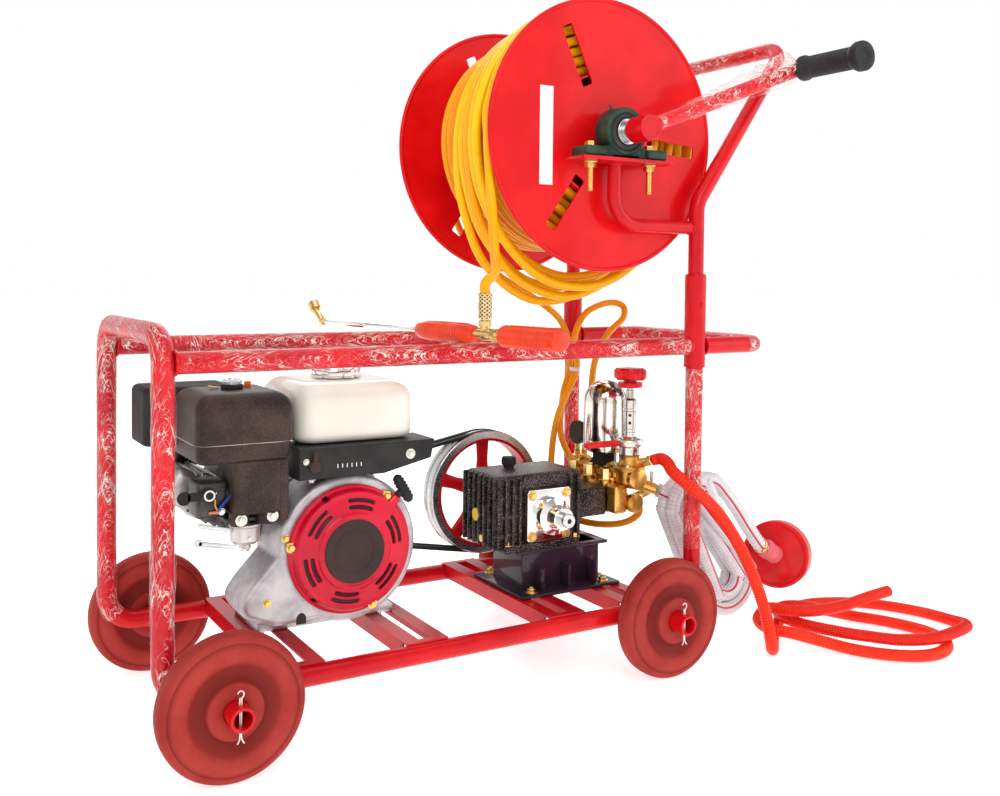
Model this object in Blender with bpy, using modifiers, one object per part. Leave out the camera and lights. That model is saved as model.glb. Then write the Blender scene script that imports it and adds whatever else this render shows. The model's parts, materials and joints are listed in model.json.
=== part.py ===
"""Wheeled firefighting spray unit: a tube trolley that carries a petrol engine, a triplex
plunger pump, a hand-cranked hose reel, a spray gun and its hoses.

Blender 4.5, metres, +Z up. The handle end is the rear and points to +X, the engine end is
the front and points to -X, and the left side is -Y. Positions below are in trolley
coordinates: X from the front axle, Y from the middle plane, Z from the ground.
"""

import math

import bmesh
import bpy
from mathutils import Matrix, Vector

# ------------------------------------------------------------------ clearances
SEAT = 0.0003  # between pieces that touch
RUN = 0.0006  # round a piece that turns or slides

# ------------------------------------------------------------------ trolley
TUBE_R = 0.015
RAIL_Y = 0.187  # rail axes from the middle plane
WHEEL_R = 0.100
WHEEL_W = 0.045
WHEEL_SIDES = 20  # it stands on a flat of its tread
WHEEL_HUB_R = 0.038
WHEEL_CLEARANCE = 0.0065  # rail side to wheel
WHEELBASE = 0.7485
RAIL_RISE = 0.003  # rail axis above the axle axis
FRONT_OVERHANG = 0.079  # front posts ahead of the front axle
REAR_OVERHANG = 0.0875  # rear posts behind the rear axle
BEND_R = 0.048
TOP_RAIL_Z = 0.555
HOOP_RISE = 0.037  # hoop crossbar above the top rails
LOOP_REACH = 0.166  # rear loop behind the rear posts
AXLE_R = 0.0165
AXLE_BORE_R = 0.0125
AXLE_END = 0.030  # stub axle past the wheel
PIN_R = 0.0018
PIN_L = 0.056
PIN_IN = 0.012  # split pin in from the axle's end
SOCKET_R = 0.0185
SOCKET_DROP = 0.035  # socket below the top rails
SOCKET_RISE = 0.125  # socket above the top rails
POST_RISE = 0.040  # post top above the top rails
HANDLE_R = 0.0135
LEG_HOLE_R = 0.0145  # bore of the sockets that take the handle's legs
HANDLE_STRAIGHT = 0.125  # handle leg above the socket
HANDLE_BACK = 0.208
HANDLE_UP = 0.297

ANGLE_W = 0.025  # angle bar leg
ANGLE_T = 0.003
JOINT_IN = 0.005  # joint in the low rails past the front bend
SLOT_W = 0.020  # between the bars of a pair
TIE_L = 0.012  # tie between them, over each rail
BOLT_REACH = 0.030  # bolt ends below the deck
WASHER_R = 0.014

# ------------------------------------------------------------------ hose reel
REEL_AHEAD = 0.181  # reel axis ahead of the rear posts
REEL_UP = 0.150  # reel axis above the bracket tubes
BRACKET_DROP = 0.043  # bracket tubes below the handle bend
BRACKET_R = 0.0115
PLATE_T = 0.006
PLATE_L = 0.185
PLATE_W = 0.055
BLOCK_Y = 0.202
BLOCK_H = 0.043  # shaft height of a pillow block
BLOCK_L = 0.165
BLOCK_W = 0.046
BLOCK_FOOT = 0.016
BLOCK_R = 0.040
BLOCK_BOLTS = 0.121
BOLT_R = 0.005
REEL_BOLT_L = 0.072
SHAFT_R = 0.015
BEARING_R = 0.021  # turning inner ring
HUB_R = 0.034
HUB_L = 0.028
DISC_R = 0.229
DISC_T = 0.003
DISC_Y = 0.160
RIM_R = 0.004
SLOT_IN = 0.089
SLOT_OUT = 0.193
SLOT_H = 0.021
SLOT_ANGLES = (115, 235, 355)
DRUM_R = 0.105
DRUM_WALL = 0.003
WOUND_R = 0.192  # outer radius of the wound hose
WOUND_LEFT = 0.148
WOUND_RIGHT = 0.082
WOUND_RIDGES, RIDGE_H = 13, 0.0055  # a ridge to each turn of its outer layer
LOOSE_START = (0.2009, 62)  # radius and angle where the slack turns leave the winding
LOOSE_SECOND = (0.2020, 66)  # the next point
LOOSE_END = 1970  # angle where they leave the reel
LOOSE_POINTS = 76
LOOSE_TOP_Y = -0.052  # the first strand over the top
LOOSE_PITCH = 0.0164  # each next strand nearer the left disc
LOOSE_R = 0.2040
LOOSE_RISE = 0.0027  # per turn
LOOSE_LOOPS = ((-0.005, 0.078), (-0.030, 0.050), (-0.053, 0.062), (-0.074, 0.025), (-0.094, 0.040))  # y, sag
HOSE_R = 0.0078
CRANK_L = 0.367
CRANK_ANGLE = 21
CRANK_TUBE_R = 0.0125
CRANK_Y = 0.262
CRANK_HUB_R = 0.021
GRIP_L = 0.135
GRIP_R = 0.019
GRIP_FLANGE_R = 0.025
SPINDLE_R = 0.008

# ------------------------------------------------------------------ engine
ENGINE_X = 0.2145
ENGINE_CRANK_H = 0.138  # crank axis above the cross members
FOOT_SPACING = 0.200
BASE_T = 0.014
BELT_Y = 0.157
ENGINE_SHAFT_R = 0.0125
ENGINE_PULLEY_R = 0.045
SHROUD_R = 0.112
SHROUD_FACE_Y = -0.118
SHROUD_WALL = 0.003
RECOIL_R = 0.098
RECOIL_DEPTH = 0.024
FLYWHEEL_R = 0.085
CYLINDER_ANGLE = 25  # the cylinder rises this far to the front
CASE_LEFT_Y, CASE_RIGHT_Y = -0.032, 0.085
HEAD_REACH = 0.268  # crank axis to the cylinder head's end
FINS_START, FINS_END, FIN_COUNT = 0.100, 0.208, 5
TANK_L, TANK_W, TANK_H, TANK_WALL = 0.195, 0.195, 0.092, 0.003
TANK_BACK, TANK_Y = 0.018, -0.018  # tank middle from the crank axis
FILLER_R = 0.024
CAP_R, CAP_H = 0.040, 0.020
PANEL_H = 0.047
AIR_SIZE = Vector((0.1425, 0.145, 0.101))
AIR_AHEAD, AIR_UP = 0.235, 0.144  # air cleaner's near low corner from the crank axis
AIR_SPLIT = 0.029  # joint between its tray and its cover
AIR_WALL = 0.003
FILTER_R, FILTER_H = 0.045, 0.076
STUD_R = 0.003
ELBOW_AHEAD, ELBOW_L, ELBOW_W, ELBOW_H = 0.1815, 0.0805, 0.070, 0.091
CHOKE_LEVER_L = 0.036

# ------------------------------------------------------------------ pump
PUMP_X = 0.606
PUMP_CRANK_H = 0.139
CASE_FRONT = 0.104  # crankcase ahead of the crank axis
CASE_BACK = 0.081
CASE_LEFT = 0.070
CASE_RIGHT = 0.052
CASE_DOWN = 0.063
CASE_UP = 0.074
BRACKET_BOLTS = 0.1515
BRACKET_SHEET = 0.004
BRACKET_FLANGE = 0.036
BRACKET_L = 0.207
COVER_SIZE, COVER_T = 0.090, 0.008
NOSE_L = 0.048
PLUNGER_BOX_L = 0.061  # plunger box past the crankcase
PUMP_SHAFT_R = 0.0125
PUMP_PULLEY_R = 0.117
PULLEY_W = 0.040
GROOVE_W = 0.012
GROOVE_D = 0.009
BELT_BACK = 0.003  # the back that joins the two ribs of the belt
MANIFOLD_X = 0.790
VALVES_Y = (-0.038, 0.014, 0.066)  # valve columns, one to a plunger
OUTLET_UP, INLET_UP = 0.047, 0.001  # manifold's long pipes above the crank axis
DOME_R, DOME_H = 0.0415, 0.135
DOME_Y, DOME_Z = 0.010, 0.345
REGULATOR_Y, REGULATOR_Z = -0.065, 0.3483
KNOB_UP = 0.124  # regulator knob above the regulator's foot
KNOB_R = 0.0305
LEVER_UP, LEVER_T = 0.018, 0.011
GAUGE_Y, GAUGE_R, GAUGE_T = 0.098, 0.023, 0.012

# ------------------------------------------------------------------ spray gun
GUN_YAW = 8.6  # the gun lies across the rails, turned this far to the front
GUN_AHEAD = 0.283  # where it crosses the left top rail, ahead of the reel axis
GUN_GRIP_R = 0.0165
GUN_HANDLE_R = 0.0175
LANCE_R = 0.0045
FERRULE_R = 0.0105
FERRULE_TOP = 0.062
HANDLE_FROM, HANDLE_TO = -0.221, -0.094  # stations along the gun, from that rail
TEE_AT = -0.051
FORE_FROM, FORE_TO = -0.028, 0.116
LANCE_TO = 0.433

# ------------------------------------------------------------------ hoses
RETURN_R = 0.011
SUCTION_R = 0.014
HANK_W = 0.028  # half the thickness of the coiled suction hose
HANK_TOP, HANK_TOP_R = Vector((0.886, -0.120, 0.255)), 0.060
HANK_FOOT, HANK_FOOT_R = Vector((0.968, -0.120, 0.112)), 0.072
FEED_R = 0.0065

# the return hose's coil on the ground
RETURN_GROUND = [
    (0.952, -0.250, 0.090),
    (0.957, -0.263, 0.035),
    (0.975, -0.250, 0.0125),
    (1.027, -0.200, 0.0120),
    (1.094, -0.147, 0.0120),
    (1.175, -0.104, 0.0120),
    (1.245, -0.098, 0.0120),
    (1.317, -0.132, 0.0120),
    (1.364, -0.184, 0.0120),
    (1.392, -0.248, 0.0120),
    (1.394, -0.308, 0.014),
    (1.368, -0.360, 0.024),
    (1.312, -0.392, 0.0345),
    (1.230, -0.400, 0.0345),
    (1.165, -0.378, 0.0345),
    (1.125, -0.332, 0.0345),
    (1.096, -0.285, 0.0345),
    (1.074, -0.231, 0.0345),
    (1.073, -0.182, 0.0345),
    (1.092, -0.148, 0.0345),
    (1.127, -0.134, 0.0345),
    (1.165, -0.148, 0.0320),
    (1.213, -0.168, 0.0200),
    (1.250, -0.192, 0.0120),
    (1.276, -0.238, 0.0120),
    (1.294, -0.286, 0.0120),
    (1.299, -0.334, 0.0120),
    (1.280, -0.382, 0.0120),
    (1.237, -0.409, 0.0120),
    (1.186, -0.408, 0.0120),
    (1.139, -0.378, 0.0120),
    (1.101, -0.325, 0.0120),
    (1.060, -0.279, 0.0220),
    (1.018, -0.252, 0.0345),
    (0.997, -0.216, 0.0360),
    (1.008, -0.180, 0.0420),
    (1.038, -0.178, 0.0560),
    (1.058, -0.215, 0.0585),
    (1.095, -0.238, 0.0590),
    (1.160, -0.245, 0.0600),
    (1.232, -0.245, 0.0660),
    (1.292, -0.242, 0.0680),
]

# ------------------------------------------------------------------ worked out
RAIL_Z = WHEEL_R + RAIL_RISE
WHEEL_Y = RAIL_Y + TUBE_R + WHEEL_CLEARANCE + WHEEL_W / 2
AXLE_TIP = WHEEL_Y + WHEEL_W / 2 + AXLE_END
FRONT_X = -FRONT_OVERHANG
REAR_X = WHEELBASE + REAR_OVERHANG
HOOP_Z = TOP_RAIL_Z + HOOP_RISE
DECK_Z = RAIL_Z + TUBE_R + SEAT + ANGLE_T  # top of the cross members
SOCKET_TOP = TOP_RAIL_Z + SOCKET_RISE
POST_TOP = TOP_RAIL_Z + POST_RISE
HANDLE_BEND_Z = SOCKET_TOP + HANDLE_STRAIGHT
REEL_X = REAR_X - REEL_AHEAD
BRACKET_Z = HANDLE_BEND_Z - BRACKET_DROP
REEL_Z = BRACKET_Z + REEL_UP
PLATE_Z = REEL_Z - BLOCK_H - SEAT  # top of the bracket plates
ENGINE_Z = DECK_Z + ENGINE_CRANK_H
PANEL_Z = ENGINE_Z + SHROUD_R + SEAT
TANK_X = ENGINE_X + TANK_BACK
TANK_Z = PANEL_Z + PANEL_H + SEAT
AIR_LOW = Vector((ENGINE_X - AIR_AHEAD, -0.135, ENGINE_Z + AIR_UP))
ELBOW_X = ENGINE_X - ELBOW_AHEAD
PUMP_Z = DECK_Z + PUMP_CRANK_H
MANIFOLD_FACE = PUMP_X + CASE_BACK + PLUNGER_BOX_L + SEAT
GUN_X = REEL_X - GUN_AHEAD
GUN_Z = TOP_RAIL_Z + TUBE_R + SEAT + GUN_GRIP_R
BRACKET_SHEETOP = PUMP_Z - CASE_DOWN - SEAT
BRACKET_X = PUMP_X + 0.041
GRIP_X = REEL_X + CRANK_L * math.cos(math.radians(CRANK_ANGLE))
GRIP_Z = REEL_Z + CRANK_L * math.sin(math.radians(CRANK_ANGLE))
HANDLE_TOP_X = REAR_X + HANDLE_BACK
GRIP_START = CRANK_Y + CRANK_TUBE_R + RUN
GRIP_TIP = GRIP_START + GRIP_L
LOW_X = min(-WHEEL_R, FRONT_X - TUBE_R)
MIDDLE = Vector(((LOW_X + HANDLE_TOP_X + HANDLE_R) / 2, (AXLE_TIP - GRIP_TIP) / 2, 0))

X, Y, Z = Vector((1, 0, 0)), Vector((0, 1, 0)), Vector((0, 0, 1))


# ------------------------------------------------------------------ workshop
def clear_scene():
    for obj in list(bpy.data.objects):
        bpy.data.objects.remove(obj, do_unlink=True)


def collection(name):
    found = bpy.data.collections.get(name) or bpy.data.collections.new(name)
    if name not in bpy.context.scene.collection.children:
        bpy.context.scene.collection.children.link(found)
    return found


def bench(mesh_or_curve):
    """A temporary object on the bench."""
    obj = bpy.data.objects.new("bench", mesh_or_curve)
    collection("bench").objects.link(obj)
    return obj


def taken_off(*objects):
    """The evaluated mesh of the first object; all of them leave the bench."""
    bpy.context.view_layer.update()
    graph = bpy.context.evaluated_depsgraph_get()
    mesh = bpy.data.meshes.new_from_object(objects[0].evaluated_get(graph))
    for obj in objects:
        bpy.data.objects.remove(obj, do_unlink=True)
    form = bmesh.new()
    form.from_mesh(mesh)
    bmesh.ops.remove_doubles(form, verts=form.verts, dist=0.00002)
    bmesh.ops.recalc_face_normals(form, faces=form.faces)
    form.to_mesh(mesh)
    form.free()
    return mesh


def block(low, high, bevel=0.0, segments=2):
    """A box between two corners, with rounded edges where bevel is set."""
    low, high = Vector(low), Vector(high)
    mesh = bpy.data.meshes.new("block")
    form = bmesh.new()
    bmesh.ops.create_cube(form, size=1)
    bmesh.ops.scale(form, vec=high - low, verts=form.verts)
    bmesh.ops.translate(form, vec=(low + high) / 2, verts=form.verts)
    form.to_mesh(mesh)
    form.free()
    if not bevel:
        return mesh
    obj = bench(mesh)
    edges = obj.modifiers.new("rounding", "BEVEL")
    edges.width = bevel
    edges.segments = segments
    return taken_off(obj)


def rod(start, end, radius, sides=16, end_radius=None):
    """A cylinder or a cone between two points."""
    start, end = Vector(start), Vector(end)
    mesh = bpy.data.meshes.new("rod")
    form = bmesh.new()
    top = radius if end_radius is None else end_radius
    length = (end - start).length
    bmesh.ops.create_cone(
        form, cap_ends=True, segments=sides, radius1=radius, radius2=top, depth=length
    )
    turn = (end - start).to_track_quat("Z", "Y").to_matrix().to_4x4()
    bmesh.ops.transform(form, matrix=Matrix.Translation((start + end) / 2) @ turn, verts=form.verts)
    form.to_mesh(mesh)
    form.free()
    return mesh


def turned(profile, centre, axis, sides=32):
    """A profile of (radius, height) turned round an axis; a bored one is closed first."""
    mesh = bpy.data.meshes.new("turned")
    form = bmesh.new()
    points = [form.verts.new((r, 0, h)) for r, h in profile]
    bored = profile[0][0] > 0
    ends = points + points[:1] if bored else points
    for a, b in zip(ends, ends[1:]):
        form.edges.new((a, b))
    form.to_mesh(mesh)
    form.free()
    obj = bench(mesh)
    screw = obj.modifiers.new("turn", "SCREW")
    screw.steps = sides
    screw.render_steps = sides
    screw.use_merge_vertices = True
    screw.merge_threshold = 0.00005
    mesh = taken_off(obj)
    turn = Vector(axis).to_track_quat("Z", "Y").to_matrix().to_4x4()
    mesh.transform(Matrix.Translation(Vector(centre)) @ turn)
    return mesh


def tube(points, radius, resolution=3):
    """A round bar along a line of points, with filled ends."""
    curve = bpy.data.curves.new("tube", "CURVE")
    curve.dimensions = "3D"
    curve.bevel_depth = radius
    curve.bevel_resolution = resolution
    curve.use_fill_caps = True
    line = curve.splines.new("POLY")
    line.points.add(len(points) - 1)
    for spot, point in zip(line.points, points):
        spot.co = (*point, 1)
    return taken_off(bench(curve))


def flat(outlines, thickness, centre, normal):
    """A flat piece from closed outlines of (u, v); the second and later ones are holes.

    u runs along X and v along Z for a normal along Y, and along X and Y for one along Z.
    """
    curve = bpy.data.curves.new("flat", "CURVE")
    curve.dimensions = "2D"
    curve.fill_mode = "BOTH"
    curve.extrude = thickness / 2
    for outline in outlines:
        line = curve.splines.new("POLY")
        line.points.add(len(outline) - 1)
        for spot, (u, v) in zip(line.points, outline):
            spot.co = (u, v, 0, 1)
        line.use_cyclic_u = True
    mesh = taken_off(bench(curve))
    if normal == "Y":
        mesh.transform(Matrix.Rotation(math.pi / 2, 4, "X"))
    mesh.transform(Matrix.Translation(Vector(centre)))
    return mesh


def boolean(mesh, others, operation):
    obj = bench(mesh)
    tools = []
    for other in others:
        tool = bench(other)
        tool.hide_render = True
        tool.display_type = "WIRE"
        tools.append(tool)
        step = obj.modifiers.new(operation, "BOOLEAN")
        step.operation = operation
        step.solver = "EXACT"
        step.object = tool
    return taken_off(obj, *tools)


def fused(first, *others):
    return boolean(first, others, "UNION")


def cut(mesh, *cutters):
    return boolean(mesh, cutters, "DIFFERENCE")


def mirrored(mesh):
    """The same piece on the other side of the middle plane."""
    other = mesh.copy()
    other.transform(Matrix.Scale(-1, 4, Y))
    other.flip_normals()
    return other


def led(route, spacing):
    """The same, with the route's first and last legs kept straight."""
    return [Vector(route[0]), *smooth(route[1:-1], spacing), Vector(route[-1])]


def material(name, colour, roughness, metallic=0.0):
    mat = bpy.data.materials.new(name)
    mat.use_nodes = True
    shader = mat.node_tree.nodes["Principled BSDF"]
    shader.inputs["Base Color"].default_value = (*colour, 1)
    shader.inputs["Roughness"].default_value = roughness
    shader.inputs["Metallic"].default_value = metallic
    return mat


def node(name, mesh, mat, pivot=(0, 0, 0)):
    """A named piece, with its origin at pivot, carried by the trolley's empty."""
    mesh = mesh.copy()
    mesh.name = name
    mesh.transform(Matrix.Translation(-Vector(pivot)))
    mesh.shade_smooth()
    mesh.set_sharp_from_angle(angle=math.radians(35))
    mesh.materials.clear()
    mesh.materials.append(mat)
    obj = bpy.data.objects.new(name, mesh)
    obj.location = pivot
    obj.parent = bpy.data.objects["trolley"]
    collection("wheeled_sprayer").objects.link(obj)
    return obj


# ------------------------------------------------------------------ lines
def rounded(corners, radius, steps=4):
    """A line through corners, each turned with an arc of that radius."""
    corners = [Vector(c) for c in corners]
    line = [corners[0]]
    for before, corner, after in zip(corners, corners[1:], corners[2:]):
        a, b = (before - corner).normalized(), (after - corner).normalized()
        half = a.angle(b) / 2
        back = min(radius / math.tan(half), (before - corner).length, (after - corner).length)
        middle = corner + (a + b).normalized() * back / math.cos(half)
        start = corner + a * back - middle
        sweep = math.pi - 2 * half
        axis = start.cross(corner + b * back - middle).normalized()
        for i in range(steps + 1):
            line.append(middle + Matrix.Rotation(sweep * i / steps, 3, axis) @ start)
    return line + [corners[-1]]


def smooth(route, spacing):
    """Points about spacing apart on a smooth curve through a route's own points."""
    route = [Vector(p) for p in route]
    ends = [2 * route[0] - route[1], *route, 2 * route[-1] - route[-2]]
    fine = []
    for p0, p1, p2, p3 in zip(ends, ends[1:], ends[2:], ends[3:]):
        for i in range(24):
            t = i / 24
            a = p1 * 2 + (p2 - p0) * t + (p0 * 2 - p1 * 5 + p2 * 4 - p3) * t * t
            fine.append((a + (p1 * 3 - p0 - p2 * 3 + p3) * t * t * t) / 2)
    fine.append(route[-1])
    along = [0.0]
    for a, b in zip(fine, fine[1:]):
        along.append(along[-1] + (b - a).length)
    count = max(2, round(along[-1] / spacing))
    line, k = [], 0
    for i in range(count + 1):
        want = along[-1] * i / count
        while k < len(fine) - 2 and along[k + 1] < want:
            k += 1
        share = (want - along[k]) / max(along[k + 1] - along[k], 1e-9)
        line.append(fine[k].lerp(fine[k + 1], min(share, 1)))
    return line


def bolt(x, y, seat, under, reach):
    """An upright bolt: its head on seat, its washer and nut below under, its end at reach."""
    size = BOLT_R * 1.9
    head = rod((x, y, seat - 0.001), (x, y, seat + BOLT_R * 1.3), size, 6)
    shank = rod((x, y, seat), (x, y, reach), BOLT_R, 8)
    washer = rod((x, y, under), (x, y, under - 0.002), WASHER_R, 10)
    nut = rod((x, y, under - 0.001), (x, y, under - 0.002 - BOLT_R * 1.6), size, 6)
    return fused(head, shank, washer, nut)


# ------------------------------------------------------------------ trolley frame
def post_cutter(x, y, radius):
    return rod((x, y, 0), (x, y, HOOP_Z + 0.3), radius + SEAT, 32)


def frame():
    red = material("frame_red", (0.80, 0.02, 0.03), 0.3)
    joint_front = FRONT_X + BEND_R + JOINT_IN

    def hoop_side(y):
        return [(joint_front, y, RAIL_Z), (FRONT_X, y, RAIL_Z), (FRONT_X, y, HOOP_Z)]

    hoop = [*hoop_side(-RAIL_Y), *reversed(hoop_side(RAIL_Y))]
    hoop = rounded(hoop, BEND_R)
    node("front_hoop", tube(hoop, TUBE_R), red)

    start, corner = (joint_front + SEAT, -RAIL_Y, RAIL_Z), (REAR_X, -RAIL_Y, RAIL_Z)
    post = tube(rounded([start, corner, (REAR_X, -RAIL_Y, POST_TOP)], BEND_R), TUBE_R)
    top_rail = rod((FRONT_X, -RAIL_Y, TOP_RAIL_Z), (REAR_X, -RAIL_Y, TOP_RAIL_Z), TUBE_R, 10)
    socket = rod((REAR_X, -RAIL_Y, TOP_RAIL_Z - SOCKET_DROP), (REAR_X, -RAIL_Y, SOCKET_TOP), SOCKET_R, 14)
    leg_hole = rod((REAR_X, -RAIL_Y, POST_TOP), (REAR_X, -RAIL_Y, SOCKET_TOP + 0.01), LEG_HOLE_R, 14)
    stubs, bores, pins = [], [], []
    for x in (0, WHEELBASE):
        stubs.append(rod((x, -RAIL_Y, WHEEL_R), (x, -AXLE_TIP, WHEEL_R), AXLE_R, 16))
        inner = -RAIL_Y - TUBE_R - 0.006
        bores.append(rod((x, inner, WHEEL_R), (x, -AXLE_TIP - 0.01, WHEEL_R), AXLE_BORE_R, 12))
        y = -AXLE_TIP + PIN_IN
        top, foot = WHEEL_R + PIN_L * 0.42, WHEEL_R - PIN_L * 0.58
        pins.append(rod((x, y, foot), (x, y, top), PIN_R, 6))
        pins.append(rod((x - 0.0045, y, top), (x + 0.0045, y, top), 0.0045, 8))
    left = cut(
        fused(post, top_rail, socket, *stubs), leg_hole, tube(hoop, TUBE_R + 2 * SEAT, 4), *bores
    )
    left = fused(left, *pins)
    node("side_frame_left", left, red)
    node("side_frame_right", mirrored(left), red)

    loop_x = REAR_X + LOOP_REACH
    loop_ends = [(REAR_X, -RAIL_Y, TOP_RAIL_Z), (loop_x, -RAIL_Y, TOP_RAIL_Z)]
    loop = [*loop_ends, *((x, -y, z) for x, y, z in reversed(loop_ends))]
    loop = cut(
        tube(rounded(loop, BEND_R), TUBE_R),
        post_cutter(REAR_X, -RAIL_Y, SOCKET_R),
        post_cutter(REAR_X, RAIL_Y, SOCKET_R),
    )
    node("rear_loop", loop, red)

    top_x, top_z = REAR_X + HANDLE_BACK, HANDLE_BEND_Z + HANDLE_UP
    leg = [(REAR_X, POST_TOP + SEAT), (REAR_X, HANDLE_BEND_Z), (top_x, top_z)]
    handle = [(x, -RAIL_Y, z) for x, z in leg] + [(x, RAIL_Y, z) for x, z in reversed(leg)]
    node("push_handle", tube(rounded(handle, BEND_R), HANDLE_R), red)


def angle_bar(x, side):
    """An angle bar on the rails; its upright leg hangs at the side away from the slot."""
    flat_leg = block((x, -RAIL_Y, DECK_Z - ANGLE_T), (x + side * ANGLE_W, RAIL_Y, DECK_Z))
    reach = RAIL_Y - TUBE_R - SEAT
    inner = x + side * (ANGLE_W - ANGLE_T)
    upright = block((inner, -reach, DECK_Z - ANGLE_W), (x + side * ANGLE_W, reach, DECK_Z))
    return fused(flat_leg, upright)


def cross_members():
    """Pairs of angle bars with a bolting slot between them, tied at the rails."""
    red = material("deck_red", (0.72, 0.02, 0.03), 0.35)
    slots = {
        "engine_bearer_front": ENGINE_X - FOOT_SPACING / 2,
        "engine_bearer_rear": ENGINE_X + FOOT_SPACING / 2,
        "pump_bearer_front": BRACKET_X - BRACKET_BOLTS / 2,
        "pump_bearer_rear": BRACKET_X + BRACKET_BOLTS / 2,
    }
    for name, x in slots.items():
        half = SLOT_W / 2 + ANGLE_T
        low = (x - half, -RAIL_Y, DECK_Z - ANGLE_T)
        tie = block(low, (x + half, -RAIL_Y + TIE_L, DECK_Z))
        bars = [angle_bar(x - SLOT_W / 2, -1), angle_bar(x + SLOT_W / 2, 1)]
        node(name, fused(*bars, tie, mirrored(tie)), red)


def wheels():
    rubber = material("maroon_rubber", (0.33, 0.03, 0.03), 0.75)
    half = WHEEL_W / 2
    bore = AXLE_R + RUN
    web, ring, well = half - 0.010, half - 0.004, WHEEL_HUB_R + 0.004
    side = [(bore, half), (WHEEL_HUB_R, half), (well, web), (WHEEL_R * 0.62, web)]
    side += [(WHEEL_R * 0.72, ring), (WHEEL_R * 0.92, ring), (WHEEL_R, half - 0.013)]
    profile = [*side, *((r, -h) for r, h in reversed(side))]
    out = 1 / math.cos(math.pi / WHEEL_SIDES)
    profile = [(r if r == bore else r * out, h) for r, h in profile]
    upright = Matrix.Rotation(math.pi / WHEEL_SIDES, 4, "Y")
    spots = {"front_left": (0, -1), "rear_left": (WHEELBASE, -1)}
    spots |= {"front_right": (0, 1), "rear_right": (WHEELBASE, 1)}
    for name, (x, side_sign) in spots.items():
        centre = (x, side_sign * WHEEL_Y, WHEEL_R)
        wheel = turned(profile, (0, 0, 0), Y, WHEEL_SIDES)
        wheel.transform(Matrix.Translation(centre) @ upright)
        node(f"wheel_{name}", wheel, rubber, centre)


# ------------------------------------------------------------------ hose reel
def at_reel(radius, angle, y):
    turn = math.radians(angle)
    return Vector((REEL_X + radius * math.cos(turn), y, REEL_Z + radius * math.sin(turn)))


def reel_brackets():
    red = material("bracket_red", (0.80, 0.02, 0.03), 0.3)
    line = [(REEL_X, -RAIL_Y, PLATE_Z - PLATE_T / 2), (REEL_X, -RAIL_Y, BRACKET_Z)]
    line.append((REAR_X, -RAIL_Y, BRACKET_Z))
    low = (REEL_X - PLATE_L / 2, -BLOCK_Y - PLATE_W / 2, PLATE_Z - PLATE_T)
    high = (REEL_X + PLATE_L / 2, -BLOCK_Y + PLATE_W / 2, PLATE_Z)
    bent = tube(rounded(line, BEND_R), BRACKET_R)
    left = cut(fused(bent, block(low, high)), leg_cutter(), *bolt_holes())
    node("reel_bracket_left", left, red)
    node("reel_bracket_right", mirrored(left), red)


def leg_cutter():
    low, high = (REAR_X, -RAIL_Y, SOCKET_TOP), (REAR_X, -RAIL_Y, HANDLE_BEND_Z)
    return rod(low, high, HANDLE_R + SEAT, 32)


def bolt_holes():
    holes = []
    for side in (-1, 1):
        x = REEL_X + side * BLOCK_BOLTS / 2
        low, high = (x, -BLOCK_Y, PLATE_Z - 0.1), (x, -BLOCK_Y, PLATE_Z + 0.1)
        holes.append(rod(low, high, BOLT_R + SEAT, 12))
    return holes


def pillow_blocks():
    """The bearing housings, each with the two bolts that hold it to its bracket."""
    iron = material("cast_green", (0.10, 0.13, 0.10), 0.6, 0.3)
    base = PLATE_Z + SEAT
    low = (REEL_X - BLOCK_L / 2, -BLOCK_Y - BLOCK_W / 2, base)
    high = (REEL_X + BLOCK_L / 2, -BLOCK_Y + BLOCK_W / 2, base + BLOCK_FOOT)
    face, back = -BLOCK_Y - BLOCK_W * 0.4, -BLOCK_Y + BLOCK_W * 0.4
    barrel = rod((REEL_X, face, REEL_Z), (REEL_X, back, REEL_Z), BLOCK_R, 20)
    neck_low = (REEL_X - BLOCK_R, face, base + BLOCK_FOOT / 2)
    neck = block(neck_low, (REEL_X + BLOCK_R, back, REEL_Z - BLOCK_R * 0.3))
    bore = rod((REEL_X, -0.3, REEL_Z), (REEL_X, 0, REEL_Z), BEARING_R + RUN, 20)
    left = cut(fused(block(low, high, 0.004, 1), barrel, neck), bore)
    under = PLATE_Z - PLATE_T - SEAT
    for side in (-1, 1):
        x = REEL_X + side * BLOCK_BOLTS / 2
        left = fused(left, bolt(x, -BLOCK_Y, high[2], under, high[2] - REEL_BOLT_L))
    node("pillow_block_left", left, iron)
    node("pillow_block_right", mirrored(left), iron)


def reel_disc():
    """The left disc: a pressed plate with a rolled rim, three slots and the shaft's hole."""
    rim = DISC_R - 2 * RIM_R
    half = DISC_T / 2
    profile = [(SHAFT_R + SEAT, half), (rim, half), (rim, RIM_R), (DISC_R, RIM_R)]
    profile += [(DISC_R, -RIM_R), (rim, -RIM_R), (rim, -half), (SHAFT_R + SEAT, -half)]
    disc = turned(profile, (REEL_X, -DISC_Y, REEL_Z), Y, 28)
    slots = []
    for angle in SLOT_ANGLES:
        slot = block((SLOT_IN, -0.02, -SLOT_H / 2), (SLOT_OUT, 0.02, SLOT_H / 2))
        slot.transform(Matrix.Rotation(-math.radians(angle), 4, "Y"))
        slot.transform(Matrix.Translation((REEL_X, -DISC_Y, REEL_Z)))
        slots.append(slot)
    return cut(disc, *slots)


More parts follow.
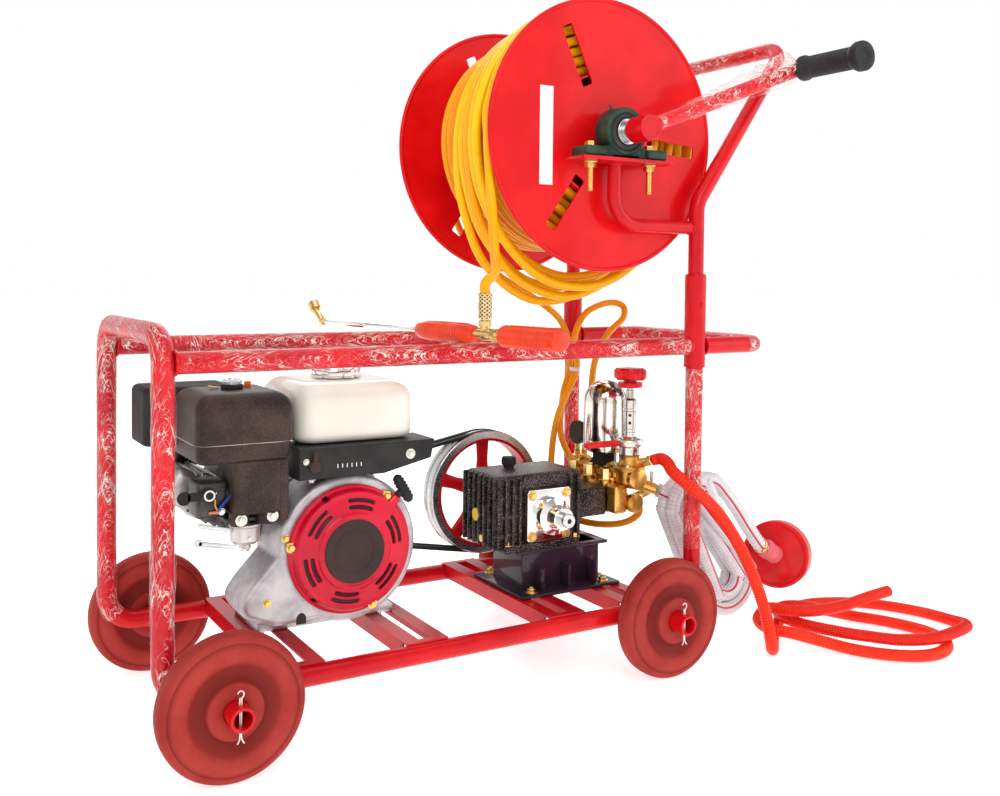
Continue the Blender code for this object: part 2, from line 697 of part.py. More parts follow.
def reel():
    red = material("disc_red", (0.82, 0.02, 0.02), 0.3)
    steel = material("shaft_steel", (0.6, 0.6, 0.6), 0.3, 1.0)
    pivot = (REEL_X, 0, REEL_Z)
    disc = reel_disc()
    node("reel_disc_left", disc, red, pivot)
    node("reel_disc_right", mirrored(disc), red, pivot)

    inner = DISC_Y - DISC_T / 2 - SEAT
    wall = [(DRUM_R, inner), (DRUM_R, -inner), (DRUM_R - DRUM_WALL, -inner)]
    node("reel_drum", turned([*wall, (DRUM_R - DRUM_WALL, inner)], pivot, Y, 28), red, pivot)

    hub_y = CRANK_Y - CRANK_HUB_R
    end_left, end_right = -hub_y - 2 * CRANK_HUB_R + 0.004, BLOCK_Y + BLOCK_W * 0.4 + 0.012
    pieces = [rod((REEL_X, end_left, REEL_Z), (REEL_X, end_right, REEL_Z), SHAFT_R, 16)]
    half = BLOCK_W * 0.4 + 0.004
    for side in (-1, 1):
        y = side * BLOCK_Y
        pieces.append(rod((REEL_X, y - half, REEL_Z), (REEL_X, y + half, REEL_Z), BEARING_R, 16))
        y = side * inner
        pieces.append(rod((REEL_X, y, REEL_Z), (REEL_X, y - side * HUB_L, REEL_Z), HUB_R, 16))
    node("reel_shaft", fused(*pieces), steel, pivot)

    hub_low, hub_high = (REEL_X, -hub_y - 2 * CRANK_HUB_R, REEL_Z), (REEL_X, -hub_y, REEL_Z)
    arm_end = Vector((GRIP_X, -CRANK_Y, GRIP_Z))
    outward = (arm_end - Vector((REEL_X, -CRANK_Y, REEL_Z))).normalized()
    arm_start = Vector((REEL_X, -CRANK_Y, REEL_Z)) + outward * CRANK_HUB_R * 0.7
    arm = rod(arm_start, arm_end + outward * CRANK_TUBE_R, CRANK_TUBE_R, 12)
    spindle = rod(arm_end, (GRIP_X, -GRIP_TIP + 0.004, GRIP_Z), SPINDLE_R, 10)
    bore = rod((REEL_X, end_left - SEAT, REEL_Z), (REEL_X, 0, REEL_Z), SHAFT_R + SEAT, 16)
    crank = cut(fused(rod(hub_low, hub_high, CRANK_HUB_R, 16), arm, spindle), bore)
    node("crank_arm", crank, red, pivot)

    rubber = material("grip_rubber", (0.02, 0.02, 0.02), 0.6)
    end, start = GRIP_L, 0
    outer = [(GRIP_FLANGE_R, end - 0.003), (GRIP_FLANGE_R, end - 0.012), (GRIP_R, end - 0.020)]
    outer += [(GRIP_R, 0.016), (GRIP_R + 0.003, 0.010), (GRIP_R + 0.003, start)]
    bore = [(SPINDLE_R + RUN, start), (SPINDLE_R + RUN, end), (GRIP_FLANGE_R - 0.003, end)]
    centre = (GRIP_X, -GRIP_START, GRIP_Z)
    node("crank_grip", turned([*outer, *bore], centre, -Y, 12), rubber, (GRIP_X, 0, GRIP_Z))


def hose_winding():
    yellow = material("hose_yellow", (0.95, 0.55, 0.02), 0.4)
    pitch = (WOUND_RIGHT + WOUND_LEFT) / WOUND_RIDGES
    profile = []
    for i in range(WOUND_RIDGES):
        side = WOUND_RIGHT - i * pitch
        profile += [(WOUND_R - RIDGE_H, side), (WOUND_R, side - pitch / 2)]
    profile.append((WOUND_R - RIDGE_H, -WOUND_LEFT))
    profile += [(DRUM_R + SEAT, -WOUND_LEFT), (DRUM_R + SEAT, WOUND_RIGHT)]
    centre = (REEL_X, 0, REEL_Z)
    node("hose_winding", turned(profile, centre, Y, 28), yellow, centre)


# ------------------------------------------------------------------ engine
def shroud_outline(wall=0.0):
    """The pear shape of the fan shroud round the crank axis, from above the crank clockwise."""
    arc = [math.radians(-115 + 265 * i / 13) for i in range(14)]
    line = [(SHROUD_R * math.cos(t), SHROUD_R * math.sin(t)) for t in arc]
    line += [(-0.105, 0.045), (-0.112, 0.0), (-0.165, -0.060), (-0.160, -0.085), (-0.110, -0.104)]
    if wall:
        line = [(u - wall * u / math.hypot(u, v), v - wall * v / math.hypot(u, v)) for u, v in line]
    return line


def engine_case():
    """The crankcase with its mounting base, crankshaft boss and the four bolts through its feet."""
    alloy = material("case_alloy", (0.62, 0.63, 0.66), 0.4, 0.8)
    half = FOOT_SPACING / 2 + 0.015
    base_low = (ENGINE_X - half, CASE_LEFT_Y, DECK_Z + SEAT)
    base = block(base_low, (ENGINE_X + half, CASE_RIGHT_Y, DECK_Z + BASE_T))
    low = (ENGINE_X - 0.080, CASE_LEFT_Y, DECK_Z + SEAT)
    body = block(low, (ENGINE_X + 0.085, CASE_RIGHT_Y, ENGINE_Z + 0.095), 0.012, 1)
    low = (ENGINE_X - 0.045, CASE_LEFT_Y + 0.02, ENGINE_Z)
    top = block(low, (ENGINE_X + 0.06, 0.06, TANK_Z - SEAT))
    boss = rod((ENGINE_X, 0, ENGINE_Z), (ENGINE_X, CASE_RIGHT_Y + 0.014, ENGINE_Z), 0.042, 18)
    bore = rod((ENGINE_X, -0.2, ENGINE_Z), (ENGINE_X, 0.2, ENGINE_Z), ENGINE_SHAFT_R + RUN, 16)
    case = cut(fused(body, base, top, boss), bore)
    under = DECK_Z - ANGLE_T - SEAT
    for side in (-1, 1):
        for y in (CASE_LEFT_Y + 0.022, CASE_RIGHT_Y - 0.022):
            x = ENGINE_X + side * FOOT_SPACING / 2
            case = fused(case, bolt(x, y, DECK_Z + BASE_T, under, DECK_Z - BOLT_REACH))
    node("engine_crankcase", case, alloy)


def cylinder():
    """The finned cylinder and its head, along u from the crank axis, tilted up to the front."""
    alloy = material("head_alloy", (0.70, 0.70, 0.72), 0.35, 0.9)
    y0, y1 = CASE_LEFT_Y + 0.002, CASE_RIGHT_Y - 0.002
    pieces = [block((-FINS_END, y0, -0.040), (-0.05, y1, 0.040))]
    pitch = (FINS_END - FINS_START) / FIN_COUNT
    for i in range(FIN_COUNT):
        u = -FINS_START - i * pitch
        pieces.append(block((u - pitch * 0.45, y0, -0.048), (u, y1, 0.048)))
    pieces.append(block((-HEAD_REACH, y0, -0.045), (-FINS_END + 0.004, y1, 0.026), 0.010, 1))
    whole = fused(*pieces)
    whole.transform(Matrix.Rotation(math.radians(CYLINDER_ANGLE), 4, "Y"))
    whole.transform(Matrix.Translation((ENGINE_X, 0, ENGINE_Z)))
    keep_out = block((ENGINE_X - 0.080 - SEAT, -0.2, 0), (ENGINE_X + 0.3, 0.2, ENGINE_Z + 0.3))
    node("cylinder_head", cut(whole, keep_out), alloy)


def starter():
    silver = material("shroud_silver", (0.72, 0.70, 0.74), 0.35, 0.5)
    red = material("starter_red", (0.72, 0.01, 0.05), 0.35)
    black = material("grip_black", (0.02, 0.02, 0.02), 0.5)
    steel = material("rotor_steel", (0.45, 0.45, 0.46), 0.35, 1.0)
    back = CASE_LEFT_Y - 2 * SEAT
    depth = back - SHROUD_FACE_Y
    centre = Vector((ENGINE_X, 0, ENGINE_Z))
    shell = flat([shroud_outline()], depth, centre + Y * (back - depth / 2), "Y")
    hollow = flat([shroud_outline(SHROUD_WALL)], depth, centre + Y * (back + SHROUD_WALL - depth / 2), "Y")
    mouth = rod(centre + Y * (SHROUD_FACE_Y - 0.01), centre + Y * (back - 0.02), RECOIL_R - 0.010, 22)
    node("fan_shroud", cut(shell, hollow, mouth), silver)

    face = SHROUD_FACE_Y - SEAT
    dish = [(0, RECOIL_DEPTH), (0.055, RECOIL_DEPTH), (RECOIL_R - 0.010, RECOIL_DEPTH - 0.008)]
    dish += [(RECOIL_R, RECOIL_DEPTH - 0.016), (RECOIL_R, 0)]
    inside = [(max(r - 0.0025, 0), max(h - 0.0025, 0)) for r, h in reversed(dish)]
    cover = turned(dish + inside, centre + Y * face, -Y, 22)
    slots = []
    for angle in (100, 160, 220, 280):
        slot = block((0.066, -0.08, -0.020), (0.078, 0.08, 0.020))
        slot.transform(Matrix.Rotation(-math.radians(angle), 4, "Y"))
        slot.transform(Matrix.Translation(centre + Y * (face - 0.09)))
        slots.append(slot)
    outlet = rod(rope_point(RECOIL_R - 0.012), rope_point(RECOIL_R + 0.006), 0.008, 10)
    node("recoil_cover", fused(cut(cover, *slots), outlet), red)

    stem = rod(rope_point(RECOIL_R + 0.006 + SEAT), rope_point(RECOIL_R + 0.018), 0.006, 8)
    middle = rope_point(RECOIL_R + 0.022)
    across = Vector((-0.7071, 0, 0.7071)) * 0.024
    bar = rod(middle - across, middle + across, 0.0095, 10)
    node("recoil_grip", fused(bar, stem), black, middle)

    axis = (ENGINE_X, 0, ENGINE_Z)
    start = Vector((ENGINE_X, SHROUD_FACE_Y + 0.006, ENGINE_Z))
    end = Vector((ENGINE_X, BELT_Y + PULLEY_W / 2 + 0.004, ENGINE_Z))
    shaft = rod(start, end, ENGINE_SHAFT_R, 12)
    bore = ENGINE_SHAFT_R - 0.002
    wheel = [(bore, 0.052), (0.030, 0.052), (0.034, 0.020), (FLYWHEEL_R, 0.014), (FLYWHEEL_R, -0.006)]
    wheel += [(0.030, -0.006), (bore, -0.006)]
    wheel = turned(wheel, centre + Y * (SHROUD_FACE_Y + 0.018), Y, 16)
    pulley = turned(grooved(ENGINE_PULLEY_R, bore), centre + Y * BELT_Y, Y, 18)
    node("engine_crankshaft", fused(shaft, wheel, pulley), steel, axis)


def rope_point(radius):
    """A point on the line of the starter rope, that far from the crank axis."""
    middle = Vector((ENGINE_X, SHROUD_FACE_Y - SEAT - 0.010, ENGINE_Z))
    return middle + Vector((0.7071, 0, 0.7071)) * radius


def grooved(radius, bore, rim=0.0):
    """The section of a pulley with two square-shouldered grooves."""
    half, land = PULLEY_W / 2, (PULLEY_W - 2 * GROOVE_W) / 3
    first, low = half - land, radius - GROOVE_D
    right = [(radius, half), (radius, first), (low, first), (low, first - GROOVE_W)]
    right.append((radius, first - GROOVE_W))
    left = [(r, -h) for r, h in reversed(right)]
    inner = max(bore, low - rim) if rim else bore
    return [(inner, half), *right, *left, (inner, -half)]


def fuel_and_air():
    black = material("air_black", (0.05, 0.04, 0.035), 0.55)
    cream = material("tank_cream", (0.93, 0.91, 0.82), 0.35)
    chrome = material("cap_chrome", (0.85, 0.85, 0.85), 0.1, 1.0)
    foam = material("filter_foam", (0.15, 0.15, 0.14), 0.95)
    silver = material("carb_alloy", (0.6, 0.6, 0.58), 0.4, 0.9)

    low, high = AIR_LOW, AIR_LOW + AIR_SIZE
    split = low.z + AIR_SPLIT
    wall = Vector((AIR_WALL, AIR_WALL, 0))
    middle = (low + high) / 2
    whole = block(low, high, 0.014, 2)
    inside = block(low + wall + Z * AIR_WALL, high - wall - Z * AIR_WALL, 0.010, 1)
    stud_hole = rod(middle, (middle.x, middle.y, high.z + 0.05), STUD_R + RUN, 12)
    above = block((low.x - 1, low.y - 1, split - SEAT), (high.x + 1, high.y + 1, high.z + 1))
    below = block((low.x - 1, low.y - 1, low.z - 1), (high.x + 1, high.y + 1, split))
    cover = cut(whole.copy(), inside.copy(), below.copy())
    knob_hole, skin = STUD_R + RUN, -0.001
    knob = [(knob_hole, 0.009), (0.012, 0.009), (0.017, 0.004), (0.017, skin), (knob_hole, skin)]
    knob = turned(knob, (middle.x, middle.y, high.z), Z, 14)
    node("air_cleaner_cover", cut(fused(cover, knob), stud_hole), black, (middle.x, middle.y, split))
    tray = cut(whole, inside, above)
    elbow_low = (ELBOW_X, low.y + 0.002, low.z - ELBOW_H)
    elbow = block(elbow_low, (ELBOW_X + ELBOW_L, low.y + ELBOW_W, low.z + AIR_WALL / 2), 0.006, 1)
    stud = rod((middle.x, middle.y, low.z + AIR_WALL / 2), (middle.x, middle.y, high.z + 0.016), STUD_R, 10)
    node("air_cleaner_base", fused(tray, elbow, stud), black)
    inner = FILTER_R - 0.015
    ring = [(FILTER_R, FILTER_H), (FILTER_R, 0), (inner, 0), (inner, FILTER_H)]
    seat = (middle.x, middle.y, low.z + AIR_WALL + SEAT)
    node("air_filter_element", turned(ring, seat, Z, 16), foam)

    carb_back = ELBOW_X - SEAT
    body_low = (carb_back - 0.046, -0.112, ENGINE_Z + 0.062)
    body = block(body_low, (carb_back, -0.052, ENGINE_Z + 0.118), 0.005, 1)
    port_x, port_z = carb_back - 0.024, ENGINE_Z + 0.088
    port = rod((port_x, -0.06, port_z), (port_x, CASE_LEFT_Y + 0.002 - SEAT, port_z), 0.015, 12)
    bowl_x, bowl_top = ELBOW_X + 0.026, AIR_LOW.z - ELBOW_H - SEAT
    bowl = [(0, 0), (0.020, 0), (0.022, -0.004), (0.022, -0.030), (0.014, -0.038), (0, -0.038)]
    bowl = turned(bowl, (bowl_x, -0.100, bowl_top), Z, 14)
    link = block((carb_back - 0.030, -0.108, bowl_top - 0.022), (bowl_x, -0.092, bowl_top - 0.006))
    arm_x = carb_back - 0.030
    arm = block((arm_x, -0.108, bowl_top - 0.022), (arm_x + 0.018, -0.092, ENGINE_Z + 0.07))
    node("carburettor", fused(body, port, bowl, link, arm), silver)

    x, y, z = carb_back - 0.030, -0.112 - SEAT, ENGINE_Z + 0.100
    disc = rod((x, y, z), (x, y - 0.003, z), 0.011, 12)
    finger = block((x - 0.030, y - 0.003, z - 0.003), (x, y, z + 0.003))
    ring = [(0.010, 0), (0.010, 0.003), (0.007, 0.003), (0.007, 0)]
    ring = turned(ring, (x - CHOKE_LEVER_L, y, z), -Y, 12)
    node("choke_lever", fused(disc, finger, ring), silver, (x, y, z))

    low = Vector((TANK_X - TANK_L / 2, TANK_Y - TANK_W / 2, TANK_Z))
    size = Vector((TANK_L, TANK_W, TANK_H))
    skin = Vector((TANK_WALL, TANK_WALL, TANK_WALL))
    top = TANK_Z + TANK_H
    neck = rod((TANK_X, TANK_Y, top - 0.02), (TANK_X, TANK_Y, top + 0.1), FILLER_R, 18)
    tank = cut(block(low, low + size, 0.022, 2), block(low + skin, low + size - skin, 0.018, 1), neck)
    node("fuel_tank", tank, cream)
    spigot, lip = FILLER_R - RUN, -0.008
    cap = [(0, CAP_H), (CAP_R - 0.004, CAP_H), (CAP_R, CAP_H - 0.004), (CAP_R, SEAT), (spigot, SEAT)]
    cap = turned([*cap, (spigot, lip), (0, lip)], (TANK_X, TANK_Y, TANK_Z + TANK_H), Z, 18)
    notches = []
    for i in range(6):
        turn = 2 * math.pi * (i + 0.5) / 6
        x, y = TANK_X + CAP_R * math.cos(turn), TANK_Y + CAP_R * math.sin(turn)
        notches.append(rod((x, y, TANK_Z + TANK_H + 0.006), (x, y, TANK_Z + TANK_H + 0.1), 0.006, 6))
    node("fuel_cap", cut(cap, *notches), chrome, (TANK_X, TANK_Y, TANK_Z + TANK_H))


def panel():
    black = material("panel_black", (0.03, 0.03, 0.03), 0.45)
    silver = material("lever_silver", (0.75, 0.75, 0.75), 0.25, 1.0)
    front, back = -0.136, -0.055
    x, z = ENGINE_X, PANEL_Z
    outline = [(x - 0.086, z), (x + 0.050, z), (x + 0.130, z + 0.018), (x + 0.136, z + PANEL_H)]
    outline += [(x - 0.086, z + PANEL_H)]
    centre = (0, (front + back) / 2, 0)
    node("control_panel", flat([outline], back - front, centre, "Y"), black)
    lever_x, lever_z = x - 0.064, z + 0.020
    y = front - SEAT
    hub = rod((lever_x, y, lever_z), (lever_x, y - 0.010, lever_z), 0.009, 12)
    arm = block((lever_x - 0.004, y - 0.010, lever_z), (lever_x + 0.004, y - 0.006, lever_z + 0.022))
    node("fuel_valve_lever", fused(hub, arm), silver, (lever_x, y, lever_z))


def muffler():
    black = material("muffler_black", (0.03, 0.03, 0.03), 0.6, 0.4)
    low = Vector((ENGINE_X - 0.270, 0.030, ENGINE_Z + 0.151))
    box = block(low, low + Vector((0.140, 0.095, 0.090)), 0.014, 2)
    pipe_x, pipe_z, start_y = ENGINE_X - 0.195, ENGINE_Z + 0.094, CASE_RIGHT_Y - 0.002 + SEAT
    line = [(pipe_x, start_y, pipe_z), (pipe_x, 0.108, pipe_z), (pipe_x, 0.108, low.z + 0.02)]
    node("muffler", fused(box, tube(rounded(line, 0.012), 0.010)), black)


# ------------------------------------------------------------------ pump


def pump_case():
    iron = material("pump_iron", (0.10, 0.085, 0.08), 0.55, 0.5)
    x0, x1 = PUMP_X - CASE_FRONT, PUMP_X + CASE_BACK
    y0, y1 = -CASE_LEFT, CASE_RIGHT
    z0, z1 = PUMP_Z - CASE_DOWN, PUMP_Z + CASE_UP
    core = block((x0 + 0.008, y0 + 0.008, z0 + 0.006), (x1, y1, z1 - 0.004), 0.008, 1)
    foot = block((x0 + 0.02, y0, z0), (x1 - 0.01, y1, z0 + 0.012))
    pieces = [core, foot]
    for i in range(4):
        y = y0 + 0.006 + i * (y1 - y0 - 0.018) / 3
        pieces.append(block((x0, y, z0 + 0.008), (x0 + 0.02, y + 0.005, z1 - 0.006)))
    for x in (x0 + 0.004, x0 + 0.020, x0 + 0.034):
        pieces.append(block((x, y0, z0 + 0.008), (x + 0.007, y0 + 0.02, z1 - 0.008)))
    box_low, box_high = (x1 - 0.01, -0.055, PUMP_Z - 0.021), (x1 + PLUNGER_BOX_L, 0.045, PUMP_Z + 0.031)
    plunger_box = block(box_low, box_high, 0.006, 1)
    cover_seat = COVER_SIZE / 2
    plate_low = (PUMP_X - cover_seat, y0, PUMP_Z - cover_seat)
    plate = block(plate_low, (PUMP_X + cover_seat, 0, PUMP_Z + cover_seat))
    oil_cap = rod((PUMP_X - 0.030, 0.010, z1 - 0.01), (PUMP_X - 0.030, 0.010, z1 + 0.018), 0.013, 12)
    case = cut(fused(*pieces, plunger_box, plate, oil_cap), bore_at_pump())
    node("pump_crankcase", case, iron)

    face = y0 - SEAT
    cover_low = (PUMP_X - cover_seat, face - COVER_T, PUMP_Z - cover_seat)
    cover = block(cover_low, (PUMP_X + cover_seat, face, PUMP_Z + cover_seat))
    nose = [(0, NOSE_L), (0.020, NOSE_L), (0.020, 0.028), (0.032, 0.022), (0.034, 0), (0, 0)]
    nose = turned(nose, (PUMP_X, face - COVER_T + 0.001, PUMP_Z), -Y, 18)
    chrome = material("cover_chrome", (0.85, 0.85, 0.86), 0.12, 1.0)
    node("pump_bearing_cover", cut(fused(cover, nose), bore_at_pump()), chrome)

    steel = material("pump_steel", (0.7, 0.7, 0.7), 0.2, 1.0)
    axis = (PUMP_X, 0, PUMP_Z)
    tip = face - COVER_T - NOSE_L - 0.014
    shaft = rod((PUMP_X, tip, PUMP_Z), (PUMP_X, BELT_Y + PULLEY_W / 2 + 0.004, PUMP_Z), PUMP_SHAFT_R, 16)
    node("pump_crankshaft", shaft, steel, axis)


def bore_at_pump():
    return rod((PUMP_X, -0.3, PUMP_Z), (PUMP_X, 0.3, PUMP_Z), PUMP_SHAFT_R + RUN, 16)


def pump_pulley():
    red = material("pulley_red", (0.75, 0.02, 0.03), 0.35)
    rubber = material("belt_rubber", (0.03, 0.03, 0.03), 0.7)
    centre = (PUMP_X, BELT_Y, PUMP_Z)
    rim = turned(grooved(PUMP_PULLEY_R, 0, 0.008), centre, Y, 24)
    half = PULLEY_W / 2
    hub_bore = PUMP_SHAFT_R + SEAT
    hub = turned([(0.026, half), (0.026, -half), (hub_bore, -half), (hub_bore, half)], centre, Y, 16)
    inner = PUMP_PULLEY_R - GROOVE_D - 0.008
    spokes = []
    for i in range(5):
        spoke = block((0.022, -0.006, -0.010), (inner + 0.004, 0.006, 0.010))
        spoke.transform(Matrix.Rotation(-math.radians(90 + 72 * i), 4, "Y"))
        spoke.transform(Matrix.Translation(centre))
        spokes.append(spoke)
    node("pump_pulley", fused(rim, hub, *spokes), red, (PUMP_X, 0, PUMP_Z))

    land = (PULLEY_W - 2 * GROOVE_W) / 3
    outer, inner = belt_outline(GROOVE_D + SEAT + BELT_BACK), belt_outline(SEAT)
    belt = flat([outer, inner], 2 * GROOVE_W + land - 2 * SEAT, (0, BELT_Y, 0), "Y")
    lands = []
    for x, z, radius in ((ENGINE_X, ENGINE_Z, ENGINE_PULLEY_R), (PUMP_X, PUMP_Z, PUMP_PULLEY_R)):
        half = land / 2 + SEAT
        clear = (radius + SEAT) / math.cos(math.pi / 24)
        lands.append(rod((x, BELT_Y - half, z), (x, BELT_Y + half, z), clear, 24))
    node("drive_belt", cut(belt, *lands), rubber)


def belt_outline(above_groove):
    """The line round both pulleys, that far above the groove floors, by the outer tangents."""
    r1 = ENGINE_PULLEY_R - GROOVE_D + above_groove
    r2 = PUMP_PULLEY_R - GROOVE_D + above_groove
    dx, dz = PUMP_X - ENGINE_X, PUMP_Z - ENGINE_Z
    slope = math.atan2(dz, dx)
    tangent = math.acos((r1 - r2) / math.hypot(dx, dz))
    wraps = (
        (ENGINE_X, ENGINE_Z, r1, tangent, 2 * math.pi - tangent, 8),
        (PUMP_X, PUMP_Z, r2, -tangent, tangent, 12),
    )
    line = []
    for x, z, radius, first, last, steps in wraps:
        step = (last - first) / steps
        out = radius / math.cos(step / 2)
        for i in range(steps + 1):
            turn = slope + first + step * i
            line.append((x + out * math.cos(turn), z + out * math.sin(turn)))
    return line


def pump_bracket():
    """The folded bracket under the pump, with the four bolts through its flanges."""
    black = material("bracket_black", (0.03, 0.02, 0.03), 0.4)
    x0, x1 = BRACKET_X - BRACKET_L / 2, BRACKET_X + BRACKET_L / 2
    low, top = DECK_Z + SEAT, BRACKET_SHEETOP
    left, right = -CASE_LEFT + 0.012, CASE_RIGHT - 0.010
    bracket = fused(
        block((x0, left, top - BRACKET_SHEET), (x1, right, top)),
        block((x0, left, low), (x1, left + BRACKET_SHEET, top)),
        block((x0, right - BRACKET_SHEET, low), (x1, right, top)),
        block((x0, left - BRACKET_FLANGE, low), (x1, left + BRACKET_SHEET, low + BRACKET_SHEET)),
        block((x0, right - BRACKET_SHEET, low), (x1, right + BRACKET_FLANGE, low + BRACKET_SHEET)),
    )
    under = DECK_Z - ANGLE_T - SEAT
    for side in (-1, 1):
        for y in (left - BRACKET_FLANGE * 0.55, right + BRACKET_FLANGE * 0.55):
            x = BRACKET_X + side * BRACKET_BOLTS / 2
            bracket = fused(bracket, bolt(x, y, low + BRACKET_SHEET, under, DECK_Z - BOLT_REACH))
    node("pump_bracket", bracket, black)


def manifold():
    brass = material("manifold_brass", (0.78, 0.55, 0.18), 0.28, 1.0)
    chrome = material("dome_chrome", (0.88, 0.87, 0.84), 0.08, 1.0)
    red = material("knob_red", (0.80, 0.03, 0.04), 0.4)
    black = material("gauge_black", (0.03, 0.03, 0.03), 0.4)
    x, face = MANIFOLD_X, MANIFOLD_FACE
    outlet, inlet = PUMP_Z + OUTLET_UP, PUMP_Z + INLET_UP
    pieces = [block((face, -0.080, inlet - 0.018), (x - 0.012, 0.084, outlet - 0.011), 0.005, 1)]
    pieces.append(rod((x, -0.095, outlet), (x, 0.105, outlet), 0.020, 12))
    pieces.append(rod((x, -0.088, inlet), (x, 0.090, inlet), 0.017, 12))
    for y in VALVES_Y:
        pieces.append(rod((x - 0.006, y, inlet - 0.012), (x - 0.006, y, outlet + 0.008), 0.015, 10))
        pieces.append(rod((x - 0.030, y, outlet - 0.013), (x, y, outlet - 0.005), 0.009, 8))
        pieces.append(rod((x - 0.040, y, outlet - 0.015), (x - 0.040, y, outlet + 0.016), 0.010, 6))
    pieces.append(rod((x, DOME_Y, outlet), (x, DOME_Y, DOME_Z - SEAT), 0.024, 6))
    pieces.append(rod((x, REGULATOR_Y, outlet), (x, REGULATOR_Y, REGULATOR_Z + 0.015), 0.020, 14))
    pieces.append(rod((x, REGULATOR_Y, outlet + 0.013), (x, REGULATOR_Y, outlet + 0.022), 0.030, 14))
    pieces.append(rod((x + 0.010, -0.060, PUMP_Z + 0.070), (x + 0.022, -0.104, PUMP_Z + 0.082), 0.009, 8))
    cock_foot, cock_tip = Vector((x, -0.060, inlet)), Vector((x + 0.040, -0.074, inlet + 0.019))
    pieces.append(rod(cock_foot, cock_tip, 0.009, 8))
    pieces.append(rod((x, GAUGE_Y, outlet), (x, GAUGE_Y, outlet + 0.026), 0.007, 8))
    barb_tip = (x + 0.060, HANK_TOP.y + 0.008, PUMP_Z + 0.016)
    barb = rod((x - 0.006, -0.070, PUMP_Z + 0.044), barb_tip, 0.011, 10)
    pieces.append(cut(barb, hank(SEAT)))
    dome = [(0, DOME_H), (DOME_R * 0.55, DOME_H), (DOME_R * 0.88, DOME_H - 0.006)]
    dome += [(DOME_R, DOME_H - 0.018), (DOME_R, 0.008), (DOME_R * 0.8, 0), (0, 0)]
    node("air_chamber", turned(dome, (x, DOME_Y, DOME_Z), Z, 20), chrome)

    y, foot = REGULATOR_Y, REGULATOR_Z
    regulator = [(0, KNOB_UP), (0.0055, KNOB_UP), (0.0055, 0.119), (0.0075, 0.119), (0.0075, 0.105)]
    regulator += [(0.0125, 0.102), (0.0125, 0.034), (0.019, 0.031), (0.019, -0.002), (0, -0.002)]
    pieces.append(turned(regulator, (x, y, foot), Z, 14))
    node("plunger_manifold", fused(*pieces), brass)
    knob_z = foot + KNOB_UP + SEAT
    knob = [(0, 0.035), (KNOB_R - 0.0035, 0.035), (KNOB_R, 0.031), (KNOB_R, 0.014), (0.012, 0.0125)]
    knob += [(0.012, 0.010), (0.0225, 0.0095), (0.0225, 0), (0, 0)]
    lobes = []
    for i in range(6):
        turn = 2 * math.pi * i / 6
        spot = Vector((x + 0.035 * math.cos(turn), y + 0.035 * math.sin(turn), knob_z))
        lobes.append(rod(spot + Z * 0.011, spot + Z * 0.05, 0.0075, 6))
    node("regulator_knob", cut(turned(knob, (x, y, knob_z), Z, 18), *lobes), red, (x, y, knob_z))

    collar = [(0.027, LEVER_T), (0.027, 0), (0.019 + RUN, 0), (0.019 + RUN, LEVER_T)]
    lever_z = foot + LEVER_UP
    ring = turned(collar, (x, y, lever_z), Z, 14)
    arm = block((x - 0.100, y - 0.009, lever_z), (x - 0.022, y + 0.009, lever_z + LEVER_T), 0.002, 1)
    node("release_lever", fused(ring, arm), red, (x, y, lever_z))

    gauge_z = outlet + 0.026 + SEAT
    stem = rod((x, GAUGE_Y, gauge_z), (x, GAUGE_Y, gauge_z + 0.016), 0.006, 8)
    case_z, half = gauge_z + 0.012 + GAUGE_R, GAUGE_T / 2
    case = rod((x - half, GAUGE_Y, case_z), (x + half, GAUGE_Y, case_z), GAUGE_R, 18)
    node("pressure_gauge", fused(stem, case), black)

    way = (cock_tip - cock_foot).normalized()
    hub = rod(cock_tip + way * SEAT, cock_tip + way * 0.010, 0.008, 14)
    lever_foot = cock_tip + way * 0.006
    arm = rod(lever_foot, lever_foot + Z * 0.032, 0.0032, 8)
    node("outlet_cock_lever", fused(hub, arm), chrome, cock_tip)


# ------------------------------------------------------------------ spray gun
def on_gun(station, up=0.0):
    """A point on the gun's axis, from where it crosses the left rail towards the nozzle."""
    turn = math.radians(GUN_YAW)
    x = GUN_X - station * math.sin(turn)
    return Vector((x, -RAIL_Y + station * math.cos(turn), GUN_Z + up))


def gun():
    brass = material("gun_brass", (0.72, 0.52, 0.20), 0.3, 1.0)
    orange = material("gun_orange", (0.90, 0.12, 0.03), 0.4)
    lance = rod(on_gun(HANDLE_TO + 0.050 - 0.095), on_gun(LANCE_TO), LANCE_R, 8)
    tee = rod(on_gun(HANDLE_TO + SEAT), on_gun(FORE_FROM + 0.004), 0.0095, 8)
    stem = rod(on_gun(TEE_AT), on_gun(TEE_AT, FERRULE_TOP - 0.03), 0.0085, 8)
    ferrule = rod(on_gun(TEE_AT, 0.024), on_gun(TEE_AT, FERRULE_TOP), FERRULE_R, 10)
    neck = rod(on_gun(LANCE_TO - 0.006), on_gun(LANCE_TO + 0.018, 0.022), 0.0065, 8)
    tip = rod(on_gun(LANCE_TO + 0.016, 0.020), on_gun(LANCE_TO + 0.028, 0.034), 0.011, 12)
    way = on_gun(1) - on_gun(0)
    length = FORE_TO - FORE_FROM
    fore = [(0, length), (0.009, length), (0.0135, length - 0.014), (GUN_GRIP_R, length - 0.045)]
    fore += [(GUN_GRIP_R, 0.018), (0.010, 0), (0, 0)]
    fore = turned(fore, on_gun(FORE_FROM), way, 14)
    node("gun_barrel", fused(lance, tee, stem, ferrule, neck, tip, fore), brass)

    length = HANDLE_TO - HANDLE_FROM
    bore = LANCE_R + SEAT
    handle = [(0, length), (GUN_HANDLE_R, length), (GUN_HANDLE_R, 0.022), (0.011, 0), (bore, 0)]
    handle += [(bore, 0.046), (0, 0.046)]
    centre = on_gun(HANDLE_TO)
    node("gun_handle", turned(handle, centre, -way, 14), orange, centre)


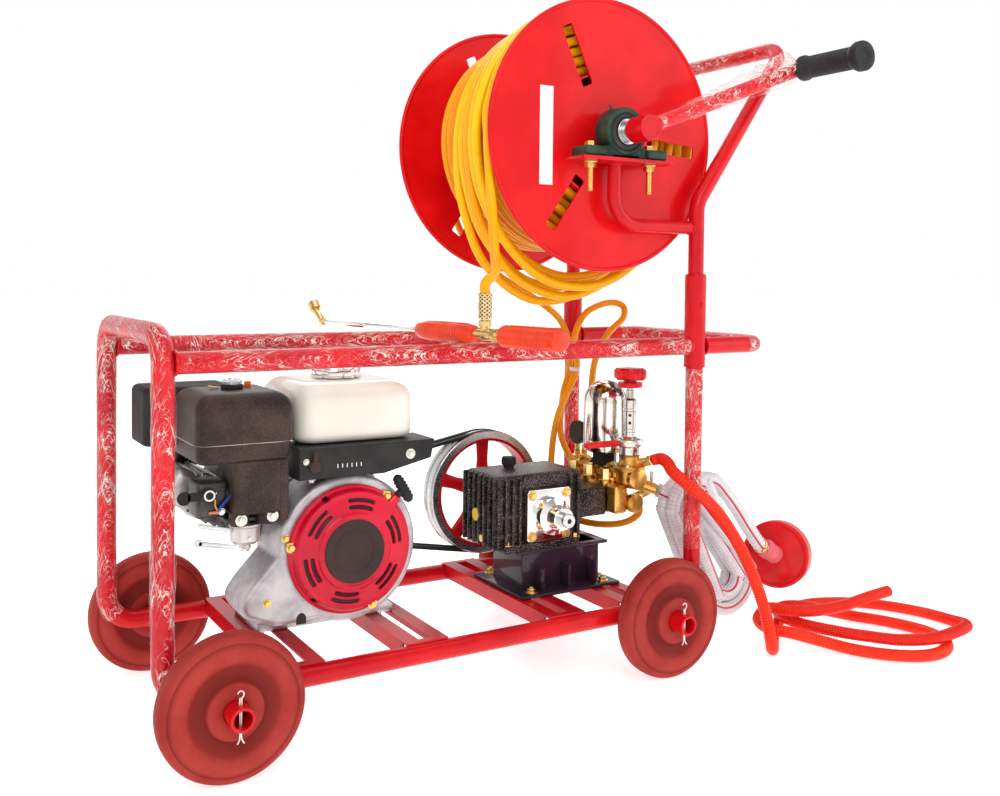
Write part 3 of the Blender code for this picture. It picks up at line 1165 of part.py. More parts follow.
# ------------------------------------------------------------------ hoses
def loose_turns():
    """The wound hose's last turns, slack on the reel, and its drop to the gun."""
    route = [at_reel(LOOSE_START[0], LOOSE_START[1], LOOSE_TOP_Y), at_reel(*LOOSE_SECOND, LOOSE_TOP_Y)]
    turns = (LOOSE_END - LOOSE_START[1]) / 360
    for index in range(1, LOOSE_POINTS + 1):
        turn = turns * index / LOOSE_POINTS
        angle = math.radians(LOOSE_START[1] + 360 * turn)
        low_y, sag = LOOSE_LOOPS[min(int(turn), len(LOOSE_LOOPS) - 1)]
        top_y = LOOSE_TOP_Y - LOOSE_PITCH * turn
        low = 0.0 if turn >= len(LOOSE_LOOPS) else 0.5 - 0.5 * math.cos(math.tau * turn)
        hang = max(0.0, math.cos(angle - math.radians(265))) ** 3 * (low > 0)
        radius = LOOSE_R + LOOSE_RISE * turn + sag * hang
        route.append(at_reel(radius, math.degrees(angle), top_y + (low_y - top_y) * low))
    drop = [
        (-0.2165, -0.139, -0.012),
        (-0.2145, -0.141, -0.062),
        (-0.2135, -0.147, -0.112),
        (-0.2210, -0.166, -0.157),
        (-0.2330, -0.192, -0.200),
        (-0.2500, -0.224, -0.230),
    ]
    route += [Vector((REEL_X + x, y, REEL_Z + z)) for x, y, z in drop]
    return [*route, on_gun(TEE_AT, FERRULE_TOP + 0.015), on_gun(TEE_AT, FERRULE_TOP + SEAT)]


def hank(extra=0.0):
    """The outer shape of the coiled suction hose, hung behind the left rear post."""
    lean = math.atan2(HANK_TOP.z - HANK_FOOT.z, HANK_TOP.x - HANK_FOOT.x)
    outline = []
    ends = ((HANK_TOP, HANK_TOP_R, -math.pi / 2), (HANK_FOOT, HANK_FOOT_R, math.pi / 2))
    for centre, radius, start in ends:
        for i in range(11):
            turn = lean + start + math.pi * i / 10
            u = centre.x + (radius + extra) * math.cos(turn)
            outline.append((u, centre.z + (radius + extra) * math.sin(turn)))
    return flat([outline], 2 * (HANK_W + extra), (0, HANK_TOP.y, 0), "Y")


def hoses():
    yellow = material("tail_yellow", (0.95, 0.60, 0.02), 0.4)
    amber = material("feed_amber", (0.93, 0.45, 0.03), 0.4)
    orange = material("return_orange", (0.90, 0.10, 0.03), 0.45)
    clear = material("suction_clear", (0.80, 0.80, 0.85), 0.3)
    red = material("strainer_red", (0.70, 0.03, 0.05), 0.4)
    node("hose_tail", tube(led(loose_turns(), 0.056), HOSE_R, 2), yellow)

    x, z = MANIFOLD_X, PUMP_Z
    shaft_end = BLOCK_Y + BLOCK_W * 0.4 + 0.012 + SEAT
    outlet, inlet = z + OUTLET_UP, z + INLET_UP
    to_reel = [
        (x, 0.105 + SEAT, outlet),
        (x, 0.113, outlet),
        (x - 0.002, 0.126, z + 0.058),
        (x - 0.012, 0.142, z + 0.104),
        (x + 0.004, 0.158, z + 0.175),
        (REAR_X - 0.021, 0.166, z + 0.230),
        (REAR_X - 0.030, 0.160, 0.545),
        (REAR_X - 0.052, 0.164, 0.592),
        (0.725, 0.182, 0.638),
        (0.660, 0.202, 0.680),
        (0.606, 0.232, 0.745),
        (0.584, 0.252, 0.825),
        (0.600, 0.266, 0.886),
        (0.634, 0.268, 0.910),
        (REEL_X - 0.003, 0.255, REEL_Z),
        (REEL_X, 0.243, REEL_Z),
        (REEL_X, shaft_end, REEL_Z),
    ]
    spare = [
        (x + 0.0170 + SEAT, -0.020, inlet),
        (x + 0.028, -0.020, inlet),
        (x + 0.046, -0.034, inlet - 0.014),
        (x + 0.044, -0.038, inlet - 0.034),
        (x + 0.020, -0.018, inlet - 0.052),
        (x - 0.014, 0.022, inlet - 0.057),
        (x - 0.040, 0.064, inlet - 0.048),
        (x - 0.050, 0.100, inlet - 0.018),
        (x - 0.046, 0.124, z + 0.034),
        (x - 0.024, 0.138, z + 0.130),
        (REAR_X - 0.018, 0.147, z + 0.225),
        (REAR_X - 0.030, 0.138, 0.550),
        (0.828, 0.132, 0.600),
        (0.876, 0.124, 0.622),
        (0.908, 0.114, 0.616),
        (0.900, 0.102, 0.592),
        (0.864, 0.104, 0.560),
        (0.842, 0.116, 0.505),
        (0.838, 0.124, 0.430),
        (0.832, 0.128, 0.350),
        (0.818, 0.126, 0.290),
        (x + 0.008, 0.116, inlet + 0.009),
        (x, 0.100, inlet),
        (x, 0.090 + SEAT, inlet),
    ]
    feeds = [tube(led(to_reel, 0.036), FEED_R, 2), tube(led(spare, 0.036), FEED_R, 2)]
    tie_low, tie_high = Vector(spare[10]), Vector(to_reel[5])
    margin = Vector((FEED_R + 0.001, FEED_R + 0.001, 0.002))
    low = Vector((min(tie_low.x, tie_high.x), tie_low.y, tie_low.z))
    tie = block(low - margin, tie_high + margin, 0.002, 1)
    node("feed_hoses", fused(*feeds, tie), amber)

    elbow = Vector((x + 0.022, -0.104, z + 0.082))
    way = Vector((0.012, -0.044, 0.012)).normalized()
    fall = [elbow + way * SEAT, elbow + way * 0.012, (REAR_X - 0.026, -0.150, z + 0.084)]
    fall += [(REAR_X - 0.037, -0.178, z + 0.074), (REAR_X - 0.034, -0.212, 0.318)]
    fall += [(REAR_X - 0.008, -0.231, 0.292), (REAR_X + 0.036, -0.235, 0.246), (0.922, -0.238, 0.172)]
    node("return_hose", tube(led([*fall, *RETURN_GROUND], 0.060), RETURN_R, 2), orange)

    node("suction_hank", hank(), clear)
    face = Vector((1.100, -0.130, 0.138))
    back = Vector((-0.86, -0.12, 0.50)).normalized()
    collar = face + back * 0.050
    up = Vector((0.7071, 0, 0.7071))
    outlet = [HANK_TOP + up * (HANK_TOP_R + 2 * SEAT), HANK_TOP + up * (HANK_TOP_R + 0.012)]
    outlet += [(0.962, -0.1205, 0.310), (0.985, -0.121, 0.282), (1.006, -0.122, 0.243)]
    outlet += [(1.030, -0.124, 0.202), collar + back * 0.012, collar + back * SEAT]
    node("suction_hose", tube(led(outlet, 0.030), SUCTION_R, 2), clear)
    normal = Vector((-0.85, -0.50, 0.10)).normalized()
    basket = rod(face - normal * 0.036, face, 0.065, 24)
    neck = rod(face - back * 0.01, collar, 0.017, 12)
    node("suction_strainer", fused(basket, neck), red)


def main():
    clear_scene()
    trolley = bpy.data.objects.new("trolley", None)
    trolley.location = -MIDDLE
    bpy.context.scene.collection.objects.link(trolley)
    frame()
    cross_members()
    wheels()
    reel_brackets()
    pillow_blocks()
    reel()
    hose_winding()
    engine_case()
    cylinder()
    starter()
    fuel_and_air()
    panel()
    muffler()
    pump_case()
    pump_pulley()
    pump_bracket()
    manifold()
    gun()
    hoses()
    bpy.data.collections.remove(collection("bench"))


main()
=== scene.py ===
import json
import math

import bmesh
import bpy
import numpy as np
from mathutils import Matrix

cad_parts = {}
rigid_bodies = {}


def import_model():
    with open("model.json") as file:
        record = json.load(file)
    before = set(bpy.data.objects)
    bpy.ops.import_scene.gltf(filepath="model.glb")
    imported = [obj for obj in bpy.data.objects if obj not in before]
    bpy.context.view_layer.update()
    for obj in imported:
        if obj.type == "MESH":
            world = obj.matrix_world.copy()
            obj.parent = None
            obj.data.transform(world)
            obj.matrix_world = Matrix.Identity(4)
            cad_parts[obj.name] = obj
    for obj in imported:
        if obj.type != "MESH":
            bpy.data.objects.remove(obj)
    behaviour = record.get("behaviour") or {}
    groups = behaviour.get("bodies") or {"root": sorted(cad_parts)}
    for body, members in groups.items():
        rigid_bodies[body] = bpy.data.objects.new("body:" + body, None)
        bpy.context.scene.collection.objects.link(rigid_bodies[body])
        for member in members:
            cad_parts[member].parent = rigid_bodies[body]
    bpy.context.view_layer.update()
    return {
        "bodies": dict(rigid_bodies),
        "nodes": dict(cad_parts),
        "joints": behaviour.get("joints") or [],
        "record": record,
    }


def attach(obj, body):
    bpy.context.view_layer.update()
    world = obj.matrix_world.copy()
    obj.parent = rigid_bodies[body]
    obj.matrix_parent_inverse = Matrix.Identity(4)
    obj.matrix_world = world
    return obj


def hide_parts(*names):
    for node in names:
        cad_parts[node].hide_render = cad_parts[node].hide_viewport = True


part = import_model()
print("frame loaded")

rowFromAxle = np.array([0.47875, -0.0633, 0.0])  # the row's origin, measured from the front axle on the floor
chance = np.random.default_rng(11)
right, back, up = np.eye(3)  # +X to the handle, +Y to the belt side, +Z


# shapes: each is (points, faces), measured from the front axle; make() puts it in place
def unit(v):
    v = np.asarray(v, float)
    return v / np.maximum(np.linalg.norm(v, axis=-1, keepdims=True), 1e-12)


def weave(rows, cols, ringed=True, looped=False):  # the four corners of each cell of a grid
    i = np.arange(rows if looped else rows - 1)[:, None] + np.zeros(cols if ringed else cols - 1, int)
    j = np.arange(cols if ringed else cols - 1)[None, :] + 0 * i
    here, beyond, across = i * cols, (i + 1) % rows * cols, (j + 1) % cols
    return np.stack([here + j, here + across, beyond + across, beyond + j], -1).reshape(-1, 4).tolist()


def capped(points, looped=False):  # grid of rings into a shape, its end rings closed
    rows, cols = points.shape[:2]
    faces = weave(rows, cols, True, looped)
    if not looped:
        faces += [list(range(cols)), list(range((rows - 1) * cols, rows * cols))]
    return points.reshape(-1, 3), faces


def joined(*shapes):
    start = np.cumsum([0] + [len(s[0]) for s in shapes])
    faces = [[k + int(first) for k in f] for s, first in zip(shapes, start) for f in s[1]]
    return np.concatenate([s[0] for s in shapes]), faces


def spun(shape, centre, axis, degrees):  # turned about an axis through centre
    a, t = unit(axis), math.radians(degrees)
    cross = np.array([[0, -a[2], a[1]], [a[2], 0, -a[0]], [-a[1], a[0], 0]])
    turn = np.eye(3) + math.sin(t) * cross + (1 - math.cos(t)) * cross @ cross
    return (shape[0] - centre) @ turn.T + np.asarray(centre, float), shape[1]


def shifted(shape, step):
    return shape[0] + np.asarray(step, float), shape[1]


def mirrored(shape):  # the same on the other side of the middle plane
    return shape[0] * [1, -1, 1], shape[1]


def carried(path):  # a frame at each point of a path, each turned as little as possible from the last
    path = np.asarray(path, float)
    ahead = unit(np.gradient(path, axis=0))
    last = unit(np.cross(ahead[0], up if abs(ahead[0][2]) < 0.9 else right))
    side = np.empty_like(path)
    for k, way in enumerate(ahead):
        last = unit(last - way * (last @ way))
        side[k] = last
    return path, ahead, side, np.cross(ahead, side)


def sweep(path, radius, sides=20, caps=True):  # a ring carried along a path; radius may change along it
    path, _, side, other = carried(path)
    turn = np.arange(sides) * 2 * math.pi / sides
    radius = np.broadcast_to(np.asarray(radius, float).reshape(-1, 1 if np.ndim(radius) < 2 else sides),
        (len(path), sides))
    ring = np.cos(turn)[None, :, None] * side[:, None] + np.sin(turn)[None, :, None] * other[:, None]
    points = path[:, None] + radius[..., None] * ring
    if caps:
        return capped(points)
    return points.reshape(-1, 3), weave(len(path), sides)


def lathe(profile, centre, axis=back, sides=48, looped=False):  # (radius, height) pairs turned round an axis
    profile, axis = np.asarray(profile, float), unit(axis)
    side = unit(np.cross(axis, up if abs(axis[2]) < 0.9 else right))
    turn = np.arange(sides) * 2 * math.pi / sides
    ring = np.cos(turn)[:, None] * side + np.sin(turn)[:, None] * np.cross(axis, side)
    points = np.asarray(centre, float) + profile[:, 1, None, None] * axis + profile[:, 0, None, None] * ring
    return capped(points, looped)


def rod(start, end, radius, sides=20, rim=0.0006):  # a bar with a small chamfer at both ends
    start, end = np.asarray(start, float), np.asarray(end, float)
    length = np.linalg.norm(end - start)
    profile = [(radius - rim, 0), (radius, rim), (radius, length - rim), (radius - rim, length)]
    return lathe(profile, start, end - start, sides)


def slab(low, high, radius=0.002, steps=2):  # a box: the eighths of a ball pushed out to its corners
    low, high = np.asarray(low, float), np.asarray(high, float)
    half = (high - low) / 2
    radius = min(radius, half.min() * 0.98)
    quarter = np.linspace(0, math.pi / 2, steps + 1)
    rise = np.concatenate([quarter - math.pi / 2, quarter])[:, None]
    turn = np.concatenate([quarter + k * math.pi / 2 for k in range(4)])[None, :]
    ball = np.stack([np.cos(rise) * np.cos(turn), np.cos(rise) * np.sin(turn), np.sin(rise) + 0 * turn], -1)
    corner = np.repeat([[1, 1], [-1, 1], [-1, -1], [1, -1]], steps + 1, axis=0)
    sign = np.empty_like(ball)
    sign[..., :2] = corner[None]
    sign[..., 2] = np.repeat([-1, 1], steps + 1)[:, None]
    return capped((low + high) / 2 + sign * (half - radius) + ball * radius)


def inset(outline, by):  # a closed flat outline moved inwards
    outline = np.asarray(outline, float)
    x, y = outline.T
    area = np.sum(x * np.roll(y, -1) - np.roll(x, -1) * y)
    edge = unit(np.roll(outline, -1, 0) - outline)
    inward = np.stack([-edge[:, 1], edge[:, 0]], -1) * np.sign(area)
    both = inward + np.roll(inward, 1, 0)
    return outline + by * both / np.maximum(np.sum(both * both, -1, keepdims=True) / 2, 0.2)


def prism(outline, near, far, rim=0.0, steps=2):  # a flat outline (x, z) carried along y, its rims rounded
    bend = np.linspace(0, math.pi / 2, steps + 1) if rim else np.zeros(1)
    sense = math.copysign(1, far - near)
    rows = [(rim * (1 - math.sin(t)), near + sense * rim * (1 - math.cos(t))) for t in bend]
    rows += [(rim * (1 - math.sin(t)), far - sense * rim * (1 - math.cos(t))) for t in bend[::-1]]
    rings = []
    for by, y in rows:
        x, z = inset(outline, by).T
        rings.append(np.stack([x, np.full_like(x, y), z], -1))
    return capped(np.array(rings))


def roundedPath(corners, radius, steps=10):  # straight legs joined by arcs
    corners = np.asarray(corners, float)
    line = [corners[0]]
    for before, corner, after in zip(corners, corners[1:], corners[2:]):
        a, b = unit(before - corner), unit(after - corner)
        half = math.acos(float(a @ b)) / 2
        leg = min(radius / math.tan(half), np.linalg.norm(before - corner), np.linalg.norm(after - corner))
        middle = corner + unit(a + b) * leg / math.cos(half)
        start, end = corner + a * leg - middle, corner + b * leg - middle
        span = math.acos(float(np.clip(unit(start) @ unit(end), -1, 1)))
        share = np.linspace(0, 1, steps + 1)[:, None]
        line += list(middle + (np.sin((1 - share) * span) * start + np.sin(share * span) * end) / math.sin(span))
    return np.array(line + [corners[-1]])


def densified(path, step):  # points that far apart along a path
    path = np.asarray(path, float)
    along = np.concatenate([[0], np.cumsum(np.linalg.norm(np.diff(path, axis=0), axis=1))])
    where = np.linspace(0, along[-1], max(2, int(round(along[-1] / step)) + 1))
    return np.stack([np.interp(where, along, path[:, k]) for k in range(3)], -1)


def flowing(route, step):  # points on one smooth curve through a route's own points
    route = np.asarray(route, float)
    ends = np.concatenate([[2 * route[0] - route[1]], route, [2 * route[-1] - route[-2]]])
    t = (np.arange(24) / 24)[:, None]
    p0, p1, p2, p3 = (ends[k : len(ends) - 3 + k, None] for k in range(4))
    fine = p1 * 2 + (p2 - p0) * t + (p0 * 2 - p1 * 5 + p2 * 4 - p3) * t**2 + (p1 * 3 - p0 - p2 * 3 + p3) * t**3
    return densified(np.concatenate([fine.reshape(-1, 3) / 2, route[-1:]]), step)


# a bolt head or nut, with washer and shank
def stud(seat, axis, size, height, washer=0.0, tail=0.0, sides=6):
    seat, axis = np.asarray(seat, float), unit(axis)
    chamfer = size * 0.13
    made = [lathe([(0, height), (size - chamfer, height), (size, height - chamfer), (size, 0), (0, 0)], seat,
        axis, sides)]
    if washer:
        thick = size * 0.22
        made.append(lathe([(0, thick), (washer * 0.96, thick), (washer, thick * 0.7), (washer, 0), (0, 0)],
            seat, axis, 28))
        made[0] = shifted(made[0], axis * thick)
    if tail:
        made.append(rod(seat + axis * height, seat + axis * (height + tail), size * 0.5, 14, 0.0005))
    return joined(*made)


def make(name, shape, finish, body="trolley", stands=(), sharp=38, marks=None):
    mesh = bpy.data.meshes.new(name)
    mesh.from_pydata((shape[0] - rowFromAxle).tolist(), [], shape[1])
    if marks is not None:
        mesh.attributes.new("lay", "FLOAT_VECTOR", "POINT").data.foreach_set("vector",
            marks.astype(np.float32).ravel())
    form = bmesh.new()
    form.from_mesh(mesh)
    bmesh.ops.remove_doubles(form, verts=form.verts, dist=0.000002)
    bmesh.ops.recalc_face_normals(form, faces=form.faces)
    form.to_mesh(mesh)
    form.free()
    mesh.shade_smooth()
    mesh.set_sharp_from_angle(angle=math.radians(sharp))
    mesh.materials.append(finish.material)
    piece = bpy.data.objects.new(name, mesh)
    bpy.context.scene.collection.objects.link(piece)
    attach(piece, body)
    if stands:
        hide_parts(*stands)
    return piece


def hoseMarks(path, sides):  # for a hose's pattern: the turn round it, and how far along it
    along = np.concatenate([[0], np.cumsum(np.linalg.norm(np.diff(path, axis=0), axis=1))])
    turn = np.arange(sides) * 2 * math.pi / sides
    marks = np.stack(np.broadcast_arrays(np.cos(turn)[None], np.sin(turn)[None], along[:, None]), -1)
    return marks.reshape(-1, 3)


# finishes
def sums(operation, *values):
    return next(v for v in values if isinstance(v, Feed)).finish.node("Math", {"operation": operation},
        *values)


class Feed:  # the output of a shader node, which can be added, multiplied and compared
    def __init__(self, finish, socket):
        self.finish, self.socket = finish, socket

    def __add__(self, other):
        return sums("ADD", self, other)

    def __sub__(self, other):
        return sums("SUBTRACT", self, other)

    def __rsub__(self, other):
        return sums("SUBTRACT", other, self)

    def __mul__(self, other):
        return sums("MULTIPLY", self, other)

    def __truediv__(self, other):
        return sums("DIVIDE", self, other)

    def __pow__(self, other):
        return sums("POWER", self, other)

    def __gt__(self, other):
        return sums("GREATER_THAN", self, other)

    def __lt__(self, other):
        return sums("LESS_THAN", self, other)

    __radd__, __rmul__ = __add__, __mul__

    def sine(self):
        return sums("SINE", self)

    def between(self, low, high, fromOut=0.0, toOut=1.0):  # low..high spread over 0..1, held at its ends
        return self.finish.node("MapRange", {"interpolation_type": "SMOOTHSTEP"}, self, low, high, fromOut,
            toOut)


class Finish:
    def __init__(self, name, slot, colour, roughness=0.5, metallic=0.0, **more):
        self.slot = slot
        self.material = bpy.data.materials.new(name)
        self.material.use_nodes = True
        self.tree = self.material.node_tree
        self.shader = self.tree.nodes["Principled BSDF"]
        fixed = {"Base Color": (*colour, 1), "Roughness": roughness, "Metallic": metallic,
            "Specular IOR Level": 0.16}
        fixed |= {key.replace("_", " "): value for key, value in more.items()}
        for key, value in fixed.items():
            self.shader.inputs[key].default_value = value

    def node(self, kind, settings=None, *values, out=0, **named):
        made = self.tree.nodes.new("ShaderNode" + kind)
        for key, value in (settings or {}).items():
            if key == "stops":
                ramp = made.color_ramp.elements
                while len(ramp) < len(value):
                    ramp.new(0.5)
                for stop, (spot, colour) in zip(ramp, value):
                    stop.position, stop.color = spot, (*colour, 1)
            else:
                setattr(made, key, value)
        for spot, value in [*enumerate(values), *named.items()]:
            if isinstance(value, Feed):
                self.tree.links.new(value.socket, made.inputs[spot])
            elif value is not None:
                made.inputs[spot].default_value = value
        return Feed(self, made.outputs[out])

    def spot(self, stretch=(1, 1, 1), turn=(0, 0, 0)):
        here = self.node("TexCoord", out="Object")
        if stretch == (1, 1, 1) and turn == (0, 0, 0):
            return here
        return self.node("Mapping", None, here, Scale=stretch, Rotation=turn)

    def noise(self, scale, detail=3.0, rough=0.55, where=None, bend=0.0):
        return self.node("TexNoise", None, where or self.spot(), Scale=scale, Detail=detail, Roughness=rough,
            Distortion=bend)

    def cells(self, scale, feature="F1", where=None):
        return self.node("TexVoronoi", {"feature": feature}, where or self.spot(), Scale=scale)

    def apart(self, vector, part):
        return self.node("SeparateXYZ", None, vector, out=part)

    def blend(self, share, one, two, how="MIX"):
        one, two = ((*c, 1) if isinstance(c, tuple) and len(c) == 3 else c for c in (one, two))
        made = self.node("Mix", {"data_type": "RGBA", "blend_type": how}, share, out=2)
        for socket, value in zip((made.socket.node.inputs[6], made.socket.node.inputs[7]), (one, two)):
            if isinstance(value, Feed):
                self.tree.links.new(value.socket, socket)
            else:
                socket.default_value = value
        return made

    def wire(self, **feeds):
        for key, value in feeds.items():
            self.tree.links.new(value.socket, self.shader.inputs[key.replace("_", " ")])
        return self

    def bumps(self, height, strength=0.3, depth=0.001):
        return self.wire(Normal=self.node("Bump", None, Height=height, Strength=strength, Distance=depth))


def paint(name, slot, colour, shade, roughness=0.28, peel=0.25, grime=(0.2, 0.02, 0.02), coat=0.25):
    # sprayed enamel: orange peel, clouds of a deeper shade, and a little dust
    made = Finish(name, slot, colour, roughness, 0.0, Coat_Weight=coat, Coat_Roughness=0.06)
    clouds, dust = made.noise(9, 4), made.noise(140, 5, 0.7)
    body = made.blend(clouds.between(0.35, 0.7), shade, colour)
    made.wire(Base_Color=made.blend(dust.between(0.62, 0.78) * 0.35, body, grime))
    made.wire(Roughness=roughness + 0.12 * dust + 0.1 * clouds.between(0.45, 0.75))
    return made.bumps(made.noise(420, 2) + 0.35 * made.noise(90, 2), peel, 0.0004)


def cast(name, slot, colour, shade, roughness=0.5, metallic=0.5, grain=700, depth=0.0006, strength=0.5,
    paintedGlint=0.0):
    # a rough casting: grain, darker clouds, and bright flecks painted into the colour as glints
    made = Finish(name, slot, colour, roughness, metallic)
    grains, clouds = made.noise(grain, 3, 0.7), made.noise(22, 4)
    body = made.blend(clouds.between(0.35, 0.65), shade, colour)
    if paintedGlint:
        # painted glints: small pale flecks mixed into the base colour
        glintFlecks = made.cells(620)
        body = made.blend((glintFlecks < 0.22) * paintedGlint, body, (0.75, 0.7, 0.68))
    made.wire(Base_Color=body, Roughness=roughness + 0.25 * (grains - 0.5))
    return made.bumps(grains, strength, depth)


def metal(name, slot, colour, shade, roughness=0.2, streak=None, tarnish=0.3, metallic=1.0):
    # bright metal: fine tool marks along one way, and a cloudy tarnish
    made = Finish(name, slot, colour, roughness, metallic)
    marks = made.noise(60, 3, 0.6, made.spot(streak or (1, 14, 14)))
    clouds = made.noise(30, 4, 0.6)
    made.wire(Base_Color=made.blend(clouds.between(0.4, 0.75) * tarnish, colour, shade))
    made.wire(Roughness=roughness + 0.18 * (marks - 0.4) + 0.12 * clouds.between(0.5, 0.8))
    return made.bumps(marks, 0.08, 0.0003)


def moulded(name, slot, colour, shade, roughness=0.5, grain=500, strength=0.25, coat=0.0):
    # moulded plastic or rubber: fine grain and a dusty bloom
    made = Finish(name, slot, colour, roughness, 0.0, Coat_Weight=coat, Coat_Roughness=0.15)
    grains, bloom = made.noise(grain, 3, 0.6), made.noise(16, 5, 0.6)
    made.wire(Base_Color=made.blend(bloom.between(0.35, 0.75), colour, shade))
    made.wire(Roughness=roughness + 0.15 * (bloom - 0.5) + 0.1 * (grains - 0.5))
    return made.bumps(grains, strength, 0.0004)


def shadedInHollows(finish, dark=(0.012, 0.006, 0.008)):  # painted shade: a deep colour inside hollows marked on the surface
    depth = finish.apart(finish.node("Attribute", {"attribute_name": "lay"}, out=1), 0)
    base = finish.shader.inputs["Base Color"]
    now = Feed(finish, base.links[0].from_socket)
    return finish.wire(Base_Color=finish.blend(depth, now, dark))


frameRed = paint("frameEnamel", "frame_red", (0.7, 0.004, 0.008), (0.5, 0.0, 0.006))
reelRed = paint("reelEnamel", "reel_red", (0.8, 0.006, 0.008), (0.62, 0.001, 0.004), 0.25, 0.35,
    (0.35, 0.01, 0.01), 0.15)
bearerRed = paint("bearerEnamel", "bearer_red", (0.66, 0.004, 0.01), (0.42, 0.0, 0.006), 0.3, 0.3,
    (0.12, 0.05, 0.04))
tyreMaroon = moulded("wheelRubber", "wheel_maroon", (0.40, 0.040, 0.030), (0.30, 0.022, 0.018), 0.6, 260, 0.5)
steelTurned = metal("turnedSteel", "steel", (0.62, 0.62, 0.62), (0.3, 0.27, 0.24), 0.25)
zincPlate = metal("zincPlate", "steel", (0.74, 0.72, 0.66), (0.42, 0.38, 0.3), 0.3)
brassPlate = metal("brassPlate", "gun_brass", (0.8, 0.55, 0.18), (0.42, 0.26, 0.08), 0.25)
polishedBrass = metal("polishedBrass", "gun_brass", (0.85, 0.62, 0.26), (0.45, 0.28, 0.1), 0.2)
castBrass = cast("castBrass", "manifold_brass", (0.86, 0.52, 0.14), (0.58, 0.3, 0.06), 0.3, 0.95, 320, 0.0005,
    0.3)
chromePlate = metal("chromePlate", "chrome", (0.86, 0.85, 0.83), (0.5, 0.49, 0.47), 0.1, tarnish=0.15)
greenIron = cast("pillowIron", "cast_green", (0.045, 0.085, 0.06), (0.02, 0.04, 0.03), 0.45, 0.35, 420,
    0.0006, 0.5)
caseAlloy = cast("caseAlloy", "alloy", (0.62, 0.61, 0.62), (0.36, 0.35, 0.36), 0.42, 0.85, 380, 0.0006, 0.4)
# the last figure is how much painted glint the pump's iron gets
sparkIron = cast("sparkleIron", "pump_iron", (0.06, 0.045, 0.04), (0.014, 0.011, 0.01), 0.3, 0.6, 260, 0.0016,
    1.0, 0.85)
gripRubber = moulded("gripRubber", "grip_black", (0.022, 0.021, 0.022), (0.045, 0.043, 0.042), 0.55, 420, 0.4)
# the last figure is how much painted glint the air cleaner's plastic gets
airPlastic = cast("airCleanerPlastic", "black_plastic", (0.06, 0.036, 0.028), (0.03, 0.019, 0.016), 0.42, 0.0,
    900, 0.0005, 0.6, 0.12)
panelPlastic = moulded("panelPlastic", "black_plastic", (0.018, 0.017, 0.017), (0.035, 0.034, 0.033), 0.42,
    700, 0.2)
gunPlastic = moulded("gunPlastic", "grip_orange", (0.86, 0.06, 0.01), (0.7, 0.03, 0.006), 0.33, 300, 0.12,
    0.4)
knobPlastic = moulded("knobPlastic", "knob_red", (0.72, 0.006, 0.01), (0.5, 0.004, 0.006), 0.35, 300, 0.12,
    0.3)
silverPaint = cast("shroudSilver", "shroud_silver", (0.60, 0.58, 0.59), (0.38, 0.36, 0.38), 0.34, 0.5, 700,
    0.0005, 0.4)
starterPaint = paint("starterCrimson", "starter_red", (0.7, 0.002, 0.022), (0.5, 0.0, 0.016), 0.3, 0.15,
    (0.3, 0.01, 0.02), 0.5)
creamPaint = paint("tankCream", "tank_cream", (0.88, 0.85, 0.76), (0.8, 0.76, 0.66), 0.22, 0.08,
    (0.6, 0.57, 0.5), 0.8)
heatBlack = cast("mufflerBlack", "muffler_black", (0.035, 0.033, 0.032), (0.015, 0.014, 0.014), 0.55, 0.3,
    500, 0.0004, 0.4)
bracketBlack = paint("bracketBlack", "black_plastic", (0.02, 0.012, 0.02), (0.035, 0.016, 0.03), 0.28, 0.2,
    (0.06, 0.05, 0.05), 0.5)
foamGrey = moulded("filterFoam", "foam", (0.1, 0.1, 0.09), (0.05, 0.05, 0.05), 0.95, 350, 0.9)
beltRubber = moulded("beltRubber", "belt_rubber", (0.02, 0.02, 0.02), (0.04, 0.04, 0.04), 0.6, 300, 0.4)
pulleyRed = paint("pulleyEnamel", "frame_red", (0.68, 0.004, 0.012), (0.45, 0.0, 0.008), 0.3, 0.4,
    (0.1, 0.02, 0.02))
badgeDark = moulded("badgeDark", "black_plastic", (0.035, 0.024, 0.022), (0.06, 0.03, 0.028), 0.4, 500, 0.1)
print("finishes mixed")


# camera, light and floor
view = {"at": (-0.4153, -1.6018, 0.6755), "heading": 31.1972, "tilt": -1.6308, "roll": 0.6067}
view |= {"lens": 38.094, "sensor": 36, "shift": (-0.0031, -0.0925), "near": 0.05}
lights = {
    "key": {"at": (-1.6, -2.6, 2.9), "size": 2.2, "watts": 50, "tint": (1.0, 0.98, 0.95)},
    "fill": {"at": (3.0, -2.2, 1.7), "size": 2.6, "watts": 24, "tint": (0.95, 0.97, 1.0)},
    "rim": {"at": (1.2, 2.8, 2.6), "size": 2.4, "watts": 34, "tint": (1.0, 1.0, 1.0)},
    "top": {"at": (0.1, 0.0, 3.4), "size": 3.0, "watts": 34, "tint": (1.0, 1.0, 1.0)},
}
studio = {"aim": (0.0, 0.0, 0.5), "skyFrom": 0.34, "skyTo": 0.5, "lowGlow": 1.0, "highGlow": 0.42}
studio |= {"floorHalf": 30, "floorZ": -0.0005, "floorGlow": 0.62, "floorShade": 0.93}
heading, tilt, roll = (math.radians(view[k]) for k in ("heading", "tilt", "roll"))
forward = np.array([math.sin(heading) * math.cos(tilt), math.cos(heading) * math.cos(tilt), math.sin(tilt)])
level = np.array([math.cos(heading), -math.sin(heading), 0.0])
upright = np.cross(level, forward)
sideways = level * math.cos(roll) + upright * math.sin(roll)
upright = upright * math.cos(roll) - level * math.sin(roll)
lens = bpy.data.cameras.new("camera")
lens.lens, lens.sensor_width, lens.clip_start = view["lens"], view["sensor"], view["near"]
lens.shift_x, lens.shift_y = view["shift"]
camera = bpy.data.objects.new("camera", lens)
place = np.eye(4)
place[:3] = np.column_stack([sideways, upright, -forward, np.array(view["at"]) - rowFromAxle])
camera.matrix_world = place.T
bpy.context.scene.collection.objects.link(camera)
bpy.context.scene.camera = camera
bpy.context.scene.view_settings.view_transform = "Standard"

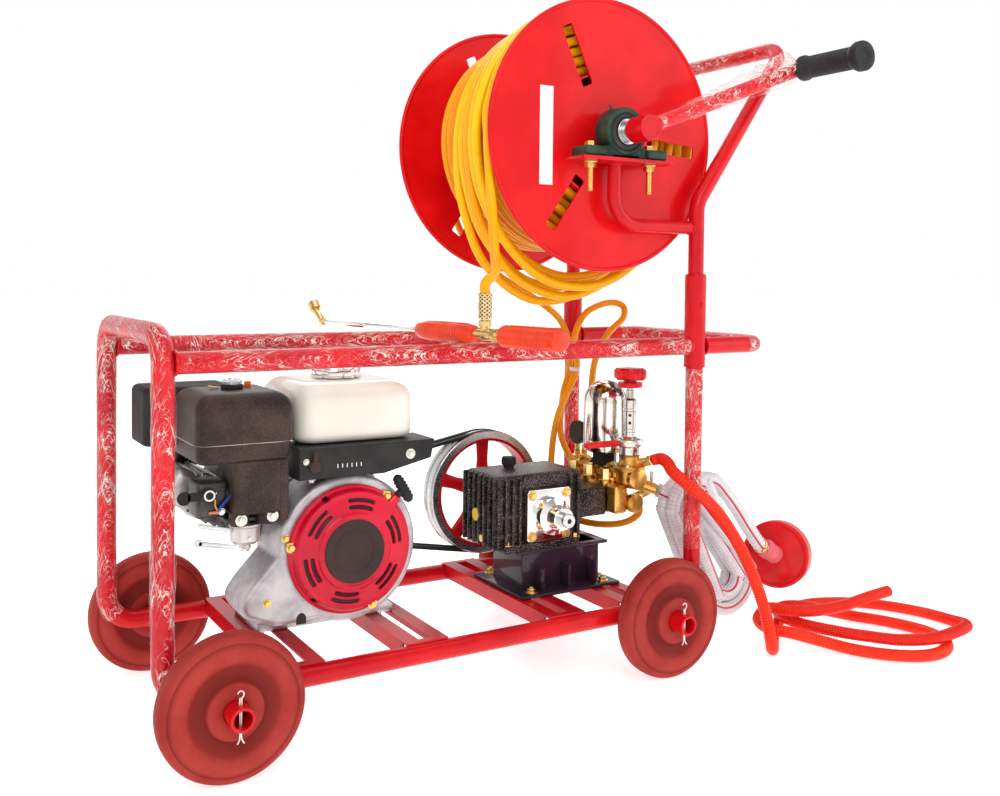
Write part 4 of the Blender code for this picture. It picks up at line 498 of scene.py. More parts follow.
for name, lamp in lights.items():
    data = bpy.data.lights.new(name, "AREA")
    data.size, data.energy, data.color = lamp["size"], lamp["watts"], lamp["tint"]
    soft = bpy.data.objects.new(name, data)
    soft.location = lamp["at"]
    way = np.array(studio["aim"]) - lamp["at"]
    soft.rotation_euler = (math.acos(-unit(way)[2]), 0, math.atan2(way[1], way[0]) - math.pi / 2)
    bpy.context.scene.collection.objects.link(soft)

sky = bpy.data.worlds.new("studio")
sky.use_nodes = True
nodes, links = sky.node_tree.nodes, sky.node_tree.links
place = nodes.new("ShaderNodeTexCoord")
height = nodes.new("ShaderNodeSeparateXYZ")
links.new(place.outputs["Generated"], height.inputs[0])
span = nodes.new("ShaderNodeMapRange")
for spot, key in enumerate(("skyFrom", "skyTo", "lowGlow", "highGlow"), 1):
    span.inputs[spot].default_value = studio[key]
links.new(height.outputs[2], span.inputs[0])
air = nodes["Background"]
air.inputs["Color"].default_value = (1, 1, 1, 1)
links.new(span.outputs[0], air.inputs["Strength"])
bpy.context.scene.world = sky

floorPaint = Finish("paleFloor", "", (studio["floorShade"],) * 3, 0.9, Emission_Color=(1, 1, 1, 1),
    Emission_Strength=studio["floorGlow"])
floorMesh = bpy.data.meshes.new("floor")
half, low = studio["floorHalf"], studio["floorZ"]
floorMesh.from_pydata([(-half, -half, low), (half, -half, low), (half, half, low), (-half, half, low)], [],
    [(0, 1, 2, 3)])
floorMesh.materials.append(floorPaint.material)
floor = bpy.data.objects.new("floor", floorMesh)
bpy.context.scene.collection.objects.link(floor)
print("camera, lights and floor set")


# hoses
def hoseFinish(name, slot, colour, deep, roughness=0.3, ribs=0.0, coat=0.5):
    made = Finish(name, slot, colour, roughness, 0.0, Coat_Weight=coat, Coat_Roughness=0.12)
    lay = made.node("Attribute", {"attribute_name": "lay"}, out=1)
    along = made.apart(lay, 2)
    drift = made.noise(1.1, 2, 0.5, made.node("CombineXYZ", None, along, 0.0, 0.0))
    clouds = made.noise(38, 4, 0.6)
    body = made.blend(drift.between(0.35, 0.65), colour, deep)
    made.wire(Base_Color=made.blend(clouds.between(0.5, 0.8) * 0.35, body, deep))
    made.wire(Roughness=roughness + 0.2 * (clouds - 0.4))
    height = made.noise(300, 2)
    if ribs:
        height = height * 0.2 + (along * (2 * math.pi / ribs)).sine()
    return made.bumps(height, 0.15, 0.0004)


hoseYellow = hoseFinish("hoseYellow", "hose_yellow", (0.9, 0.44, 0.0), (0.78, 0.24, 0.0), 0.26, coat=0.15)
tailYellow = hoseFinish("tailYellow", "hose_yellow", (0.98, 0.58, 0.0), (0.88, 0.36, 0.0), 0.24, coat=0.2)
feedAmber = hoseFinish("feedAmber", "hose_yellow", (0.88, 0.34, 0.0), (0.72, 0.2, 0.0), 0.26, coat=0.15)
returnOrange = hoseFinish("returnOrange", "return_orange", (0.86, 0.03, 0.004), (0.72, 0.012, 0.003), 0.34,
    coat=0.15)

clearHose = Finish("clearRibbed", "clear_pvc", (0.7, 0.7, 0.74), 0.22, 0.0, Coat_Weight=0.8,
    Coat_Roughness=0.08)
lay = clearHose.node("Attribute", {"attribute_name": "lay"}, out=1)
turnRound = sums("ARCTAN2", clearHose.apart(lay, 1), clearHose.apart(lay, 0))
alongIt = clearHose.apart(lay, 2)
threads = (turnRound * 10).sine().between(0.75, 0.98) * 0.35
hoops = (alongIt * (2 * math.pi / 0.006)).sine()
tracer = (turnRound + 1.2).sine().between(0.985, 0.995)
second = (turnRound - 1.6).sine().between(0.985, 0.995)
cloudy = clearHose.noise(30, 4)
body = clearHose.blend(cloudy.between(0.3, 0.7), (0.66, 0.65, 0.68), (0.8, 0.8, 0.83))
body = clearHose.blend(threads + hoops.between(0.1, 0.9) * 0.3, body, (0.4, 0.39, 0.43))
body = clearHose.blend(tracer, body, (0.55, 0.02, 0.03))
clearHose.wire(Base_Color=clearHose.blend(second, body, (0.06, 0.1, 0.45)), Roughness=0.18 + 0.25 * cloudy)
clearHose.bumps(hoops + 0.3 * cloudy, 0.2, 0.0004)

reelAt = {"x": 0.655, "z": 0.912}
hose = {"radius": 0.0078, "layers": (0.1135, 0.1306, 0.1477, 0.1648, 0.183), "turns": (10, 10, 11, 11, 12)}
hose |= {"fromY": 0.0735, "toY": -0.1395}


def onReel(radius, degrees, y):  # a point round the reel's shaft
    turn = np.radians(degrees)
    return np.stack(np.broadcast_arrays(reelAt["x"] + radius * np.cos(turn), y,
        reelAt["z"] + radius * np.sin(turn)), -1)


def woundRoute():  # each layer crosses the drum, then climbs on to itself and comes back
    radii, sides, turns = [], [], []
    for k, (radius, count) in enumerate(zip(hose["layers"], hose["turns"])):
        share = np.linspace(0, 1, count * (60 if k == 4 else 34), endpoint=False)
        after = hose["layers"][min(k + 1, 4)]
        climb = np.clip((share * count - count + 0.35) / 0.35, 0, 1)
        radii.append(radius + (after - radius) * climb**2 * (3 - 2 * climb))
        first, last = (hose["fromY"], hose["toY"]) if k % 2 == 0 else (hose["toY"], hose["fromY"])
        cross = np.clip(share * count / (count - 0.6), 0, 1)
        sides.append(first + (last - first) * cross)
        turns.append(sum(hose["turns"][:k]) + share * count)
    radii, sides, turns = (np.concatenate(v) for v in (radii, sides, turns))
    degrees = 62 + 360 * (turns - sum(hose["turns"]))
    edge = np.clip(np.minimum(hose["fromY"] - sides, sides - hose["toY"]) / 0.03, 0, 1)
    sides = sides + edge * 0.0035 * np.sin(np.radians(degrees + 40 * np.sin(turns * 0.8)))
    radii = radii + 0.0012 * np.sin(np.radians(degrees * 2) + turns * 1.7) * edge
    top = turns > sum(hose["turns"]) - 0.35
    lift = np.clip((turns[top] - turns[top][0]) / 0.33, 0, 1)
    radii[top] += (0.2009 - radii[top]) * lift**2 * (3 - 2 * lift)
    sides[top] += (loose["topY"] - sides[top]) * lift**2 * (3 - 2 * lift)
    return onReel(radii, degrees, sides)


gunLine = {"x": 0.372, "y": -0.187, "z": 0.5868, "yaw": 8.6}


def onGun(station, rise=0.0):  # a point on the gun's axis, from where it crosses the left rail
    turn = math.radians(gunLine["yaw"])
    return np.array([gunLine["x"] - station * math.sin(turn), gunLine["y"] + station * math.cos(turn),
        gunLine["z"] + rise])


loose = {"start": (0.2009, 62), "second": (0.202, 66), "end": 1970, "points": 76, "topY": -0.052,
    "pitch": 0.0164}
loose |= {"radius": 0.204, "rise": 0.0027, "loops": ((-0.005, 0.078), (-0.03, 0.05), (-0.053, 0.062),
    (-0.074, 0.025), (-0.094, 0.04))}


# slack turns side by side over the top, hanging between the discs, then the drop to the gun
def looseTurns():
    route = [onReel(*loose["start"], loose["topY"]), onReel(*loose["second"], loose["topY"])]
    for index in range(1, loose["points"] + 1):
        turn = (loose["end"] - loose["start"][1]) / 360 * index / loose["points"]
        angle = loose["start"][1] + 360 * turn
        lowY, sag = loose["loops"][min(int(turn), 4)]
        topY = loose["topY"] - loose["pitch"] * turn
        low = 0.0 if turn >= 5 else 0.5 - 0.5 * math.cos(math.tau * turn)
        hang = max(0.0, math.cos(math.radians(angle - 265))) ** 3 * (low > 0)
        radius = loose["radius"] + loose["rise"] * turn + sag * hang
        route.append(onReel(radius, angle, topY + (lowY - topY) * low))
    return route


drop = [
    (-0.2165, -0.139, -0.012), (-0.2145, -0.141, -0.062), (-0.2135, -0.147, -0.112),
    (-0.221, -0.166, -0.157), (-0.233, -0.192, -0.2), (-0.25, -0.224, -0.23),
]
ferrule = {"station": -0.051, "top": 0.062}
looseRoute = looseTurns()
looseRoute += [np.array([reelAt["x"] + x, y, reelAt["z"] + z]) for x, y, z in drop]
looseRoute += [onGun(ferrule["station"], ferrule["top"] + 0.015),
    onGun(ferrule["station"], ferrule["top"] + 0.0003)]


def hosePiece(name, path, radius, sides, finish, body, stands, ribs=None, caps=True):
    size = np.full(len(path), radius)
    if ribs:
        along = np.concatenate([[0], np.cumsum(np.linalg.norm(np.diff(path, axis=0), axis=1))])
        size = radius - ribs["deep"] * (0.5 - 0.5 * np.cos(2 * math.pi * along / ribs["pitch"])) ** 0.7
    return make(name, sweep(path, size, sides, caps), finish, body, stands, 50, hoseMarks(path, sides))


def lengthOf(path):
    return float(np.linalg.norm(np.diff(path, axis=0), axis=1).sum())


woundPath = woundRoute()
woundHose = hosePiece("woundHose", woundPath, hose["radius"], 12, hoseYellow, "reel", ("hose_winding",))
loosePath = flowing(looseRoute, 0.008)
looseHose = hosePiece("looseHose", loosePath, hose["radius"], 16, tailYellow, "trolley", ("hose_tail",))
print("reel hose", round(lengthOf(woundPath), 2), "m wound and", round(lengthOf(loosePath), 2), "m loose")

returnRoute = [
    (0.8132, -0.1041, 0.3424), (0.8238, -0.1156, 0.3455), (0.81, -0.15, 0.3443),
    (0.799, -0.178, 0.3343), (0.802, -0.212, 0.318), (0.828, -0.231, 0.292), (0.872, -0.235, 0.246),
    (0.922, -0.238, 0.172),
    (0.952, -0.25, 0.09), (0.957, -0.263, 0.035), (0.975, -0.25, 0.0125), (1.027, -0.2, 0.012),
    (1.094, -0.147, 0.012), (1.175, -0.104, 0.012), (1.245, -0.098, 0.012), (1.317, -0.132, 0.012),
    (1.364, -0.184, 0.012), (1.392, -0.248, 0.012), (1.394, -0.308, 0.014), (1.368, -0.36, 0.024),
    (1.312, -0.392, 0.0345), (1.23, -0.4, 0.0345), (1.165, -0.378, 0.0345), (1.125, -0.332, 0.0345),
    (1.096, -0.285, 0.0345), (1.074, -0.231, 0.0345), (1.073, -0.182, 0.0345), (1.092, -0.148, 0.0345),
    (1.127, -0.134, 0.0345), (1.165, -0.148, 0.032), (1.213, -0.168, 0.02), (1.25, -0.192, 0.012),
    (1.276, -0.238, 0.012), (1.294, -0.286, 0.012), (1.299, -0.334, 0.012), (1.28, -0.382, 0.012),
    (1.237, -0.409, 0.012), (1.186, -0.408, 0.012), (1.139, -0.378, 0.012), (1.101, -0.325, 0.012),
    (1.06, -0.279, 0.022), (1.018, -0.252, 0.0345), (0.997, -0.216, 0.036), (1.008, -0.18, 0.042),
    (1.038, -0.178, 0.056), (1.058, -0.215, 0.0585), (1.095, -0.238, 0.059), (1.16, -0.245, 0.06),
    (1.232, -0.245, 0.066), (1.292, -0.242, 0.068),
]
returnPath = flowing(returnRoute, 0.0013)
returnHose = hosePiece("returnHose", returnPath, 0.0112, 14, returnOrange, "trolley", ("return_hose",),
    {"deep": 0.0012, "pitch": 0.0052})

hank = {"top": (0.886, 0.255), "topR": 0.06, "foot": (0.968, 0.112), "footR": 0.072, "hose": 0.0138}
hank |= {"laps": ((0.042, -0.1065), (0.042, -0.1335), (0.0142, -0.1335), (0.0142, -0.1065))}


def hankRoute():  # laps round two centres, first the inner ones, then out over the top to the strainer
    top, foot = np.array(hank["top"]), np.array(hank["foot"])
    lean = math.atan2(*(top - foot)[::-1])
    points = [(0.828, -0.104, 0.2855), (0.85, -0.111, 0.2763), (0.882, -0.109, 0.27)]
    for deep, y in hank["laps"]:
        for centre, size, first in ((foot, hank["footR"], lean - math.pi / 2),
            (top, hank["topR"], lean + math.pi / 2)):
            turn = first - np.linspace(0.04, 0.96, 9) * math.pi
            points += [(centre[0] + (size - deep) * c, y, centre[1] + (size - deep) * s) for c,
                s in zip(np.cos(turn), np.sin(turn))]
    points = points[:-2]
    face, backward = np.array([1.1, -0.13, 0.138]), unit([-0.86, -0.12, 0.5])
    points += [(0.95, -0.113, 0.296), (0.98, -0.118, 0.268), (1.006, -0.121, 0.236), (1.03, -0.124, 0.202)]
    return [*points, face + backward * 0.058, face + backward * 0.044]


suctionPath = flowing(hankRoute(), 0.002)
suctionHose = hosePiece(
    "suctionHose", suctionPath, hank["hose"], 20, clearHose, "trolley", ("suction_hank", "suction_hose"),
    {"deep": 0.0009, "pitch": 0.006}
)
print("return hose", round(lengthOf(returnPath), 2), "m, suction hose", round(lengthOf(suctionPath), 2), "m")


# trolley: tubes, sockets, stub axles and wheels
trolley = {"tube": 0.015, "railY": 0.187, "wheelR": 0.1, "base": 0.7485, "bend": 0.048}
trolley |= {"low": 0.103, "high": 0.555, "hoop": 0.592, "front": -0.079, "rear": 0.836, "loop": 0.166}
trolley |= {"socket": 0.0185, "socketFrom": 0.52, "socketTo": 0.68, "handleTube": 0.0135, "handleBend": 0.805}
trolley |= {"handleTop": (1.044, 1.102), "stub": 0.0165, "stubBore": 0.0125, "stubTip": 0.2835,
    "wheelY": 0.231}
t = trolley
railY, jointX = t["railY"], t["front"] + t["bend"] + 0.005


def tubeAlong(corners, radius, bend=t["bend"], sides=28):
    return sweep(roundedPath(corners, bend), radius, sides)


def weld(centre, radius, along, thick=0.0022):  # a bead of weld round a joint
    turn = np.linspace(0, 2 * math.pi, 49)
    side = unit(np.cross(along, up if abs(along[2]) < 0.9 else right))
    ring = np.cos(turn)[:, None] * side + np.sin(turn)[:, None] * np.cross(along, side)
    bead = thick * (0.8 + 0.35 * np.sin(turn * 19) ** 2)
    return sweep(np.asarray(centre) + ring * radius, bead, 8)


hoopSide = [(jointX, -railY, t["low"]), (t["front"], -railY, t["low"]), (t["front"], -railY, t["hoop"])]
hoopLine = roundedPath([*hoopSide, *[(x, -y, z) for x, y, z in hoopSide[::-1]]], t["bend"])
make("frontHoop", sweep(hoopLine, t["tube"], 28), frameRed, stands=("front_hoop",))

sidePost = [(jointX + 0.0003, -railY, t["low"]), (t["rear"], -railY, t["low"]),
    (t["rear"], -railY, t["high"] + 0.04)]
side = [tubeAlong(sidePost, t["tube"])]
side.append(sweep([(t["front"] + 0.0145, -railY, t["high"]), (t["rear"], -railY, t["high"])], t["tube"], 28))
rear = (t["rear"], -railY)
rim = t["socket"]
side.append(lathe([(0.0145, 0.16), (rim - 0.001, 0.16), (rim, 0.159), (rim, 0.001), (rim - 0.001, 0),
    (0.0145, 0)],
                  (*rear, t["socketFrom"]), up, 40, True))
side.append(weld((t["front"] + 0.0155, -railY, t["high"]), 0.0155, right))
side.append(weld((*rear, t["socketFrom"]), rim - 0.0016, up))
side.append(weld((*rear, t["socketTo"]), t["handleTube"] + 0.0016, up, 0.0016))
side.append(spun(stud((t["rear"], -railY - rim + 0.0008, 0.628), -back, 0.0042, 0.0035), (0, 0, 0), back, 0))
pins = []
for x in (0, t["base"]):
    wall = [(t["stubBore"], 0.0), (t["stubBore"], t["stubTip"] - railY),
        (t["stub"] - 0.0008, t["stubTip"] - railY)]
    wall += [(t["stub"], t["stubTip"] - railY - 0.0008), (t["stub"], 0.0)]
    side.append(lathe(wall, (x, -railY, t["wheelR"]), -back, 36, True))
    side.append(weld((x, -railY - t["tube"] + 0.0015, t["wheelR"]), t["stub"] + 0.0008, back, 0.0018))
    side.append(lathe([(0, 0), (0.0128, 0), (0.0128, 0.003), (0, 0.003)], (x, -railY - 0.02, t["wheelR"]),
        -back, 24))
    y, z = -t["stubTip"] + 0.012, t["wheelR"]
    for lean in (-0.0012, 0.0012):
        leg = [(x + lean, y, z + 0.026), (x + lean, y, z), (x + lean * 0.9, y, z - 0.026),
            (x + lean * 4, y - 0.001, z - 0.034)]
        pins.append(sweep(flowing(leg, 0.003), 0.0011, 10))
    turn = np.linspace(-0.6, 2 * math.pi - 2.54, 26) - 0.97
    eye = np.stack([x + 0.0042 * np.cos(turn), np.full(26, y), z + 0.0302 + 0.0046 * np.sin(turn)], -1)
    pins.append(sweep(eye, 0.0011, 10))
sideLeft, pinsLeft = joined(*side), joined(*pins)
make("sideFrameLeft", sideLeft, frameRed, stands=("side_frame_left",))
make("sideFrameRight", mirrored(sideLeft), frameRed, stands=("side_frame_right",))
make("splitPins", joined(pinsLeft, mirrored(pinsLeft)), zincPlate)

loopEnds = [(t["rear"] + rim, -railY, t["high"]), (t["rear"] + t["loop"], -railY, t["high"])]
loopLine = roundedPath([*loopEnds, *[(x, -y, z) for x, y, z in loopEnds[::-1]]], t["bend"])
loopWelds = [weld((t["rear"] + rim + 0.0005, s * railY, t["high"]), 0.0155, right) for s in (-1, 1)]
make("rearLoop", joined(sweep(loopLine, t["tube"], 28), *loopWelds), frameRed, stands=("rear_loop",))
topX, topZ = t["handleTop"]
handleLeg = [(t["rear"], -railY, 0.5955), (t["rear"], -railY, t["handleBend"]), (topX, -railY, topZ)]
handleLine = roundedPath([*handleLeg, *[(x, -y, z) for x, y, z in handleLeg[::-1]]], t["bend"])
make("pushHandle", sweep(handleLine, t["handleTube"], 28), frameRed, stands=("push_handle",))

wheel = {"sides": 120}
face = [(0.0171, 0.0215), (0.018, 0.0225), (0.0368, 0.0225), (0.0385, 0.0212), (0.04, 0.0165),
    (0.0425, 0.0138)]
face += [(0.047, 0.0126), (0.053, 0.0124), (0.0575, 0.0136), (0.0608, 0.0166), (0.0645, 0.0192),
    (0.0695, 0.0206)]
face += [(0.0755, 0.0208), (0.0815, 0.02), (0.0862, 0.0182), (0.0878, 0.0168), (0.0885, 0.0168),
    (0.0893, 0.0177)]
face += [(0.0925, 0.0172), (0.0955, 0.0156), (0.098, 0.0128), (0.0994, 0.009), (0.0999, 0.0046),
    (0.0999, 0.0009), (0.0994, 0.0)]
face = np.array(face)
face = np.concatenate([face, (face[:-1] * [1, -1])[::-1]])
# painted shade: the tyre's concave well and the groove by the tread are marked to be darkened
wellShade = np.interp(face[:, 0], (0.036, 0.041, 0.055, 0.066, 0.085, 0.0875, 0.0895, 0.093),
    (0, 0.9, 0.75, 0, 0, 0.8, 0, 0.15))
wheelShadeMarks = np.repeat(np.outer(wellShade, (1, 0, 0)), wheel["sides"], axis=0)
# the rubber turns deep red where marked, as painted shade
tyre = shadedInHollows(tyreMaroon, (0.15, 0.010, 0.008))
for name, x, s in (("FrontLeft", 0, -1), ("RearLeft", t["base"], -1), ("FrontRight", 0, 1),
    ("RearRight", t["base"], 1)):
    body = "wheel_" + {"FrontLeft": "front_left", "RearLeft": "rear_left", "FrontRight": "front_right",
        "RearRight": "rear_right"}[name]
    make("wheel" + name, lathe(face, (x, s * t["wheelY"], t["wheelR"]), back, wheel["sides"], True), tyre,
        body, (body,), 60, wheelShadeMarks)
print("trolley built")

for name in ("engine_bearer_front", "engine_bearer_rear", "pump_bearer_front", "pump_bearer_rear"):
    part["nodes"][name].material_slots[0].material = bearerRed.material


# clear film wound round the tubes
film = Finish("clearFilm", "clear_pvc", (0.93, 0.8, 0.8), 0.15, 0.0, Coat_Weight=0.3, Coat_Roughness=0.1)
lay = film.node("Attribute", {"attribute_name": "lay"}, out=1)
cosine, sine, along = (film.apart(lay, k) for k in range(3))
# white hairlines along the film's creases, painted as highlights
creaseHighlights = []
for shear, pitch, other, power in ((5.5, 60, 0.5, 40), (-6.5, 46, 0.6, 50), (2.4, 90, 1.2, 34)):
    where = film.node("CombineXYZ", None, along * pitch + cosine * shear, sine * other,
        cosine * other + shear)
    lines = film.noise(1.0, 2, 0.55, where, 0.4)
    creaseHighlights.append((1 - sums("ABSOLUTE", lines * 2 - 1)) ** power)
patches, paintedSheen = film.noise(14, 4, 0.6).between(0.42, 0.6), film.noise(5, 3, 0.6,
    film.spot((1, 1, 0.4))).between(0.45, 0.7)
paintedHighlight = sums("MAXIMUM", creaseHighlights[0], creaseHighlights[1] * 0.9) * (0.35 + 0.65 * patches) + creaseHighlights[2] * patches * 0.5
# the film shows mainly as these painted highlights, with a faint painted pink sheen between them
film.wire(Alpha=paintedHighlight.between(0.02, 0.9, 0.0, 0.92) + 0.02 + 0.09 * paintedSheen)
film.wire(Base_Color=film.blend(paintedHighlight.between(0.05, 0.5), (0.92, 0.22, 0.3), (1.0, 0.9, 0.8)))
film.bumps(creaseHighlights[0] + creaseHighlights[1] + 0.5 * creaseHighlights[2], 0.5, 0.0015)


# creased film round a tube
def wrapped(name, path, radius, body="trolley", crease=0.0011, sides=40, step=0.004):
    path = densified(path, step)
    along = np.arange(len(path))[:, None] * step
    turn = np.arange(sides)[None] * 2 * math.pi / sides
    folds = np.zeros((len(path), sides))
    for lobes, twist, share in ((2, 21, 0.5), (3, -34, 0.35), (5, 55, 0.25), (7, -80, 0.15), (1, 9, 0.45)):
        phase, sway = chance.uniform(0, 6.28), chance.uniform(4, 9)
        folds += share * np.abs(np.sin(0.5 * (lobes * turn + twist * along + 2 * np.sin(sway * along + phase) + phase))) ** 6
    size = radius + 0.0005 + crease * folds
    shape = sweep(path, size, sides, False)
    return make(name, shape, film, body, (), 180, hoseMarks(path, sides))


wrapped("filmHoop", hoopLine[6:-6], t["tube"], crease=0.0022)
for side, s in (("Left", -1), ("Right", 1)):
    y = s * railY
    wrapped("filmTopRail" + side, [(t["front"] + 0.02, y, t["high"]), (t["rear"] - 0.02, y, t["high"])],
        t["tube"])
    wrapped("filmRearPost" + side, [(t["rear"], y, 0.2), (t["rear"], y, 0.515)], t["tube"])
    line = handleLine[handleLine[:, 1] * s > 0.1]
    line = line[line[:, 2] > 0.86]
    wrapped("filmHandleLeg" + side, line, t["handleTube"])
wrapped("filmHandleBar", handleLine[(handleLine[:, 2] > 1.095)], t["handleTube"])
wrapped("filmRearLoop", loopLine[1:-1], t["tube"])
corner = []
for share in np.linspace(0, 1, 24):  # a web of film from the hoop's shoulder to the rail
    top = np.array([t["front"] + 0.012 + 0.1 * share, -railY - 0.004 + 0.055 * share,
        t["hoop"] + 0.01 - 0.034 * share**1.5])
    end = np.array([t["front"] + 0.018 + 0.13 * share, -railY - 0.015 * (1 - share),
        t["high"] - 0.016 + 0.018 * share])
    corner.append([top + (end - top) * k + [0, 0.002 * math.sin(9 * share + 5 * k), 0]
        for k in np.linspace(0, 1, 12)])
corner = np.array(corner)
marks = np.stack(np.broadcast_arrays(np.linspace(-1, 1, 24)[:, None], np.linspace(1, -1, 12)[None],
    np.linspace(0, 0.1, 24)[:, None]), -1)
make("filmCorner", (corner.reshape(-1, 3), weave(24, 12, False)), film, "trolley", (), 180,
    marks.reshape(-1, 3))
print("tubes wrapped")


# hose reel: discs, drum, shaft, bearings, brackets and crank
reel = {"disc": 0.229, "thick": 0.003, "discY": 0.16, "rim": 0.004, "slotFrom": 0.089, "slotTo": 0.193,
    "slotH": 0.021}
reel |= {"slots": (115, 235, 355), "drum": 0.105, "shaft": 0.015, "blockY": 0.202, "blockH": 0.043,
    "plateZ": 0.8687}
shaftAt = np.array([reelAt["x"], 0, reelAt["z"]])


def discPlate(s):  # a flat plate with three slots, made as a filled outline with some thickness
    outline = bpy.data.curves.new("disc", "CURVE")
    outline.dimensions, outline.fill_mode, outline.extrude = "2D", "BOTH", reel["thick"] / 2
    turn = np.linspace(0, 2 * math.pi, 161)[:-1]
    rings = [np.stack([r * np.cos(turn), r * np.sin(turn)], -1)
        for r in (reel["disc"] - reel["rim"], reel["shaft"] + 0.0004)]
    low, high, tall, soft = reel["slotFrom"], reel["slotTo"], reel["slotH"] / 2, 0.003
    bend = np.linspace(0, math.pi / 2, 5)
    corners = [(high - soft, tall - soft, 0), (low + soft, tall - soft, 1), (low + soft, -tall + soft, 2),
        (high - soft, -tall + soft, 3)]
    slot = np.array([(x + soft * math.cos(b + q * math.pi / 2), y + soft * math.sin(b + q * math.pi / 2))
        for x, y, q in corners for b in bend])
    for degrees in reel["slots"]:
        c, q = math.cos(math.radians(degrees)), math.sin(math.radians(degrees))
        rings.append(slot @ np.array([[c, q], [-q, c]]))
    for ring in rings:
        line = outline.splines.new("POLY")
        line.points.add(len(ring) - 1)
        line.points.foreach_set("co", np.column_stack([ring, 0 * ring, ])[:, :4].ravel())
        line.use_cyclic_u = True
    cutOut = bpy.data.objects.new("disc", outline)
    mesh = bpy.data.meshes.new_from_object(cutOut)
    bpy.data.objects.remove(cutOut)
    points = np.array([v.co for v in mesh.vertices])
    faces = [list(p.vertices) for p in mesh.polygons]
    flat = np.stack([points[:, 0], points[:, 2], points[:, 1]], -1) + shaftAt + [0, s * reel["discY"], 0]
    turn = np.linspace(0, 2 * math.pi, 13)[:-1]
    edge = [(reel["disc"] - reel["rim"] + reel["rim"] * math.cos(a), reel["rim"] * math.sin(a)) for a in turn]
    rolled = lathe(edge, shaftAt + [0, s * reel["discY"], 0], back, 160, True)
    collar = weld(shaftAt + [0, s * (reel["discY"] + 0.002), 0], reel["shaft"] + 0.002, back, 0.0026)
    return joined((flat, faces), rolled, collar)


make("discLeft", discPlate(-1), reelRed, "reel", ("reel_disc_left",))
make("discRight", discPlate(1), reelRed, "reel", ("reel_disc_right",))
wall = [(reel["drum"], 0.1579), (reel["drum"], -0.1579), (reel["drum"] - 0.003, -0.1579),
    (reel["drum"] - 0.003, 0.1579)]
make("drum", lathe(wall, shaftAt, back, 120, True), reelRed, "reel", ("reel_drum",))

labelWhite = moulded("labelWhite", "reel_red", (0.86, 0.86, 0.84), (0.78, 0.78, 0.76), 0.4, 600, 0.05)
labels = [slab((-0.1325, -0.1622, 0.915), (-0.107, -0.1615, 1.075), 0.0002, 1)]
labels = [shifted(labels[0], (reelAt["x"], 0, -0.091))]
make("discLabel", joined(*labels), labelWhite, "reel")

shaftEnds = (-0.279, 0.2324)
made = [rod((reelAt["x"], shaftEnds[0], reelAt["z"]), (reelAt["x"], shaftEnds[1], reelAt["z"]), reel["shaft"],
    40, 0.001)]
for s in (-1, 1):
    at = shaftAt + [0, s * reel["blockY"], 0]
    made.append(lathe([(0.0155, -0.0224), (0.0205, -0.0224), (0.021, -0.0219), (0.021, 0.0219),
        (0.0205, 0.0224), (0.0155, 0.0224)], at, back, 48, True))
    made.append(stud(at + [0.0135, -0.0155 * 1, 0.0148], (0.7, 0, 0.72), 0.0028, 0.002))
    inside = s * (0.1579 - 0.001)
    made.append(rod((reelAt["x"], inside, reelAt["z"]), (reelAt["x"], inside - s * 0.028, reelAt["z"]), 0.034,
        40))
make("reelShaft", joined(*made), steelTurned, "reel", ("reel_shaft",))


def pillowBlock(s):  # a cast housing on a slotted foot, with its grease nipple
    y = s * reel["blockY"]
    foot = 0.0165
    turn = np.linspace(-0.62, math.pi + 0.62, 40)
    dome = np.stack([0.0405 * np.cos(turn), reel["blockH"] + 0.0405 * np.sin(turn)], -1)
    base = [(-0.05, 0.012), (-0.082, 0.0135), (-0.0825, 0.001), (-0.03, 0.0), (-0.024, 0.004), (0.024, 0.004),
        (0.03, 0.0)]
    base += [(0.0825, 0.001), (0.082, 0.0135), (0.05, 0.012)]
    outline = np.concatenate([dome, [(-0.0455, 0.017)], base, [(0.0455, 0.017)]])
    spot = np.array([reelAt["x"], 0, reel["plateZ"] + 0.0006])
    shell = prism(outline, y - 0.0165, y + 0.0165, 0.002, 2)
    made = [shifted(shell, spot)]
    for side in (-1, 1):
        ear = slab((side * 0.062 - 0.0205, y - 0.023, 0.0006), (side * 0.062 + 0.0205, y + 0.023, foot),
            0.0045, 3)
        made.append(shifted(ear, spot))
    for k in (-1, 1):
        lip = [(0.03, 0.0), (0.0385, 0.0), (0.0385, 0.001), (0.0365, 0.0026), (0.032, 0.0026),
            (0.0305, 0.0012)]
        made.append(lathe([(r, k * (0.0158 + h)) for r, h in lip], (reelAt["x"], y, reelAt["z"]), back, 64,
            True))
    made.append(stud((reelAt["x"] - 0.018, y, reelAt["z"] + 0.0355), (-0.42, 0, 0.9), 0.0038, 0.004, 0,
        0.006))
    return joined(*made)


def bearingRing(s):  # the outer race and its seal, just proud of the housing
    made = []
    for k in (-1, 1):
        y = s * reel["blockY"] + k * 0.0165
        made.append(lathe([(0.0216, 0), (0.03, 0), (0.03, k * 0.0012), (0.028, k * 0.0021),
            (0.0235, k * 0.0021), (0.0216, k * 0.001)],
                          (reelAt["x"], y, reelAt["z"]), back, 64, True))
        turn = np.linspace(0, 2 * math.pi, 241)
        ring = np.stack([reelAt["x"] + (0.0292 + 0.0005 * np.sin(turn * 30)) * np.cos(turn),
            np.full(241, y + k * 0.0018),
                         reelAt["z"] + (0.0292 + 0.0005 * np.sin(turn * 30)) * np.sin(turn)], -1)
        made.append(sweep(ring, 0.0006, 6))
    return joined(*made)


def reelBolts(s):
    made = []
    for k in (-1, 1):
        x, y = reelAt["x"] + k * 0.0605, s * reel["blockY"]
        seat = reel["plateZ"] + 0.0165
        made.append(stud((x, y, seat), up, 0.0095, 0.007, 0.012))
        made.append(stud((x, y, reel["plateZ"] - 0.0066), -up, 0.0095, 0.0085, 0.0125))
        thread = densified([(x, y, seat), (x, y, seat - 0.0715)], 0.0005)
        made.append(sweep(thread, 0.0049 - 0.0004 * (np.arange(len(thread)) % 3 == 0), 16))
    return joined(*made)


